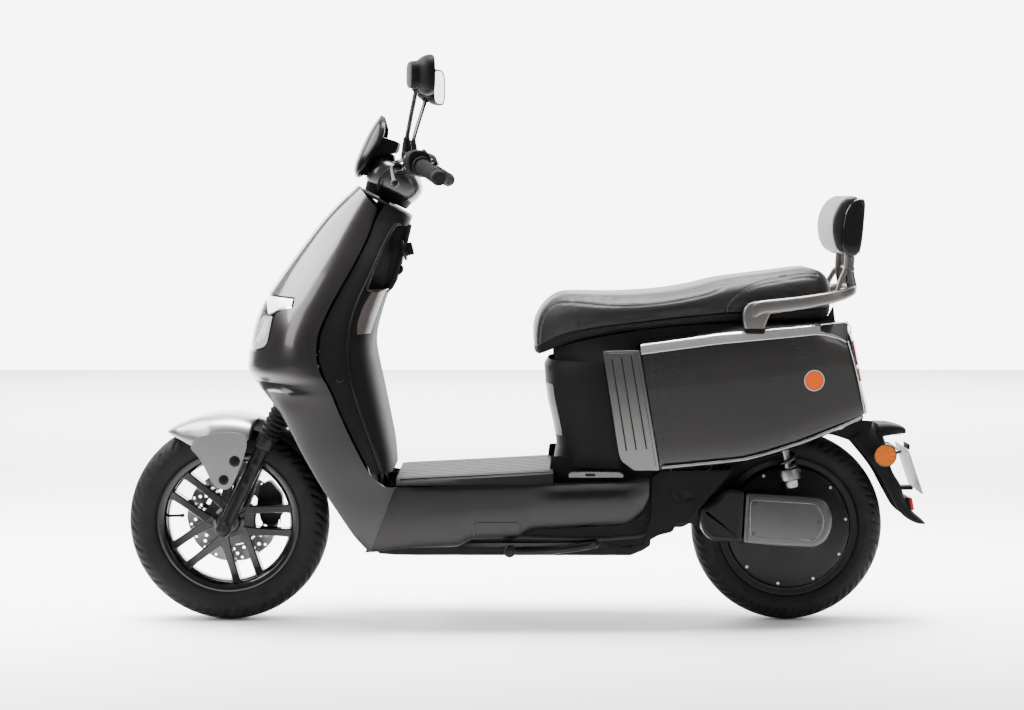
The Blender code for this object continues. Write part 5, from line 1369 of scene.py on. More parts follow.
def cut_grid(rows, keep):
    """Grid faces as a mesh, leaving out quads whose centre fails keep."""
    bm = bmesh.new()
    for sgn in (1, -1):
        vs = [[bm.verts.new((p[0] * sgn, p[1], p[2])) for p in r] for r in rows]
        for a, b in zip(vs, vs[1:]):
            for i in range(len(a) - 1):
                q = [a[i], a[i + 1], b[i + 1], b[i]]
                c = sum((v.co for v in q), Vector()) / 4
                if not keep(c):
                    continue
                if sgn < 0:
                    q.reverse()
                bm.faces.new(q)
    bmesh.ops.remove_doubles(bm, verts=bm.verts, dist=1e-5)
    bad = [f for f in bm.faces if f.calc_area() < 1e-12]
    if bad:
        bmesh.ops.delete(bm, geom=bad, context="FACES")
    bmesh.ops.delete(bm, geom=[v for v in bm.verts if not v.link_faces], context="VERTS")
    bmesh.ops.recalc_face_normals(bm, faces=bm.faces)
    me = bpy.data.meshes.new("m")
    bm.to_mesh(me)
    bm.free()
    return me


def oriented(me, inside):
    bm = bmesh.new()
    bm.from_mesh(me)
    c = Vector(inside)
    s = sum(f.calc_area() * (1 if f.normal.dot(c - f.calc_center_median()) > 0 else -1)
            for f in bm.faces)
    if s > 0:
        bmesh.ops.reverse_faces(bm, faces=bm.faces)
    bm.to_mesh(me)
    bm.free()
    return me


shield = solidified(oriented(cut_grid(SHIELD, lambda c: True), (0, -0.40, 0.60)), 0.0026)


# openings in the shield for the lamp units, cut with thin tools seen from the side
def side_cutter(loop, x0, x1):
    return slab(loop, x0, x1)


LENS = [(-0.6600, 0.7600), (-0.6080, 0.7580), (-0.6000, 0.7400), (-0.6060, 0.7100), (-0.6130, 0.6800),
        (-0.6210, 0.6560), (-0.6340, 0.6340), (-0.6600, 0.6240)]
WING = [(-0.6150, 0.7590), (-0.5850, 0.7612), (-0.5240, 0.7580), (-0.5225, 0.7500), (-0.5290, 0.7350),
        (-0.5620, 0.7265), (-0.5700, 0.7210), (-0.5770, 0.6930), (-0.5870, 0.6520), (-0.5960, 0.6400),
        (-0.6160, 0.6335), (-0.6300, 0.6330), (-0.6100, 0.7400)]
lamp_cut = round_loop([(-0.6900, 0.7585), (-0.5850, 0.7610), (-0.5245, 0.7575), (-0.5290, 0.7345),
                       (-0.5625, 0.7260), (-0.5705, 0.7195), (-0.5775, 0.6920), (-0.5875, 0.6510),
                       (-0.5960, 0.6395), (-0.6160, 0.6330), (-0.6900, 0.6270)], 0.004, 3)
shield_cut = boolean(shield, slab(lamp_cut, -0.30, 0.30), "DIFFERENCE")
# clearance arcs under the nose for the bellows at full steering lock
STEER_P, STEER_A = Vector((0, -0.430036, 0.771317)), Vector((0, 0.439939, 0.898028))
for sgn in (1, -1):
    for deg in (38, 30):
        turn = (Matrix.Translation(STEER_P) @ Matrix.Rotation(math.radians(-sgn * deg), 4, STEER_A)
                @ Matrix.Translation(-STEER_P))
        low_end, top_end = on_axis(0.2400, x=sgn * FORK_X), on_axis(0.3460, x=sgn * FORK_X)
        shield_cut = boolean(shield_cut, rod(turn @ low_end, turn @ top_end, 0.0275, 32), "DIFFERENCE")
piece("shield_skin", shield_cut, GUN, "frame", ["front_leg_shield"], 28)


# lamp bowl: the same surface, set back
def offset_grid(rows, d, inside):
    """Grid pushed inward by d along its own normals."""
    out = []
    R, C = len(rows), len(rows[0])
    ins = Vector(inside)
    for i in range(R):
        row = []
        for j in range(C):
            a, b = rows[max(i - 1, 0)][j], rows[min(i + 1, R - 1)][j]
            c, e = rows[i][max(j - 1, 0)], rows[i][min(j + 1, C - 1)]
            n = (b - a).cross(e - c)
            if j == 0:
                n.x = 0.0
            if n.length < 1e-12:
                n = ins - rows[i][j]
            n.normalize()
            if n.dot(ins - rows[i][j]) < 0:
                n = -n
            row.append(rows[i][j] + n * d)
        out.append(row)
    return out


def lamp_part(name, loop, depth, thick, mat, reps=(), x1=0.30, r=0.003, half=False):
    """Piece of the shield's own surface inside a side outline, set back by depth."""
    lo = min(z for _, z in loop) - 0.02
    hi = max(z for _, z in loop) + 0.02
    rows = [r_ for r_ in SHIELD if lo - 0.05 < r_[0].z and r_[-1].z < hi + 0.20]
    band = offset_grid(rows, depth, (0, -0.40, 0.68))
    me = solidified(oriented(cut_grid(band, lambda c: c.z < hi + 0.03 and c.z > lo - 0.03 and c.y < -0.42),
                             (0, -0.40, 0.68)), thick)
    me = boolean(me, slab(round_loop(loop, r, 3), -x1, x1), "INTERSECT")
    return piece(name, me, mat, "frame", reps, 35)


lamp_part("lamp_bowl", [(-0.70, 0.7610), (-0.5860, 0.7640), (-0.5220, 0.7600), (-0.5265, 0.7320),
                        (-0.5610, 0.7235), (-0.5685, 0.7180), (-0.5750, 0.6900), (-0.5850, 0.6490),
                        (-0.5940, 0.6370), (-0.6150, 0.6300), (-0.70, 0.6240)], 0.0045, 0.0015,
          GLOSSB, ["headlamp"])
lamp_part("lamp_wing", [(-0.5960, 0.7530), (-0.5860, 0.7570), (-0.5300, 0.7535), (-0.5330, 0.7385),
                        (-0.5640, 0.7310), (-0.5760, 0.7240), (-0.5900, 0.7180), (-0.5940, 0.7330)],
          0.0006, 0.0012, LAMP_MILK, (), r=0.002)
lamp_part("lamp_wing_lip", [(-0.6020, 0.7180), (-0.5900, 0.7145), (-0.5790, 0.7185), (-0.5680, 0.7262),
                            (-0.5320, 0.7348), (-0.5330, 0.7376), (-0.5640, 0.7300), (-0.5760, 0.7230),
                            (-0.5900, 0.7170), (-0.6010, 0.7200)],
          0.0000, 0.0015, CHROME, (), r=0.0008)
lamp_part("lamp_lens", [(-0.70, 0.7545), (-0.6110, 0.7545), (-0.6040, 0.7390), (-0.6100, 0.7090),
                        (-0.6170, 0.6800), (-0.6240, 0.6580), (-0.6360, 0.6380), (-0.70, 0.6310)],
          0.0004, 0.0016, LAMP_SMOKE, (), r=0.004)
lamp_part("lamp_reflector", [(-0.5980, 0.7060), (-0.5870, 0.7060), (-0.5950, 0.6720), (-0.6120, 0.6480),
                             (-0.6200, 0.6560), (-0.6060, 0.6820)],
          0.0030, 0.0010, CHROME, (), r=0.003)
lamp_part("lamp_cover_glass", [(-0.6020, 0.7140), (-0.5790, 0.7140), (-0.5900, 0.6560), (-0.5980, 0.6450),
                               (-0.6160, 0.6385), (-0.6330, 0.6400), (-0.6210, 0.6600), (-0.6080, 0.7050)],
          0.0006, 0.0008, LAMP_CLEAR, (), r=0.003)
# outline loops for a border round the lamp, which is not drawn
EDGE = round_loop([(-0.6900, 0.7590), (-0.5850, 0.7615), (-0.5240, 0.7580), (-0.5285, 0.7340),
                   (-0.5620, 0.7255), (-0.5700, 0.7190), (-0.5770, 0.6915), (-0.5870, 0.6505),
                   (-0.5955, 0.6388), (-0.6158, 0.6325), (-0.6900, 0.6265)], 0.004, 3)
HOLE = round_loop([(-0.7200, 0.7572), (-0.5850, 0.7597), (-0.5258, 0.7562), (-0.5300, 0.7356),
                   (-0.5632, 0.7272), (-0.5716, 0.7203), (-0.5788, 0.6924), (-0.5887, 0.6519),
                   (-0.5969, 0.6406), (-0.6164, 0.6344), (-0.7200, 0.6285)], 0.004, 3)


# centre strip up the nose, raised a hair, in a darker warmer grey
def strip_rows():
    rows = []
    z0, z1 = 0.7620, 0.9980
    for r_ in SHIELD:
        if r_[0].z < z0 - 0.002 or r_[0].z > z1:
            continue
        rows.append(r_)
    return rows


sr = offset_grid(strip_rows(), -0.0009, (0, -0.30, 0.85))
sr = [[p for p in r_[:8]] for r_ in sr]
piece("nose_strip", solidified(oriented(grid_mesh([sr], True), (0, -0.30, 0.85)), 0.0012),
      paint("nose_paint", (0.078, 0.074, 0.070), (0.115, 0.109, 0.103), 0.34, 0.9, 0.9, 0.06),
      "frame", (), 40)

# ------------------------------------------------------------------ inner leg shield
NECK_S = 0.822
REARLINE = [(-0.268, 0.937), (-0.278, 0.905), (-0.290, 0.860), (-0.305, 0.806), (-0.322, 0.768),
            (-0.340, 0.715), (-0.352, 0.665), (-0.351, 0.625), (-0.338, 0.560), (-0.322, 0.480),
            (-0.310, 0.415), (-0.306, 0.362)]
NC = 96
top_front = Vector((0, -0.3800, 1.0000))
top_rear = Vector((0, -0.268, 0.937))
mid = (top_front + top_rear) / 2
fore = (top_front - top_rear) / 2


def deck_loop(k=1.0, lift=0.0):
    out = []
    for i in range(NC):
        t = 2 * math.pi * i / NC
        c, q = math.cos(t), math.sin(t)
        cc = math.copysign(abs(c) ** 0.75, c) if abs(c) > 1e-6 else 0.0
        out.append(mid + fore * cc * k
                   + Vector((0.0875 * k * math.copysign(abs(q) ** 0.8, q), 0, 0)) + AXIS * lift)
    return out


neck_loop = [on_axis(NECK_S, 0.043 * math.cos(2 * math.pi * i / NC),
                     0.043 * math.sin(2 * math.pi * i / NC)) for i in range(NC)]
d0, d1 = deck_loop(), deck_loop(0.93, 0.0015)
rows = []
for k in range(5):
    rows.append([a.lerp(b, k / 4) for a, b in zip(neck_loop, d1)])
rows += [d1, d0]
deck_rows = [r_ + [r_[0]] for r_ in rows]
deck_me = solidified(oriented(grid_mesh([deck_rows]), (0, -0.38, 0.80)), 0.0026)
piece("shield_deck", deck_me, BLACK, "frame", ["inner_leg_shield"], 35)
lip_pts = d0 + [d0[0]]
piece("deck_rim", tube([p + AXIS * 0.0006 for p in d0[:] + [d0[0], d0[1]]], 0.0022, 10), SATINB,
      "frame", (), 60)


def seam_at(z):
    return lerp_table([(-s[2], s[0], s[1]) for s in SEAM[:13]], -z)


def inner_rows(inset=0.0045, back=0.0050, pull=0.0):
    rows = []
    dense = []
    line = [Vector((0, y, z)) for y, z in REARLINE]
    fine = cr(line, 4)
    for i, p in enumerate(fine):
        y, z = p.y, p.z
        row = []
        if i == 0:
            w, ys = 0.0875, mid.y
        else:
            w, ys = seam_at(z)
            w, ys = w - inset, ys + back
        for k in range(NC // 4, 3 * NC // 4 + 1):
            t = 2 * math.pi * k / NC
            c, q = abs(math.cos(t)), math.sin(t)
            if i == 0:
                row.append(d0[k])
                continue
            x = w * math.copysign(abs(q) ** 0.5, q)
            yy = ys + (y - ys) * c ** 0.55
            row.append(Vector((x, yy, z)))
        rows.append(row)
    return rows


skirt = inner_rows()
skirt_me = solidified(oriented(grid_mesh([skirt]), (0, -0.50, 0.68)), 0.0026)
# recess on the left with its coloured pocket panel
recess = round_loop([(-0.3690, 0.8440), (-0.3060, 0.8350), (-0.3000, 0.8450), (-0.3160, 0.7900),
                     (-0.3330, 0.7500), (-0.3620, 0.6900), (-0.4050, 0.7250), (-0.4050, 0.7700)], 0.012, 4)
RECESS = round_loop([(-0.2990, 0.9230), (-0.2640, 0.9120), (-0.2800, 0.8500), (-0.3000, 0.7840),
                     (-0.3200, 0.7720), (-0.3640, 0.7730), (-0.3440, 0.8350), (-0.3210, 0.8880)], 0.010, 4)
for sgn in (1, -1):
    skirt_me = boolean(skirt_me, slab(RECESS, sgn * 0.050, sgn * 0.220), "DIFFERENCE")
piece("inner_shield_skin", skirt_me, BLACK, "frame", (), 40)
# walls of the two knee pockets behind those openings
for sx, side in ((1, "left"), (-1, "right")):
    wall_rows = []
    for z in [0.760 + 0.172 * k / 10 for k in range(11)]:
        w_, ys_ = seam_at(z)
        wall_rows.append([Vector((sx * x, y, z)) for x, y in
                          ((w_ - 0.010, ys_ + 0.012), (w_ - 0.045, ys_ + 0.026), (0.062, ys_ + 0.052),
                           (0.050, -0.300 - (0.93 - z) * 0.20))])
    back_wall = round_loop([(-0.3030, 0.9330), (-0.2690, 0.9190), (-0.2850, 0.8530), (-0.3040, 0.7890),
                            (-0.3180, 0.7640), (-0.3720, 0.7640), (-0.3540, 0.8400), (-0.3310, 0.8950)], 0.008, 4)
    piece("knee_pocket_" + side, joined([solidified(oriented(grid_mesh([wall_rows]), (sx * 0.2, -0.25, 0.85)), 0.0018),
                                         slab(back_wall, sx * 0.0440, sx * 0.0465)]),
          plastic("pocket_black_" + side, (0.0035, 0.0035, 0.0036), (0.0060, 0.0060, 0.0062), 0.55, spec=0.2),
          "frame", (), 40)
# rim that frames the recess: a soft raised bead following the rider's side
SIDEX = []


def skin_point(z, y):
    """Half width of the inner shield's rider side at height z and length y."""
    w, ys = seam_at(z)
    w, ys = w - 0.0045, ys + 0.0050
    yr = None
    for a, b in zip(REARLINE, REARLINE[1:]):
        if b[1] <= z <= a[1]:
            t = (a[1] - z) / (a[1] - b[1])
            yr = a[0] + (b[0] - a[0]) * t
    if yr is None:
        yr = REARLINE[0][0]
    c = max(0.0, min(1.0, (y - ys) / (yr - ys))) ** (1 / 0.55)
    q = math.sqrt(max(0.0, 1 - c * c))
    return w * q ** 0.5


def skin_path(points, lift=0.0005, sx=1):
    out = []
    for y, z in points:
        out.append(Vector((sx * (skin_point(z, y) + lift), y, z)))
    return out


RIMP = paint("rim_grey", (0.020, 0.019, 0.0185), (0.032, 0.0305, 0.0295), 0.36, 0.6, 0.2, 0.2)
for sx, side in ((1, "left"), (-1, "right")):
    pts = []
    for y, z in RECESS + [RECESS[0], RECESS[1]]:
        if skin_point(z, y) > 0.052:
            pts.append(Vector((sx * (skin_point(z, y) + 0.0002), y, z)))
    # open the loop where it leaves the skin at the rider's edge
    gaps = [(pts[i + 1] - pts[i]).length for i in range(len(pts) - 1)]
    g = gaps.index(max(gaps)) + 1
    pts = pts[g:] + pts[1:g]
    piece("pocket_rim_" + side, tube(pts, 0.0024, 8), RIMP, "frame", (), 60)

# storage box panels: rails, hook, key plate, round cap, pocket faces
for sx, side in ((1, "left"), (-1, "right")):
    edge = cr([Vector((0, y, z)) for y, z in
               ((-0.2985, 0.9230), (-0.3160, 0.8960), (-0.3370, 0.8500), (-0.3560, 0.8060),
                (-0.3800, 0.7540), (-0.3960, 0.7050), (-0.4040, 0.6500), (-0.4010, 0.6000),
                (-0.3870, 0.5400), (-0.3650, 0.4700), (-0.3420, 0.4050), (-0.3300, 0.3680))], 4)
    pts = skin_path([(p.y, p.z) for p in edge], 0.0004, sx)
    piece("inner_bead_" + side, tube(pts, 0.0032, 10), SATINB, "frame", (), 60)
    pk = round_loop([(-0.3850, 0.6900), (-0.3740, 0.7350), (-0.3520, 0.7720), (-0.3200, 0.7720),
                     (-0.3390, 0.7200), (-0.3500, 0.6850), (-0.3620, 0.6740), (-0.3800, 0.6760)], 0.008, 4)
    bm = bmesh.new()
    n = 14
    rows = []
    for i in range(n + 1):
        z = 0.6760 + (0.7700 - 0.6760) * i / n
        ya = lerp_table([(0.6760, -0.3830), (0.7000, -0.3830), (0.7350, -0.3720), (0.7700, -0.3520)], z)[0]
        yb = lerp_table([(0.6760, -0.3560), (0.6850, -0.3535), (0.7200, -0.3420), (0.7700, -0.3240)], z)[0]
        rows.append([Vector((sx * (skin_point(z, ya + (yb - ya) * j / 8) + 0.0012),
                             ya + (yb - ya) * j / 8, z)) for j in range(9)])
    bm.free()
    piece("pocket_panel_" + side, solidified(oriented(grid_mesh([rows]), (0, -0.42, 0.72)), 0.0020),
          POCKET, "frame", (), 40, 0.0005)
    capc = Vector((sx * (skin_point(0.5780, -0.4210) + 0.0002), -0.4210, 0.5780))
    piece("plug_cap_" + side, spin([(0.0, -0.002), (0.0088, -0.002), (0.0088, 0.0010), (0.0070, 0.0018),
                                    (0.0035, 0.0018), (0.0030, 0.0006), (0.0, 0.0006)],
                                   frame_along(capc, Vector((sx, 0.25, 0))), 28), SATINB, "frame",
          (), 40)

# bag hook and charging-port cover on the rider's edge
piece("bag_hook", joined([tube(cr([(0, -0.3160, 0.8080), (0, -0.3020, 0.8060), (0, -0.2930, 0.8120),
                                   (0, -0.2925, 0.8240)], 6), 0.0046, 14),
                          rod_soft((0, -0.3160, 0.8080), (0, -0.3030, 0.8070), 0.0115, 0.0015, 24)]),
      SATINB, "frame", (), 50)
port = round_loop([(-0.3000, 0.8760), (-0.2860, 0.8720), (-0.2850, 0.8560), (-0.2920, 0.8320),
                   (-0.3100, 0.8320), (-0.3080, 0.8700)], 0.004)
piece("port_cover", slab(port, -0.0340, -0.0020), SATINB, "frame", (), 30, 0.0025, seg=3)

# key switch escutcheon and the key itself
KEY_C = Vector((0.0600, -0.2825, 0.8620))
kd = Vector((0, 0.0200, 0.0045)).normalized()
km = frame_along(KEY_C, kd)
piece("key_escutcheon", spin([(0.0165, -0.004), (0.0245, -0.004), (0.0245, 0.0010), (0.0230, 0.0025),
                              (0.0165, 0.0025)], km, 40, True), SATINB, "frame", (), 35)
bow = loft([[km @ Vector((x * k, y * k2, z)) for x, y in
             [(0.0052 * math.cos(2 * math.pi * j / 24), 0.0145 * math.copysign(
                 abs(math.sin(2 * math.pi * j / 24)) ** 0.8, math.sin(2 * math.pi * j / 24)))
              for j in range(24)]] for z, k, k2 in ((0.0040, 0.9, 0.9), (0.0060, 1.0, 1.0),
                                                    (0.0185, 0.85, 1.0), (0.0203, 0.65, 0.93))])
barrel = spin([(0.0, 0.0), (0.0155, 0.0), (0.0155, 0.0050), (0.0140, 0.0062), (0.0, 0.0062)], km, 36)
piece("key_knob", joined([barrel, bow]), BLACK, "ignition_key", ["ignition_key"], 35)

# ------------------------------------------------------------------ floor
rings = []
ys = [-0.2980, -0.2950] + [-0.29 + 0.345 * k / 10 for k in range(1, 10)] + [0.0520, 0.0560]


def floor_z(y):
    return lerp_table([(-0.2980, 0.0), (-0.14, 0.008), (0.056, 0.019)], y)[0]


sec = [(-0.1655, 0.3330), (-0.1640, 0.3362), (-0.1590, 0.3410), (-0.1520, 0.3450), (-0.1420, 0.3480),
       (-0.1360, 0.3488)]
gx = [-0.132, -0.106, -0.080, -0.054, -0.028, 0.0, 0.028, 0.054, 0.080, 0.106, 0.132]
for x in gx:
    sec += [(x - 0.0030, 0.3488), (x - 0.0018, 0.3470), (x + 0.0018, 0.3470), (x + 0.0030, 0.3488)]
sec += [(0.1360, 0.3488), (0.1420, 0.3480), (0.1520, 0.3450), (0.1590, 0.3410), (0.1640, 0.3362),
        (0.1655, 0.3330), (0.150, 0.3300), (-0.150, 0.3300)]
for y in ys:
    dz = floor_z(y)
    rings.append([Vector((x, y, z + (dz if z > 0.34 else 0.35 * dz))) for x, z in sec])
piece("floor_mat_ribbed", loft(rings), FLOORP, "frame", ["floorboard"], 30)
# raised border bead down both sides
for sx, side in ((1, "left"), (-1, "right")):
    pts = [Vector((sx * 0.1505, y, 0.3462 + floor_z(y) * 0.96)) for y in (-0.29, -0.2, -0.1, 0.0, 0.05)]
    piece("floor_bead_" + side, tube(pts, 0.0018, 8), SATINB, "frame", (), 60)

# battery and controller, as boxes with ribs and lids
bat = [cube((-0.096, -0.262, 0.192), (0.096, 0.100, 0.306)), cube((-0.0935, -0.2595, 0.3063), (0.0935, 0.0975, 0.3218))]
for k in range(9):
    y = -0.235 + 0.038 * k
    bat.append(cube((0.0935, y, 0.200), (0.0960, y + 0.006, 0.300)))
piece("battery_case", joined(bat), BLACK, "frame", ["battery_pack"], 30, 0.0018)
fins = [cube((-0.075, 0.128, 0.250), (0.075, 0.250, 0.3140))]
for k in range(12):
    x = -0.0700 + 0.0120 * k
    fins.append(cube((x, 0.1300, 0.3145), (x + 0.0050, 0.2480, 0.3295)))
piece("controller_case", joined(fins), STEEL, "frame", ["motor_controller"], 30, 0.0008)


# ------------------------------------------------------------------ lower side covers
SHIELD_END = [(p.z, p.x, p.y) for p in SHIELD[-1]]
SHIELD_END.sort()


def skirt_rows(sx, ny=40):
    rows = []
    bottom = [(-0.300, 0.1765), (-0.243, 0.189), (-0.159, 0.191), (-0.130, 0.207), (-0.019, 0.211),
              (0.005, 0.229), (0.225, 0.241), (0.262, 0.266), (0.275, 0.300)]
    top = [(-0.300, 0.3300), (0.039, 0.3400), (0.213, 0.3440), (0.270, 0.3510)]
    for i in range(ny + 1):
        k = i / ny
        y = -0.2985 + (0.272 + 0.2985) * k
        zb = lerp_table(bottom, y)[0]
        zt = lerp_table(top, y)[0]
        row = []
        bulge = max(0.0, 1.0 - ((y - 0.135) / 0.115) ** 4) if abs(y - 0.135) < 0.115 else 0.0
        for v in [1.0, 0.965, 0.93, 0.86, 0.78, 0.70, 0.60, 0.50, 0.40, 0.32, 0.24, 0.16, 0.08, 0.02, 0.0]:
            w = lerp_table([(0.0, 0.1385), (0.02, 0.1450), (0.08, 0.1535), (0.16, 0.1592),
                            (0.32, 0.1652), (0.50, 0.1698), (0.78, 0.1722), (0.93, 0.1728),
                            (0.975, 0.1722), (1.0, 0.1700)], v)[0]
            w -= 0.0032 * bulge * (1 - min(1.0, abs(v - 0.84) / 0.14) ** 3)
            z = zb + (zt - zb) * v
            near = max(0.0, 1.0 - (y + 0.2985) / 0.13)
            near = near * near * (3 - 2 * near)
            ex, ey = lerp_table(SHIELD_END, z)
            tuck = max(0.0, 1.0 - (y + 0.2985) / 0.012)
            y2 = y + (ey + 0.0012 + 0.2985) * near - 0.012 * tuck
            w = w + (ex + 0.0003 - w) * near - 0.0036 * tuck
            row.append(Vector((sx * w, y2, z)))
        rows.append(row)
    return rows


for sx, side in ((1, "left"), (-1, "right")):
    me = solidified(oriented(grid_mesh([skirt_rows(sx)]), (0, 0, 0.26)), 0.0026)
    slot_cut = slab(round_loop([(-0.1220, 0.2495), (-0.0190, 0.2495), (-0.0190, 0.2440), (-0.1220, 0.2440)],
                               0.002), sx * 0.150, sx * 0.190)
    # the lower covers take the darker copy of the body paint: painted shade
    piece("lower_skirt_" + side, me, GUN_PAINTED_SHADE, "frame", ["lower_cover_" + side], 35)
    # moulded step along the lower edge
    pts = [(-0.1180, 0.2500), (-0.0700, 0.2515), (-0.0230, 0.2500), (-0.0190, 0.2350), (-0.0190, 0.2150)]
    line = []
    for p in cr([Vector((0, *q)) for q in ((-0.1220, 0.2160), (-0.1222, 0.2440), (-0.1180, 0.2500),
                                           (-0.0230, 0.2500), (-0.0188, 0.2440), (-0.0190, 0.2160))], 5,
                sharp=(1, 2, 3, 4)):
        zb = lerp_table([(-0.130, 0.207), (-0.019, 0.211)], p.y)[0]
        v = (p.z - zb) / (0.336 - zb)
        w = lerp_table([(0.0, 0.1385), (0.02, 0.1450), (0.08, 0.1535), (0.16, 0.1592), (0.32, 0.1652),
                        (0.50, 0.1698)], v)[0]
        line.append(Vector((sx * (w + 0.0002), p.y, p.z)))
    piece("skirt_step_" + side, tube(line, 0.0011, 8), GLOSSB, "frame", (), 60)

# belly tray and the walls beside the arm's pivot
tray = []
for y, zb, zt, w in ((-0.355, 0.186, 0.196, 0.110), (-0.350, 0.178, 0.192, 0.112),
                     (-0.340, 0.168, 0.186, 0.113), (-0.300, 0.1650, 0.186, 0.113),
                     (-0.245, 0.1645, 0.186, 0.113), (-0.1, 0.1643, 0.186, 0.113),
                     (0.1, 0.1641, 0.186, 0.113), (0.235, 0.1640, 0.186, 0.113),
                     (0.262, 0.1770, 0.201, 0.124), (0.278, 0.1900, 0.216, 0.1335)):
    tray.append([Vector((-w, y, zt)), Vector((-w + 0.001, y, zb + 0.014)), Vector((-w + 0.004, y, zb + 0.007)),
                 Vector((-w + 0.008, y, zb + 0.002)), Vector((-w + 0.015, y, zb)), Vector((0, y, zb)),
                 Vector((w - 0.015, y, zb)), Vector((w - 0.008, y, zb + 0.002)),
                 Vector((w - 0.004, y, zb + 0.007)), Vector((w - 0.001, y, zb + 0.014)), Vector((w, y, zt))])
piece("belly_pan", solidified(oriented(grid_mesh([tray]), (0, 0, 0.40)), 0.0026), BLACK, "frame",
      ["belly_tray"], 35)
wall = round_loop([(0.268, 0.2000), (0.2960, 0.2160), (0.3280, 0.2240), (0.3370, 0.2430), (0.3620, 0.2480),
                   (0.4500, 0.3470), (0.4600, 0.3650), (0.300, 0.3630), (0.2800, 0.3480),
                   (0.2790, 0.2500), (0.268, 0.2350)], 0.006)
slots = [round_loop([(0.3255, 0.3120), (0.3330, 0.3160), (0.3440, 0.2930), (0.3365, 0.2890)], 0.003),
         round_loop([(0.3420, 0.3140), (0.3620, 0.3180), (0.3800, 0.3020), (0.3560, 0.2950)], 0.003)]
for sx, side in ((1, "left"), (-1, "right")):
    piece("frame_cover_" + side, slab(wall, sx * 0.1302, sx * 0.1338, slots), BLACK, "frame",
          (), 30, 0.0009)
    piece("frame_cover_back_" + side, slab(round_loop([(0.30, 0.28), (0.40, 0.29), (0.42, 0.335),
                                                       (0.31, 0.335)], 0.006), sx * 0.1275, sx * 0.1290),
          SATINB, "frame", (), 30)


# ------------------------------------------------------------------ rear body
def seat_box_rows(cols=26):
    rows = []
    zs = [0.613, 0.6105, 0.604, 0.596, 0.580, 0.560, 0.540, 0.522, 0.500, 0.478, 0.456, 0.434, 0.412,
          0.392, 0.376, 0.372]
    tab = [(-0.613, 0.047, 0.156), (-0.596, 0.038, 0.160), (-0.560, 0.041, 0.1632),
           (-0.522, 0.046, 0.1642), (-0.456, 0.061, 0.1642), (-0.412, 0.067, 0.1638),
           (-0.372, 0.060, 0.1628)]
    for z in zs:
        yf, w = lerp_table(tab, -z)
        ys = 0.1645 + (0.639 - z) * 0.161
        row = []
        for i in range(cols + 1):
            t = 0.5 * math.pi * i / cols
            g = math.sin(t) ** 0.55
            h = 1.0 - math.cos(t) ** 1.35 if i < cols else 1.0
            row.append(Vector((w * g, yf + (ys - yf) * h, z)))
        rows.append(row)
    return rows


piece("seat_box_front", solidified(grid_mesh([seat_box_rows()], True, (0, 0.25, 0.50)), 0.0026),
      BLACK, "frame", ["under_seat_cover"], 40)
# access door in the seat box's front
door = []
for z in [0.440 + 0.118 * k / 8 for k in range(9)]:
    yf, w = lerp_table([(-0.560, 0.041, 0.1632), (-0.522, 0.046, 0.1642), (-0.456, 0.061, 0.1642),
                        (-0.412, 0.067, 0.1638)], -z)
    ys_ = 0.1645 + (0.639 - z) * 0.161
    row = []
    for j in range(13):
        a = -0.62 + 1.24 * j / 12
        s = abs(a)
        t = math.asin(min(1.0, (s * 0.1) ** (1 / 0.55) if s < 1e-9 else (s) ** (1 / 0.55)))
        y = yf + (ys_ - yf) * (1.0 - math.cos(t) ** 1.35)
        row.append(Vector((w * a, y - 0.0012, z)))
    door.append(row)
piece("access_door", solidified(oriented(grid_mesh([door]), (0, 0.3, 0.5)), 0.0024), SATINB, "frame",
      (), 40, 0.0006)

PLAN = [(0.160, 0.1690), (0.300, 0.1710), (0.450, 0.1660), (0.560, 0.1560), (0.660, 0.1400),
        (0.730, 0.1220), (0.770, 0.1060)]
TOPL = [(0.250, 0.6400), (0.429, 0.6640), (0.658, 0.6820), (0.700, 0.6700), (0.718, 0.6600)]
BOTL = [(0.296, 0.3700), (0.487, 0.3880), (0.535, 0.4000), (0.615, 0.4240), (0.755, 0.4760),
        (0.764, 0.4860)]
PLAN_S = [(p.x, p.y) for p in cr([Vector((a, b, 0)) for a, b in PLAN], 6)]


def soft_table(table, r=0.02):
    """The straight table with its corners eased."""
    pts = [Vector((a, b, 0)) for a, b in table]
    out = [pts[0]]
    for a, b, c in zip(pts, pts[1:], pts[2:]):
        u, v = a - b, c - b
        k = min(r, u.length * 0.4, v.length * 0.4)
        p, q = b + u.normalized() * k, b + v.normalized() * k
        for j in range(5):
            t = j / 4
            out.append(p.lerp(b, t).lerp(b.lerp(q, t), t))
    out.append(pts[-1])
    return [(p.x, p.y) for p in out]


TOPS, BOTS = soft_table(TOPL), soft_table(BOTL)


def panel_rows(sx, v0, v1, shape, n=72, out=0.0, k0=0.0, k1=1.0):
    rows = []
    for i in range(n + 1):
        k = k0 + (k1 - k0) * i / n
        yt, yb = 0.2520 + 0.466 * k, 0.2980 + 0.466 * k
        zt, zb = lerp_table(TOPS, yt)[0], lerp_table(BOTS, yb)[0]
        row = []
        for v, inset, up in shape:
            y = yb + (yt - yb) * v
            z = zb + (zt - zb) * v + up
            row.append(Vector((sx * (lerp_table(PLAN_S, y)[0] - inset + out), y, z)))
        rows.append(row)
    return rows


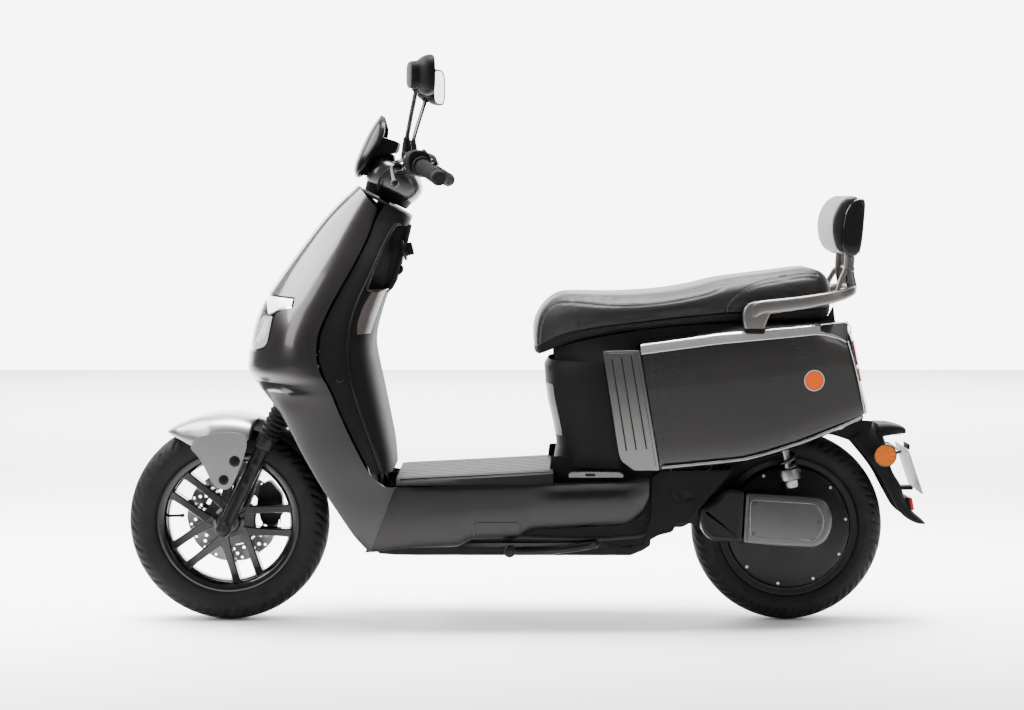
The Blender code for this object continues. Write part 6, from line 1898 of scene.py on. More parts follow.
SHAPE = [(0.0, 0.0200, -0.004), (0.008, 0.0130, -0.0020), (0.020, 0.0080, 0.0), (0.034, 0.0055, 0.0),
         (0.040, 0.0045, 0.0), (0.055, 0.0015, 0.0), (0.10, 0.0002, 0.0), (0.20, 0.0, 0.0),
         (0.35, 0.0, 0.0), (0.50, 0.0, 0.0), (0.65, 0.0, 0.0), (0.80, 0.0002, 0.0),
         (0.90, 0.0012, 0.0), (0.94, 0.0022, 0.0), (0.965, 0.0040, 0.0)]
TOPSHAPE = [(0.965, 0.0034, 0.0), (0.972, 0.0030, 0.0), (0.985, 0.0048, 0.0), (1.0, 0.0090, 0.004),
            (1.0, 0.0120, 0.0100), (1.0, 0.0170, 0.0138), (1.0, 0.0250, 0.0160), (1.0, 0.0330, 0.0168)]
BAND = paint("band_paint", (0.36, 0.355, 0.35), (0.48, 0.475, 0.465), 0.22, 0.95, 0.9, 0.05)
# a lighter copy of the body paint for the bright lower edge: painted highlight, assigned to no piece
CHAMFER_HIGHLIGHT = paint("chamfer_painted_highlight", (0.15, 0.147, 0.142), (0.20, 0.197, 0.190), 0.28, 0.92)
for sx, side in ((1, "left"), (-1, "right")):
    me = solidified(oriented(grid_mesh([panel_rows(sx, 0, 1, SHAPE)]), (0, 0.50, 0.52)), 0.0026)
    piece("side_skin_" + side, me, GUNPANEL, "frame", ["side_panel_" + side], 28)
    me = solidified(oriented(grid_mesh([panel_rows(sx, 0, 1, TOPSHAPE)]), (0, 0.50, 0.52)), 0.0026)
    piece("side_top_band_" + side, me, BAND, "frame", (), 30)

# rolled edge along the foot of each side panel, in a bright paint that stands for its painted highlight
for sx, side in ((1, "left"), (-1, "right")):
    edge = []
    for i in range(61):
        y = 0.3010 + 0.4560 * i / 60
        edge.append(Vector((sx * (lerp_table(PLAN_S, y)[0] - 0.0036), y, lerp_table(BOTS, y)[0] + 0.0052)))
    piece("panel_edge_highlight_" + side, tube(edge, 0.0036, 10), TRIM, "frame", (), 60)

# ribbed trim: silver plate, three long grooves, border line
rib = [(0.1665, 0.6390), (0.2490, 0.6410), (0.2955, 0.3690), (0.2380, 0.3690),
       (0.2100, 0.3900), (0.2040, 0.4050)]
rib_l = round_loop(rib, 0.004, 3)
GROOVE = [((0.1875, 0.6190), (0.2205, 0.4150)), ((0.2085, 0.6230), (0.2425, 0.4165)),
          ((0.2305, 0.6265), (0.2655, 0.4185))]


def long_loop(a, b, r, n=8):
    a, b = Vector((*a, 0)), Vector((*b, 0))
    d = (b - a).normalized()
    s = Vector((-d.y, d.x, 0))
    out = []
    for k in range(n + 1):
        t = math.pi * k / n
        q = a + (s * math.cos(t) - d * math.sin(t)) * r
        out.append((q.x, q.y))
    for k in range(n + 1):
        t = math.pi * k / n
        q = b + (-s * math.cos(t) + d * math.sin(t)) * r
        out.append((q.x, q.y))
    return out


for sx, side in ((1, "left"), (-1, "right")):
    holes = [long_loop(a, b, 0.0016) for a, b in GROOVE]
    piece("trim_base_" + side, slab(round_loop([(y, z) for y, z in rib], 0.004, 3), sx * 0.1655, sx * 0.1694),
          GLOSSB, "frame", ["ribbed_trim_" + side], 30)
    c = Vector((0.228, 0.505))
    inner = [(c.x + (y - c.x) * 0.992, c.y + (z - c.y) * 0.996) for y, z in rib_l]
    piece("trim_face_" + side, slab(inner, sx * 0.1692, sx * 0.1711, holes), RIBBED, "frame",
          (), 30, 0.0005, seg=2)
    # border groove line near the upper and rear edges
    line = [(0.1720, 0.6335), (0.2430, 0.6350), (0.2500, 0.5950), (0.2850, 0.3900)]
    pts = [Vector((sx * 0.1711, y, z)) for y, z in line]
    piece("trim_line_" + side, tube(cr([Vector((sx * 0.1710, y, z)) for y, z in
                                        ((0.1735, 0.6330), (0.2400, 0.6345), (0.2436, 0.6315),
                                         (0.2868, 0.3800))], 4, sharp=(1, 2)), 0.0006, 6), GLOSSB,
          "frame", (), 60)

# storage tub
tub_rows = []
for z, x, y0, y1 in ((0.6120, 0.0975, 0.0915, 0.2985), (0.6110, 0.0970, 0.0920, 0.2980),
                     (0.600, 0.094, 0.095, 0.294), (0.46, 0.0895, 0.1010, 0.2880),
                     (0.428, 0.0860, 0.1045, 0.2845), (0.4205, 0.0790, 0.1110, 0.2780),
                     (0.4200, 0.02, 0.17, 0.22)):
    r_ = min(0.028, x * 0.4, (y1 - y0) * 0.3)
    loop = round_loop([(-x, y0), (x, y0), (x, y1), (-x, y1)], r_, 6)
    tub_rows.append([Vector((a, b, z)) for a, b in loop] + [Vector((*loop[0], z))])
tub_me = grid_mesh([tub_rows])
bm = bmesh.new()
bm.from_mesh(tub_me)
edge = [e for e in bm.edges if len(e.link_faces) == 1 and e.verts[0].co.z < 0.43]
bmesh.ops.holes_fill(bm, edges=edge)
bmesh.ops.recalc_face_normals(bm, faces=bm.faces)
tub_me = to_mesh(bm, 0)
piece("under_seat_bin", solidified(tub_me, 0.0026, 1.0 if False else -1.0), BLACK, "frame",
      ["storage_tub"], 35)

# ------------------------------------------------------------------ tail
tail_line = [(0.727, 0.680), (0.733, 0.668), (0.737, 0.656), (0.747, 0.608), (0.757, 0.560),
             (0.764, 0.530), (0.770, 0.505), (0.772, 0.488)]
rings = []
for y, z in tail_line:
    ring = []
    w = 0.084
    for k in range(25):
        a = -1 + 2 * k / 24
        ring.append(Vector((w * a, y + 0.014 * (1 - abs(a) ** 2.4), z)))
    for k in range(25):
        a = 1 - 2 * k / 24
        ring.append(Vector((w * a, y - 0.012, z)))
    rings.append(ring)
piece("tail_panel", loft(rings), GLOSSB, "frame", ["tail_lamp"], 35, 0.0008)


def tail_patch(name, z0, z1, a0, a1, d, mat, n=20):
    rows = []
    for i in range(9):
        z = z0 + (z1 - z0) * i / 8
        y = lerp_table([(-b, a) for a, b in tail_line], -z)[0]
        rows.append([Vector((0.084 * a, y + 0.014 * (1 - abs(a) ** 2.4) + d, z))
                     for a in [a0 + (a1 - a0) * j / n for j in range(n + 1)]])
    return piece(name, solidified(oriented(grid_mesh([rows]), (0, 0.3, 0.6)), 0.0020), mat, "frame",
                 (), 40, 0.0005)


tail_patch("tail_red_lens", 0.655, 0.600, -0.90, 0.90, 0.0022, RED)
tail_patch("tail_amber_right", 0.592, 0.562, -0.90, -0.42, 0.0022, AMBER)
tail_patch("tail_amber_left", 0.592, 0.562, 0.42, 0.90, 0.0022, AMBER)
tail_patch("tail_clear", 0.592, 0.562, -0.36, 0.36, 0.0022, LAMP_MILK)

# rear mudguard
OUTER = [(0.7910, 0.4620), (0.8240, 0.4290), (0.8430, 0.3550), (0.8630, 0.3200), (0.8760, 0.2840),
         (0.8890, 0.2600), (0.9150, 0.2370), (0.9255, 0.2260)]
INNER = [(0.7400, 0.4280), (0.7700, 0.3960), (0.8060, 0.3500), (0.8260, 0.3140), (0.8450, 0.2790),
         (0.8610, 0.2540), (0.8850, 0.2360), (0.9050, 0.2275)]
HALF = [0.0760, 0.0740, 0.0700, 0.0670, 0.0640, 0.0600, 0.0480, 0.0380]


def guard_rows(cols=20):
    rows = []
    for o, i, w in zip(OUTER, INNER, HALF):
        row = []
        for j in range(cols + 1):
            t = 0.5 * math.pi * j / cols
            g = math.sin(t) ** 0.55
            h = 1.0 - math.cos(t) ** 1.25 if j < cols else 1.0
            row.append(Vector((w * g, o[0] + (i[0] - o[0]) * h, o[1] + (i[1] - o[1]) * h)))
        rows.append(row)
    return refine_rows(rows, 5)


guard = solidified(grid_mesh([guard_rows()], True, REAR_AXLE), 0.0028)
piece("mudguard_shell", guard, BLACK, "frame", ["rear_mudguard"], 40)
beak = []
for y, z, h, w in ((0.8060, 0.4440, 0.034, 0.053), (0.8350, 0.4470, 0.028, 0.050),
                   (0.8560, 0.4465, 0.020, 0.044), (0.8700, 0.4440, 0.016, 0.036),
                   (0.8738, 0.4425, 0.011, 0.032)):
    loop = []
    for k in range(24):
        t = 2 * math.pi * k / 24
        c, q = math.cos(t), math.sin(t)
        loop.append(Vector((w * math.copysign(abs(c) ** 0.35, c), y,
                            z + h / 2 * math.copysign(abs(q) ** 0.45, q))))
    beak.append(loop)
piece("plate_lamp_housing", loft(beak), BLACK, "frame", (), 40, 0.0008)
piece("plate_lamp_lens", cube((-0.018, 0.8420, 0.4320), (0.018, 0.8660, 0.4370)), LAMP_MILK, "frame",
      (), 30, 0.0015)
piece("plate_hanger", joined([cube((-0.0185, 0.8640, 0.3040), (0.0185, 0.8945, 0.3120)),
                              cube((-0.0300, 0.8790, 0.4000), (0.0300, 0.8840, 0.4120),
                                   )]), BLACK, "frame", (), 30, 0.0012)
pm = Matrix.Translation((0, 0.8870, 0.3545)) @ Matrix.Rotation(math.radians(18.9), 4, "X")
loop = round_loop([(-0.0895, -0.0545), (0.0895, -0.0545), (0.0895, 0.0545), (-0.0895, 0.0545)], 0.008, 5)
plate_me = loft([[pm @ Vector((x, y, z)) for x, z in loop] for y in (-0.0009, 0.0009)])
piece("blank_plate", plate_me, PLATE, "frame", ["number_plate"], 30)
piece("plate_screws", joined([bolt(pm @ Vector((x, 0.0009, 0.0400)), pm.to_3x3() @ Vector((0, 1, 0)),
                                   0.0045, 0.0028) for x in (-0.055, 0.055)]), BOLT, "frame",
      (), 30)
pr = Matrix.Translation((0, 0.8905, 0.2720)) @ Matrix.Rotation(math.radians(10), 4, "X")
loop = round_loop([(-0.030, -0.0145), (0.030, -0.0145), (0.030, 0.0145), (-0.030, 0.0145)], 0.003, 4)
piece("rear_reflector_red", loft([[pr @ Vector((x * k, y, z * k)) for x, z in loop]
                                  for y, k in ((-0.006, 1.0), (0.0020, 1.0), (0.0032, 0.96))]),
      RED, "frame", (), 30)
piece("rear_reflector_back", loft([[pr @ Vector((x, y, z)) for x, z in
                                    round_loop([(-0.0325, -0.017), (0.0325, -0.017), (0.0325, 0.017),
                                                (-0.0325, 0.017)], 0.003, 4)] for y in (-0.012, -0.004)]),
      BLACK, "frame", (), 30, 0.0006)

# round side reflectors: bracket, black cup, faceted amber face
piece("reflector_bracket", tube(cr([(0.0890, 0.8220, 0.3950), (0.0860, 0.8480, 0.4010),
                                    (0.0780, 0.8535, 0.4020), (-0.0780, 0.8535, 0.4020),
                                    (-0.0860, 0.8480, 0.4010), (-0.0890, 0.8220, 0.3950)], 4,
                                   sharp=(2, 3)), 0.0034, 10), SATINB, "frame",
      ["side_reflectors"], 50)
for sx, side in ((1, "left"), (-1, "right")):
    c = Vector((sx * 0.0850, 0.8160, 0.3940))
    m = frame_along(c, (sx, 0, 0))
    piece("reflector_cup_" + side, spin([(0.0, 0.0), (0.0245, 0.0), (0.0264, 0.0015), (0.0264, 0.0095),
                                         (0.0250, 0.0103), (0.0242, 0.0085), (0.0, 0.0085)], m, 48),
          GLOSSB, "frame", (), 35)
    bm = bmesh.new()
    n = 10
    mid_v = bm.verts.new(m @ Vector((0, 0, 0.0104)))
    inner_v, outer_v = [], []
    for k in range(n * 2):
        t = 2 * math.pi * k / (n * 2)
        z = 0.0108 if k % 2 else 0.0092
        inner_v.append(bm.verts.new(m @ Vector((0.0060 * math.cos(t), 0.0060 * math.sin(t), 0.0104))))
        outer_v.append(bm.verts.new(m @ Vector((0.0241 * math.cos(t), 0.0241 * math.sin(t), z))))
    base_v = [bm.verts.new(Vector(v.co) - m.to_3x3() @ Vector((0, 0, 0.0012))) for v in outer_v]
    for k in range(n * 2):
        j = (k + 1) % (n * 2)
        bm.faces.new((mid_v, inner_v[k], inner_v[j]))
        bm.faces.new((inner_v[k], outer_v[k], outer_v[j], inner_v[j]))
        bm.faces.new((outer_v[k], base_v[k], base_v[j], outer_v[j]))
    bm.faces.new(list(reversed(base_v)))
    piece("reflector_face_" + side, to_mesh(bm, 0), AMBER, "frame", (), 5)

# black corner piece with bright strips, between the side panel, seat and tail
for sx, side in ((1, "left"), (-1, "right")):
    def corner(y, z, lift=0.0):
        return Vector((sx * (lerp_table(PLAN_S, y)[0] - 0.0060 + lift), y, z))
    rows = []
    for k in range(9):
        y = 0.660 + 0.064 * k / 8
        zt = 0.6935 + 0.008 * min(1.0, k / 4)
        zb = 0.676 - 0.022 * max(0.0, (k - 4) / 4)
        rows.append([corner(y, zt - (zt - zb) * j / 4, -0.004 * (1 - j / 4)) for j in range(5)])
    piece("tail_corner_" + side, solidified(oriented(grid_mesh([rows]), (0, 0.6, 0.65)), 0.0024), GLOSSB,
          "frame", (), 40, 0.0004)
    a = [corner(y, z, 0.0008) for y, z in ((0.6600, 0.6960), (0.6900, 0.6990), (0.7180, 0.6995),
                                           (0.7290, 0.6880), (0.7300, 0.6740))]
    piece("corner_strip_" + side, tube(cr(a, 6), 0.0014, 10), CHROME, "frame", (), 60)
    # bright strip that runs down the tail beside the lamp
    pts = []
    for k in range(12):
        t = k / 11
        y = 0.7215 + (0.7640 - 0.7215) * t + 0.0035 * math.sin(math.pi * t)
        z = 0.6580 + (0.4900 - 0.6580) * t
        pts.append(Vector((sx * (lerp_table(PLAN_S, y)[0] - 0.0072), y + 0.0020, z)))
    piece("tail_strip_" + side, tube(pts, 0.0016, 10), CHROME, "frame", (), 60)

# ------------------------------------------------------------------ seat
SEAT = [(0.013, 0.634, 0.660, 0.045), (0.019, 0.628, 0.700, 0.074), (0.030, 0.627, 0.733, 0.092),
        (0.060, 0.640, 0.759, 0.116), (0.110, 0.658, 0.763, 0.138), (0.190, 0.676, 0.761, 0.158),
        (0.290, 0.690, 0.766, 0.164), (0.370, 0.697, 0.778, 0.158), (0.430, 0.700, 0.793, 0.144),
        (0.480, 0.701, 0.801, 0.131), (0.560, 0.702, 0.811, 0.126), (0.630, 0.703, 0.820, 0.116),
        (0.668, 0.706, 0.818, 0.100), (0.686, 0.716, 0.800, 0.078), (0.692, 0.735, 0.775, 0.052)]
SEATD = [tuple(p) + (q.x,) for p, q in zip(cr([Vector(s[:3]) for s in SEAT], 4),
                                          cr([Vector((s[3], 0, 0)) for s in SEAT], 4))]
SEC = [(0.0, 0.0), (0.40, 0.0), (0.72, 0.0), (0.90, 0.10), (0.985, 0.30), (1.0, 0.52), (0.965, 0.72),
       (0.88, 0.865), (0.74, 0.945), (0.56, 0.980), (0.38, 0.993), (0.19, 0.999), (0.0, 1.0)]


def seat_ring(row, top_cut=1.0, shrink=0.0, low=0.0):
    y, zb, zt, w = row
    h = zt - zb
    right = []
    for a, b in SEC:
        if b < low:
            b = low
        right.append(Vector((max(0.0, w * a - shrink * a), y, zb + h * min(b, top_cut))))
    return right + [Vector((-p.x, p.y, p.z)) for p in reversed(right[1:-1])]


def seat_pad_mesh():
    rings = [seat_ring(r_, 0.985, 0.0010, 0.14) for r_ in SEATD[1:-1]]
    return loft(rings)


def remeshed(me, size):
    ob = bpy.data.objects.new("t", me)
    bpy.context.scene.collection.objects.link(ob)
    mod = ob.modifiers.new("r", "REMESH")
    mod.mode = "VOXEL"
    mod.voxel_size = size
    bpy.context.view_layer.update()
    out = bpy.data.meshes.new_from_object(ob.evaluated_get(bpy.context.evaluated_depsgraph_get()))
    bpy.data.objects.remove(ob, do_unlink=True)
    return out


def relaxed(me, n, keep=lambda co: False, k=0.5):
    bm = bmesh.new()
    bm.from_mesh(me)
    vs = [v for v in bm.verts if not keep(v.co)]
    for _ in range(n):
        bmesh.ops.smooth_vert(bm, verts=vs, factor=k, use_axis_x=True, use_axis_y=True, use_axis_z=True)
    bm.to_mesh(me)
    bm.free()
    return me


def cushion_sim(me, pinned, pressure, frames=20, cap=0.006, name="cushion"):
    """Inflate a closed cover with the cloth solver and hold its movement to a few millimetres."""
    rest = [v.co.copy() for v in me.vertices]
    ob = bpy.data.objects.new(name, me)
    bpy.context.scene.collection.objects.link(ob)
    vg = ob.vertex_groups.new(name="pin")
    for v in me.vertices:
        w = pinned(v.co)
        if w > 0:
            vg.add([v.index], w, "REPLACE")
    mod = ob.modifiers.new("cloth", "CLOTH")
    st = mod.settings
    st.quality = 6
    st.mass = 0.35
    st.tension_stiffness = 28
    st.compression_stiffness = 28
    st.shear_stiffness = 12
    st.bending_stiffness = 0.6
    st.use_pressure = True
    st.uniform_pressure_force = pressure
    st.effector_weights.gravity = 0.0
    st.vertex_group_mass = "pin"
    mod.collision_settings.use_collision = False
    mod.point_cache.frame_start = 1
    mod.point_cache.frame_end = frames
    sc = bpy.context.scene
    for f in range(1, frames + 1):
        sc.frame_set(f)
    dg = bpy.context.evaluated_depsgraph_get()
    out = bpy.data.meshes.new_from_object(ob.evaluated_get(dg))
    sc.frame_set(1)
    bpy.data.objects.remove(ob, do_unlink=True)
    if len(out.vertices) == len(rest):
        for v, r0 in zip(out.vertices, rest):
            d = v.co - r0
            if d.length > cap:
                v.co = r0 + d * (cap / d.length)
    return out


SEAM_LINE = [(0.0230, 0.6490), (0.0250, 0.6740), (0.0280, 0.6960), (0.0410, 0.7250), (0.0590, 0.7420),
             (0.0980, 0.7470), (0.1630, 0.7420), (0.2270, 0.7415), (0.3050, 0.7480), (0.3700, 0.7590),
             (0.4130, 0.7690), (0.4400, 0.7820)]


def seat_at(y):
    return lerp_table([(s[0], s[1], s[2], s[3]) for s in SEATD], y)


def seat_x(y, z):
    """Half width of the seat at length y, height z."""
    zb, zt, w = seat_at(y)
    b = (z - zb) / (zt - zb)
    pts = [(q, p) for p, q in SEC[2:]]
    return w * lerp_table(pts, max(0.0, min(1.0, b)))[0]


pad_me = seat_pad_mesh()
pad_me = remeshed(pad_me, 0.0048)
pad_me = relaxed(pad_me, 6)


def seat_pin(co):
    """Pinned along the base."""
    zb, zt, w = seat_at(co.y)
    low = 1.0 if co.z < zb + (zt - zb) * 0.22 else 0.0
    return low


def seam_pull(me, depth=0.0026, width=0.0050):
    """Draw the cover in along the seams."""
    lines = []
    s1 = cr([Vector((0, y, z)) for y, z in SEAM_LINE], 5)
    for sgn in (1, -1):
        lines.append([Vector((sgn * seat_x(p.y, p.z), p.y, p.z)) for p in s1])
    for off in (0.0, 0.0085):
        line = []
        for sgn in (1, -1):
            part = []
            for y, z in ((0.439, 0.702), (0.450, 0.7300), (0.458, 0.745), (0.484, 0.768), (0.522, 0.787),
                         (0.575, 0.797), (0.623, 0.803), (0.655, 0.801)):
                part.append(Vector((sgn * seat_x(y + off * 0.3, z + off * 0.8), y + off * 0.3, z + off * 0.8)))
            lines.append(cr(part, 5))
    from mathutils import kdtree
    pts = []
    for line in lines:
        for a, b in zip(line, line[1:]):
            n = max(1, int((b - a).length / 0.0015))
            pts += [a.lerp(b, k / n) for k in range(n)]
    kd = kdtree.KDTree(len(pts))
    for i, p in enumerate(pts):
        kd.insert(p, i)
    kd.balance()
    nrm = [v.normal.copy() for v in me.vertices]
    for v, n in zip(me.vertices, nrm):
        d = kd.find(v.co)[2]
        if d < width * 2.2:
            v.co = v.co - n * depth * math.exp(-(d / width) ** 2)
    return lines


pad_me = cushion_sim(pad_me, seat_pin, 4.0, 20, 0.0045, "seat_cloth")
bm = bmesh.new()
bm.from_mesh(pad_me)
bmesh.ops.subdivide_edges(bm, edges=bm.edges, cuts=1, use_grid_fill=True)
pad_me = bpy.data.meshes.new("m")
bm.to_mesh(pad_me)
bm.free()
pad_me = relaxed(pad_me, 4)
seam_lines = seam_pull(pad_me)
seat_ob = piece("seat_cushion", pad_me, LEATHER, "seat", ["seat"], 180)


def on_surface(me, lines, lift, step):
    """Points along lines, dropped on to a mesh."""
    from mathutils.bvhtree import BVHTree
    bm = bmesh.new()
    bm.from_mesh(me)
    tree = BVHTree.FromBMesh(bm)
    out = []
    for line in lines:
        pts = []
        for a, b in zip(line, line[1:]):
            n = max(1, int((b - a).length / step))
            pts += [a.lerp(b, k / n) for k in range(n)]
        pts.append(line[-1])
        hit = []
        for p in pts:
            loc, n, _, _ = tree.find_nearest(p)
            if loc is not None:
                hit.append((loc + n * lift, n))
        out.append(hit)
    bm.free()
    return out


def stitches(me, lines, length=0.0046, gap=0.0024, r=0.00042, lift=0.0003):
    meshes = []
    for hit in on_surface(me, lines, lift, 0.0008):
        dist, start = 0.0, None
        run = [hit[0]]
        acc = 0.0
        state = True
        for a, b in zip(hit, hit[1:]):
            acc += (b[0] - a[0]).length
            run.append(b)
            if state and acc >= length:
                p, q = run[0], run[-1]
                mid_p = (p[0] + q[0]) / 2 + p[1] * r * 1.4
                meshes.append(tube([p[0] - p[1] * r, mid_p, q[0] - q[1] * r], r, 6))
                run, acc, state = [b], 0.0, False
            elif not state and acc >= gap:
                run, acc, state = [b], 0.0, True
    return joined(meshes)


def offset_line(line, dz):
    return [p + Vector((0, 0, dz)) for p in line]


st_lines = [offset_line(l, dz) for l in seam_lines[:2] for dz in (0.0042, -0.0042)]
st_lines += seam_lines[2:]
piece("seat_stitches", stitches(pad_me, st_lines), THREAD, "seat", (), 60)

# seat base: the black rail under the cushion
base_rings = []
for row in SEATD[1:-1]:
    y, zb, zt, w = row
    h = zt - zb
    ring = []
    for a, b in ((0.0, 0.02), (0.60, 0.0), (0.86, 0.0), (0.925, 0.05), (0.955, 0.13), (0.965, 0.20),
                 (0.90, 0.235), (0.0, 0.235)):
        ring.append(Vector((w * a, y, zb + h * b)))
    base_rings.append(ring + [Vector((-p.x, p.y, p.z)) for p in reversed(ring[1:-1])])
piece("seat_base", loft(base_rings), BLACK, "seat", (), 40)

# collar on the body that closes the gap up to the seat's base
for sx, side in ((1, "left"), (-1, "right")):
    rows = []
    for k in range(41):
        y = 0.060 + 0.640 * k / 40
        zb, zt, w = seat_at(y)
        top = zb - 0.0025
        seat_w = w * 0.90
        if y < 0.168:
            t = (0.168 - y) / 0.108
            yf, wbox = 0.047, 0.156
            u = max(0.0, min(1.0, (y - 0.047) / (0.1687 - 0.047)))
            ox = wbox * (1 - (1 - u) ** (1 / 1.35 * 2)) ** 0.5 ** 1.1 if u < 1 else wbox
            low = min(0.612, top - 0.004)
            outer = Vector((sx * max(seat_w * 0.9, min(ox, 0.156)), y, low))
        else:
            zt2 = lerp_table(TOPS, max(0.252, min(0.718, y)))[0]
            zt2 = lerp_table([(0.168, 0.612), (0.249, 0.6370), (0.252, 0.6370)], y)[0] if y < 0.252 else zt2
            px_ = lerp_table(PLAN_S, y)[0]
            outer = Vector((sx * (px_ - (0.0300 if y >= 0.252 else 0.012)), y, min(zt2 + (0.0120 if y >= 0.252 else 0.0), top - 0.002)))
        ix = min(seat_w, abs(outer.x) - 0.002)
        rows.append([outer, Vector((sx * ((ix + abs(outer.x)) / 2), y, (outer.z + top) / 2 + 0.0006)),
                     Vector((sx * ix, y, top)), Vector((sx * (ix - 0.010), y, top - 0.001)),
                     Vector((sx * (ix - 0.012), y, top - 0.020))])
    piece("seat_collar_" + side, solidified(oriented(grid_mesh([rows]), (0, 0.4, 0.5)), 0.0018), BLACK,
          "frame", (), 40)

# ------------------------------------------------------------------ grab rail and backrest
RAIL = [(0.1480, 0.5000, 0.6910), (0.1485, 0.5010, 0.7250), (0.1470, 0.5300, 0.7450),
        (0.1380, 0.6200, 0.7570), (0.1290, 0.6850, 0.7670), (0.1080, 0.7270, 0.7740),
        (0.0600, 0.7420, 0.7770), (0.0, 0.7440, 0.7780)]
half_rail = [Vector(p) for p in RAIL]
full = half_rail + [Vector((-p.x, p.y, p.z)) for p in reversed(half_rail[:-1])]
# cast side bars: a tall flat section that thins to the rear
for sx, side in ((1, "left"), (-1, "right")):
    spine = cr([(sx * 0.1440, 0.5000, 0.7190), (sx * 0.1470, 0.5180, 0.7330), (sx * 0.1450, 0.5600, 0.7390),
                (sx * 0.1390, 0.6200, 0.7460), (sx * 0.1310, 0.6800, 0.7560), (sx * 0.1170, 0.7150, 0.7640),
                (sx * 0.0900, 0.7360, 0.7710), (sx * 0.0500, 0.7425, 0.7750), (0, 0.7440, 0.7765)], 6)
    rings = []
    n = len(spine)
    for i, p in enumerate(spine):
        d = (spine[min(i + 1, n - 1)] - spine[max(i - 1, 0)]).normalized()
        side_v = d.cross(Vector((0, 0, 1))).normalized()
        up = side_v.cross(d).normalized()
        t = i / (n - 1)
        hh = lerp_table([(0.0, 0.0165), (0.12, 0.0165), (0.40, 0.0150), (0.70, 0.0110), (1.0, 0.0085)], t)[0]
        ww = lerp_table([(0.0, 0.0105), (0.4, 0.0100), (1.0, 0.0088)], t)[0]
        ring = []
        for k in range(28):
            a = 2 * math.pi * k / 28
            c, q = math.cos(a), math.sin(a)
            ring.append(p + side_v * ww * math.copysign(abs(c) ** 0.7, c)
                        + up * hh * math.copysign(abs(q) ** 0.7, q))
        rings.append(ring)
    piece("rail_bar_" + side, loft(rings), CHAMP, "frame",
          ["grab_rail"] if sx > 0 else [], 50)
    # front foot that stands on the body through a rubber pad
    rings = []
    for z, y0, y1, x0, x1 in ((0.6880, 0.4860, 0.5320, 0.1360, 0.1545), (0.6960, 0.4835, 0.5340, 0.1355, 0.1550),
                              (0.7060, 0.4815, 0.5380, 0.1350, 0.1552), (0.7200, 0.4810, 0.5440, 0.1345, 0.1550),
                              (0.7340, 0.4855, 0.5520, 0.1345, 0.1545), (0.7440, 0.4940, 0.5580, 0.1360, 0.1535),
                              (0.7490, 0.5080, 0.5560, 0.1390, 0.1510)):
        loop = round_loop([(x0, y0), (x1, y0), (x1, y1), (x0, y1)], 0.008, 5)
        rings.append([Vector((sx * x, y, z)) for x, y in loop])
    piece("rail_foot_" + side, loft(rings), CHAMP, "frame", (), 50)
    piece("rail_pad_" + side, loft([[Vector((sx * x, y, z)) for x, y in
                                     round_loop([(0.1370, 0.4870), (0.1540, 0.4870), (0.1540, 0.5320),
                                                 (0.1370, 0.5320)], 0.006, 4)] for z in (0.6790, 0.6885)]),
          RUBBER, "frame", (), 30, 0.0008)
    # strut of the backrest, leaning back from the rail's rear corner
    a = cr([(sx * 0.0720, 0.7390, 0.7770), (sx * 0.0710, 0.7320, 0.8120), (sx * 0.0700, 0.7330, 0.8480),
            (sx * 0.0700, 0.7350, 0.8600)], 6)
    piece("backrest_post_" + side, tube(a, 0.0100, 20, None, (0.9, 1.15)), CHAMP, "frame",
          (), 50)
    b = cr([(sx * 0.0920, 0.7000, 0.7620), (sx * 0.0850, 0.7100, 0.7900), (sx * 0.0770, 0.7230, 0.8150)], 6)
    piece("backrest_strut_" + side, tube(b, 0.0062, 16), CHAMP, "frame", (), 50)
piece("backrest_cross_tube", rod_soft((-0.088, 0.7360, 0.8200), (0.088, 0.7360, 0.8200), 0.0062, 0.001, 20),
      CHAMP, "frame", (), 50)

PAD = [(0.7050, 0.8560), (0.6930, 0.8700), (0.6865, 0.8900), (0.6840, 0.9130), (0.6855, 0.9350),
       (0.6930, 0.9560), (0.7050, 0.9740), (0.7200, 0.9840), (0.7360, 0.9862), (0.7440, 0.9820),
       (0.7470, 0.9700), (0.7460, 0.9300), (0.7420, 0.8850), (0.7380, 0.8600), (0.7250, 0.8510)]
pc = Vector((0, 0.717, 0.918))
PADL = round_loop(PAD, 0.010, 3)
rings = []
for x, k in [(-0.1275, 0.90), (-0.1255, 0.965), (-0.1200, 0.99)] + \
        [(-0.11 + 0.22 * i / 24, 1.0) for i in range(25)] + [(0.1200, 0.99), (0.1255, 0.965), (0.1275, 0.90)]:
    rings.append([Vector((x, pc.y + (y - pc.y) * k, pc.z + (z - pc.z) * k)) for y, z in PADL])
back_me = remeshed(loft(rings), 0.0046)
back_me = relaxed(back_me, 4)
back_me = cushion_sim(back_me, lambda co: 1.0 if co.y > 0.7400 or abs(co.x) > 0.1245 else 0.0,
                      4.0, 20, 0.0035, "back_cloth")
bm = bmesh.new()
bm.from_mesh(back_me)
bmesh.ops.subdivide_edges(bm, edges=bm.edges, cuts=1, use_grid_fill=True)
back_me = bpy.data.meshes.new("m")
bm.to_mesh(back_me)
bm.free()
back_me = relaxed(back_me, 3)
pad_ob = piece("backrest_cushion", back_me, LEATHER, "frame", ["backrest_pad"], 180)
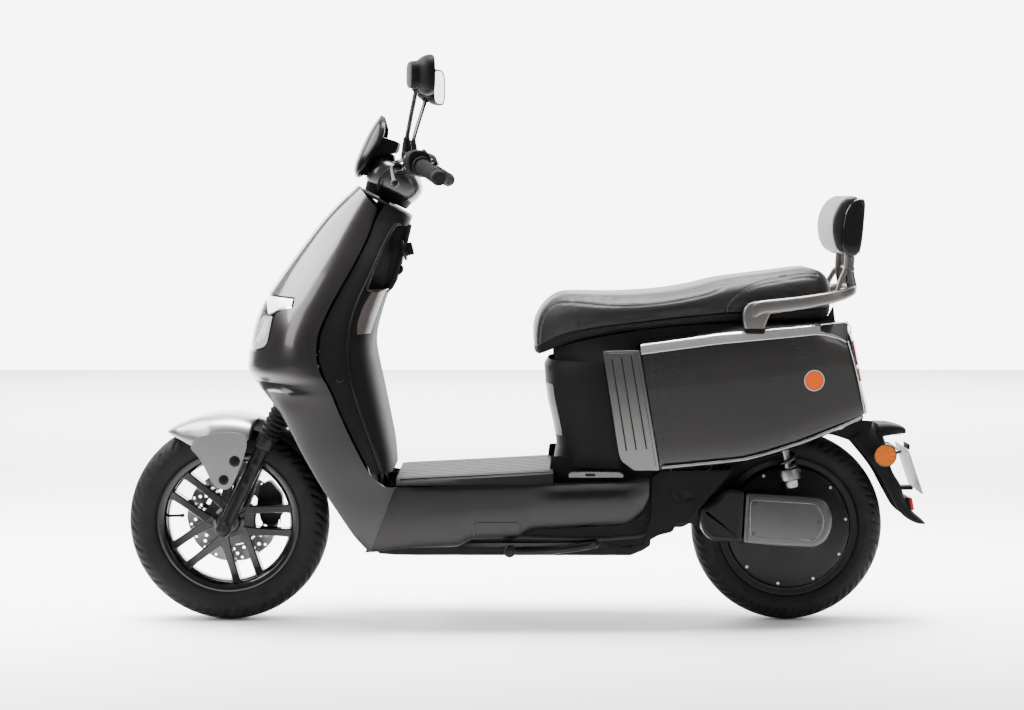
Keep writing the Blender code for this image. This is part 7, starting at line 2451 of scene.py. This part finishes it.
# side caps in gloss black with a thin bright edge, and a matte black rear shell
CAP = [(0.7180, 0.8500), (0.7070, 0.8620), (0.7040, 0.8800), (0.7060, 0.9150), (0.7130, 0.9500),
       (0.7270, 0.9730), (0.7400, 0.9800), (0.7530, 0.9790), (0.7560, 0.9700), (0.7545, 0.9300),
       (0.7500, 0.8850), (0.7450, 0.8560), (0.7350, 0.8480)]
CAPL = round_loop(CAP, 0.008, 3)
cc = Vector((0, 0.731, 0.914))
for sx, side in ((1, "left"), (-1, "right")):
    rings = [[Vector((sx * x, cc.y + (y - cc.y) * k, cc.z + (z - cc.z) * k)) for y, z in CAPL]
             for x, k in ((0.1235, 0.98), (0.1262, 1.0), (0.1300, 0.985), (0.1325, 0.93), (0.1337, 0.82),
                          (0.1340, 0.5))]
    piece("backrest_cap_" + side, loft(rings), GLOSSB, "frame", (), 50)
    e = [Vector((sx * 0.1290, y, z)) for y, z in ((0.7540, 0.9780), (0.7565, 0.9650), (0.7545, 0.9300),
                                                  (0.7505, 0.8850), (0.7455, 0.8580))]
    piece("backrest_edge_" + side, tube(cr(e, 6), 0.0011, 10), CHROME, "frame", (), 60)
shell_rows = []
for x in [-0.124 + 0.248 * i / 12 for i in range(13)]:
    k = 1 - 0.02 * abs(x / 0.124) ** 4
    shell_rows.append([Vector((x, y, z)) for y, z in ((0.7440, 0.9800), (0.7530, 0.9790), (0.7555, 0.9690),
                                                      (0.7542, 0.9300), (0.7497, 0.8850),
                                                      (0.7447, 0.8565), (0.7350, 0.8500))])
piece("backrest_shell", solidified(oriented(grid_mesh([shell_rows]), (0, 0.70, 0.92)), 0.0024), BLACK,
      "frame", (), 40)

# inner fender cheeks between the side panels' tail and the mudguard, clear of the tyre
cheek = [(0.640, 0.446), (0.700, 0.438), (0.742, 0.424), (0.780, 0.436), (0.792, 0.470), (0.700, 0.478),
         (0.640, 0.470)]
for sx, side in ((1, "left"), (-1, "right")):
    piece("tail_cheek_" + side, slab(round_loop(cheek, 0.006), sx * 0.0640, sx * 0.0665), BLACK, "frame",
          (), 30)

# bulkhead behind the foot of the inner shield
piece("foot_bulkhead", slab(round_loop([(-0.3400, 0.3000), (-0.3340, 0.3000), (-0.3340, 0.4200),
                                        (-0.3400, 0.4200)], 0.001), -0.1230, 0.1230), BLACK, "frame",
      (), 30)

# inner side plates of the floor tunnel, behind the lower side covers
inner_plate = [(-0.330, 0.190), (-0.160, 0.190), (-0.150, 0.208), (0.165, 0.208), (0.172, 0.192), (0.262, 0.192),
               (0.290, 0.230), (0.300, 0.300), (0.300, 0.396), (0.052, 0.396), (0.046, 0.336), (-0.330, 0.328)]
for sx, side in ((1, "left"), (-1, "right")):
    piece("tunnel_plate_" + side, slab(round_loop(inner_plate, 0.005), sx * 0.1235, sx * 0.1250), BLACK, "frame",
          (), 30)

# ------------------------------------------------------------------ frame tubes
tubes = []
sm_ = cr([(0, -0.4035, 0.770), (0, -0.385, 0.700), (0, -0.392, 0.600), (0, -0.382, 0.480),
          (0, -0.345, 0.330), (0, -0.285, 0.222)], 6)
tubes.append(tube(sm_, 0.0188, 24))
side_rail = [(-0.285, 0.220), (0.150, 0.206), (0.262, 0.214), (0.296, 0.240), (0.310, 0.300),
             (0.320, 0.500), (0.336, 0.578), (0.380, 0.612), (0.500, 0.634), (0.672, 0.646)]
for sx in (1, -1):
    raw = [Vector((sx * 0.114, y, z)) for y, z in side_rail]
    fine = []
    for a, b, c in zip(raw, raw[1:], raw[2:]):
        u, v = a - b, c - b
        k = min(0.035, u.length * 0.42, v.length * 0.42)
        p, q = b + u.normalized() * k, b + v.normalized() * k
        fine += [p.lerp(b, t / 4).lerp(b.lerp(q, t / 4), t / 4) for t in range(5)]
    fine = [raw[0]] + fine + [raw[-1]]
    tubes.append(tube(fine, 0.0125, 20))
for y, z, r, w in ((-0.285, 0.220, 0.0150, 0.124), (0.268, 0.222, 0.0110, 0.118),
                   (0.664, 0.6455, 0.0100, 0.118), (0.378, 0.6105, 0.0100, 0.118)):
    tubes.append(rod_soft((-w, y, z), (w, y, z), r, 0.001, 24))
m = Matrix.Translation(FRONT_AXLE) @ AXIS.to_track_quat("Z", "Y").to_matrix().to_4x4()
tubes.append(spin([(0.0172, 0.505), (0.0250, 0.505), (0.0262, 0.5065), (0.0262, 0.520), (0.0245, 0.523),
                   (0.0245, 0.672), (0.0262, 0.675), (0.0262, 0.6885), (0.0250, 0.690), (0.0172, 0.690)],
                  m, 40, True))
for sx in (1, -1):
    tubes.append(slab(round_loop([(0.298, 0.232), (0.352, 0.230), (0.370, 0.240), (0.370, 0.262),
                                  (0.352, 0.272), (0.298, 0.276)], 0.007), sx * 0.0880, sx * 0.1060))
tubes.append(rod_soft((-0.1040, ARM_PIVOT.y, ARM_PIVOT.z), (0.1040, ARM_PIVOT.y, ARM_PIVOT.z), 0.0110, 0.001, 24))
piece("frame_tubes", joined(tubes), SATINB, "frame", ["main_frame"], 40)
nuts = []
for sx in (1, -1):
    nuts.append(spin([(0.0, 0.0), (0.0130, 0.0), (0.0130, 0.0060), (0.0115, 0.0075), (0.0, 0.0075)],
                     frame_along(Vector((sx * 0.1062, ARM_PIVOT.y, ARM_PIVOT.z)), (sx, 0, 0)), 6))
piece("arm_pivot_nuts", joined(nuts), DARKBOLT, "frame", (), 30, 0.0004)

# ------------------------------------------------------------------ rear arm
arm = [spin([(0.0130, -0.0800), (0.0205, -0.0800), (0.0215, -0.0790), (0.0215, 0.0790), (0.0205, 0.0800),
             (0.0130, 0.0800)], Matrix.Translation(ARM_PIVOT) @ X_ROT, 40, True)]
arm_side = round_loop([(0.3550, 0.2390), (0.4800, 0.2050), (0.5900, 0.1950), (0.6250, 0.2050),
                       (0.6250, 0.2420), (0.5950, 0.2700), (0.4700, 0.2720), (0.3660, 0.2640)], 0.012)
for sx in (1, -1):
    arm.append(slab(arm_side, sx * 0.0620, sx * 0.0790))
    arm.append(slab(round_loop([(0.5850, 0.2450), (0.6200, 0.2450), (0.6160, 0.3300), (0.5920, 0.3300)],
                               0.010), sx * 0.0660, sx * 0.0790))
piece("arm_weldment", joined(arm), SATINB, "rear_arm", ["swingarm"], 35, 0.0010)
piece("rear_axle_shaft", joined([rod_soft((-0.0820, REAR_AXLE.y, REAR_AXLE.z),
                                          (0.0700, REAR_AXLE.y, REAR_AXLE.z), 0.0095, 0.001, 28),
                                 spin([(0.0, 0.0), (0.0145, 0.0), (0.0145, 0.0085), (0.0130, 0.0100),
                                       (0.0, 0.0100)],
                                      frame_along(Vector((-0.0792, REAR_AXLE.y, REAR_AXLE.z)),
                                                  (-1, 0, 0)), 6)]),
      BOLT, "rear_arm", (), 30)

# arm cover: black front part and silver rear part with inset contours
SIL = [(0.4950, 0.3125), (0.5600, 0.3085), (0.6300, 0.3035), (0.6620, 0.3010), (0.6830, 0.2890),
       (0.6945, 0.2570), (0.6920, 0.2280), (0.6790, 0.2000), (0.6530, 0.1845), (0.5700, 0.1885),
       (0.4890, 0.1950)]
BLK = [(0.3910, 0.2780), (0.4030, 0.2800), (0.4210, 0.2890), (0.4500, 0.3210), (0.4770, 0.3200),
       (0.4940, 0.3125), (0.4880, 0.1955), (0.4180, 0.2010),
       (0.3980, 0.2180), (0.3915, 0.2400)]
sil_l, blk_l = round_loop(SIL, 0.010, 4), round_loop(BLK, 0.010, 4)


def pillow(loop, x0, x1, x2, inset, flat=0.0):
    """Plate with its outer edge rolled over and a shallow dished middle."""
    cy = sum(p[0] for p in loop) / len(loop)
    cz = sum(p[1] for p in loop) / len(loop)
    n = len(loop)

    def inner(d):
        out = []
        for i in range(n):
            a, b, c = Vector(loop[i - 1]), Vector(loop[i]), Vector(loop[(i + 1) % n])
            t = (c - a)
            if t.length < 1e-9:
                t = Vector((1, 0))
            t.normalize()
            nn = Vector((-t.y, t.x))
            if nn.dot(Vector((cy, cz)) - b) < 0:
                nn = -nn
            q = b + nn * d
            out.append((q.x, q.y))
        return out
    rings = [[Vector((x0, y, z)) for y, z in loop], [Vector((x1, y, z)) for y, z in loop]]
    rings.append([Vector((x1 + (x2 - x1) * 0.65, y, z)) for y, z in inner(inset * 0.22)])
    rings.append([Vector((x1 + (x2 - x1) * 0.95, y, z)) for y, z in inner(inset * 0.60)])
    rings.append([Vector((x2, y, z)) for y, z in inner(inset)])
    return rings, inner


rings, inner = pillow(sil_l, 0.0796, 0.1150, 0.1228, 0.0100)
contour = round_loop([(0.5060, 0.2960), (0.6560, 0.2860), (0.6740, 0.2540), (0.6680, 0.2200),
                      (0.6520, 0.2020), (0.5060, 0.2110)], 0.012, 5)
contour = [Vector((0.1226, y, z)) for y, z in contour + contour[:1]]
piece("arm_cover_contour", tube(contour, 0.0010, 6), TRIM, "rear_arm", (), 60)
piece("arm_cover_rear", loft(rings), ARMC, "rear_arm", ["arm_cover_left"], 30)
rings, inner = pillow(blk_l, 0.0796, 0.1130, 0.1205, 0.0090)
rings.append([Vector((0.1206, y, z)) for y, z in inner(0.0120)])
rings.append([Vector((0.1198, y, z)) for y, z in inner(0.0130)])
piece("arm_cover_front", loft(rings), SATINB, "rear_arm", (), 30)
piece("arm_cover_screws", joined([bolt(Vector((0.1222, y, z)), (1, 0, 0), 0.0040, 0.0008)
                                  for y, z in ((0.5150, 0.2880), (0.5130, 0.2190), (0.6620, 0.2450))]),
      SATINB, "rear_arm", (), 30)

# twin shocks
SH_LOW = Vector((0.0, 0.6060, 0.3050))
SH_TOP = Vector((0.0, 0.5460, 0.6130))
sh_dir = (SH_TOP - SH_LOW).normalized()
for sx, side in ((1, "left"), (-1, "right")):
    off = Vector((sx * 0.1020, 0, 0))
    base = frame_along(SH_LOW + off, sh_dir)
    prof = [(0.0, 0.0165), (0.0120, 0.0165), (0.0150, 0.0185), (0.0165, 0.0230), (0.0165, 0.0315),
            (0.0180, 0.0340), (0.0225, 0.0352), (0.0243, 0.0372), (0.0245, 0.0400), (0.0245, 0.0590),
            (0.0238, 0.0606), (0.0180, 0.0612), (0.0090, 0.0625), (0.0090, 0.2050), (0.0, 0.2050)]
    piece("damper_" + side, spin(prof, base, 48), TRIM, "rear_arm", ["shock_" + side], 35)
    piece("damper_bolt_" + side, joined([rod_soft((sx * 0.0796, 0.6025, 0.3270), (sx * 0.1000, 0.6025, 0.3270),
                                                  0.0058, 0.0005, 20)]), BOLT, "rear_arm", (), 30)
    # helical spring: 8 turns of wire between the collar and the frame's upper eye
    turns, r_w, rad = 8.5, 0.0041, 0.0195
    a0, a1 = 0.0668, 0.2985
    pts = []
    n = 300
    for k in range(n + 1):
        t = k / n
        # closed end turns
        if t < 0.09:
            a = a0 + (a1 - a0) * 0.030 * (t / 0.09)
        elif t > 0.91:
            a = a1 - (a1 - a0) * 0.030 * ((1 - t) / 0.09)
        else:
            a = a0 + (a1 - a0) * (0.030 + 0.94 * (t - 0.09) / 0.82)
        ang = 2 * math.pi * turns * t
        pts.append(base @ Vector((rad * math.cos(ang), rad * math.sin(ang), a)))
    me = tube(pts, r_w, 10)
    shade(me, 60)
    ob = bpy.data.objects.new("spring_coil_" + side, me)
    bpy.context.scene.collection.objects.link(ob)
    ob.data.materials.append(GLOSSB)
    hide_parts("shock_spring_" + side)
    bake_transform(ob)
    # upper dust tube's mesh is built but not placed; the spring seat stays on the frame
    up = spin([(0.0, 0.2100), (0.0125, 0.2100), (0.0125, 0.3020), (0.0, 0.3020)], base, 32)
    piece("spring_seat_" + side, spin([(0.0105, 0.2990), (0.0235, 0.2990), (0.0240, 0.3000), (0.0240, 0.3055),
                                       (0.0200, 0.3080), (0.0105, 0.3080)], base, 40, True), SATINB, "frame",
          (), 35)
    piece("shock_eye_" + side, rod_soft((sx * 0.0900, 0.5460, 0.6180), (sx * 0.1140, 0.5460, 0.6180),
                                        0.0085, 0.001, 24), SATINB, "frame", (), 30)

# ------------------------------------------------------------------ stand and pegs
sp_ = cr([(0.1300, -0.0420, 0.1790), (0.1300, 0.0200, 0.1800), (0.1310, 0.0850, 0.1850),
          (0.1330, 0.1380, 0.1930), (0.1390, 0.1560, 0.1980)], 8)
foot = loft([[Vector((x, y, z)) for x, y in round_loop([(0.1270, 0.1330), (0.1480, 0.1330), (0.1480, 0.1600),
                                                       (0.1270, 0.1600)], 0.006, 4)]
             for z in (0.1990, 0.2040)])
piece("stand_leg", joined([tube(sp_, 0.0094, 20),
                           rod_soft((0.1180, -0.0420, 0.1790), (0.1420, -0.0420, 0.1790), 0.0130, 0.001, 28)]),
      SATINB, "side_stand", ["side_stand"], 40)
piece("stand_bolt", bolt(Vector((0.1418, -0.0420, 0.1790)), (1, 0, 0), 0.0070, 0.0030, "hex"), DARKBOLT,
      "side_stand", (), 30)

for sx, side in ((1, "left"), (-1, "right")):
    loop = round_loop([(0.0905, 0.3545), (0.2135, 0.3545), (0.2135, 0.3610), (0.2050, 0.3658), (0.0980, 0.3658),
                       (0.0905, 0.3610)], 0.003, 3)
    body = "foot_peg_" + side
    piece("peg_plate_" + side, slab(loop, sx * 0.1572, sx * 0.1788), TRIM, body, ["foot_peg_" + side],
          30, 0.0012)
    ribs = [cube(sorted_lo, sorted_hi) for sorted_lo, sorted_hi in
            [((min(sx * 0.1600, sx * 0.1780), 0.1000 + 0.0090 * k, 0.3650),
              (max(sx * 0.1600, sx * 0.1780), 0.1035 + 0.0090 * k, 0.3660)) for k in range(12)]]
    piece("peg_ribs_" + side, joined(ribs), RUBBER, body, (), 30)
    latch = round_loop([(0.1280, 0.3572), (0.1500, 0.3572), (0.1500, 0.3632), (0.1280, 0.3632)], 0.0012, 3)
    piece("peg_latch_" + side, slab(latch, sx * 0.1780, sx * 0.1797), SATINB, body, (), 30)

# ------------------------------------------------------------------ small plain decals
# a plain ring and dot on the side panel where the maker's round badge sits
for sx, side in ((1, "left"), (-1, "right")):
    c = Vector((sx * (lerp_table(PLAN_S, 0.6450)[0] - 0.0005), 0.6450, 0.5700))
    t1 = Vector((sx * (lerp_table(PLAN_S, 0.6560)[0]), 0.6560, 0)) - Vector((sx * (lerp_table(PLAN_S, 0.6340)[0]), 0.6340, 0))
    nrm = t1.cross(Vector((0, 0, 1))).normalized()
    if nrm.x * sx < 0:
        nrm = -nrm
    m = frame_along(c, nrm)
    piece("badge_ring_" + side, spin([(0.0215, 0.0), (0.0240, 0.0), (0.0239, 0.0010), (0.0216, 0.0010)], m, 48,
                                     True), CHROME, "frame", (), 40)
    piece("badge_disc_" + side, spin([(0.0, 0.0), (0.0205, 0.0), (0.0203, 0.0007), (0.0, 0.0009)], m, 48),
          ORANGE, "frame", (), 40)
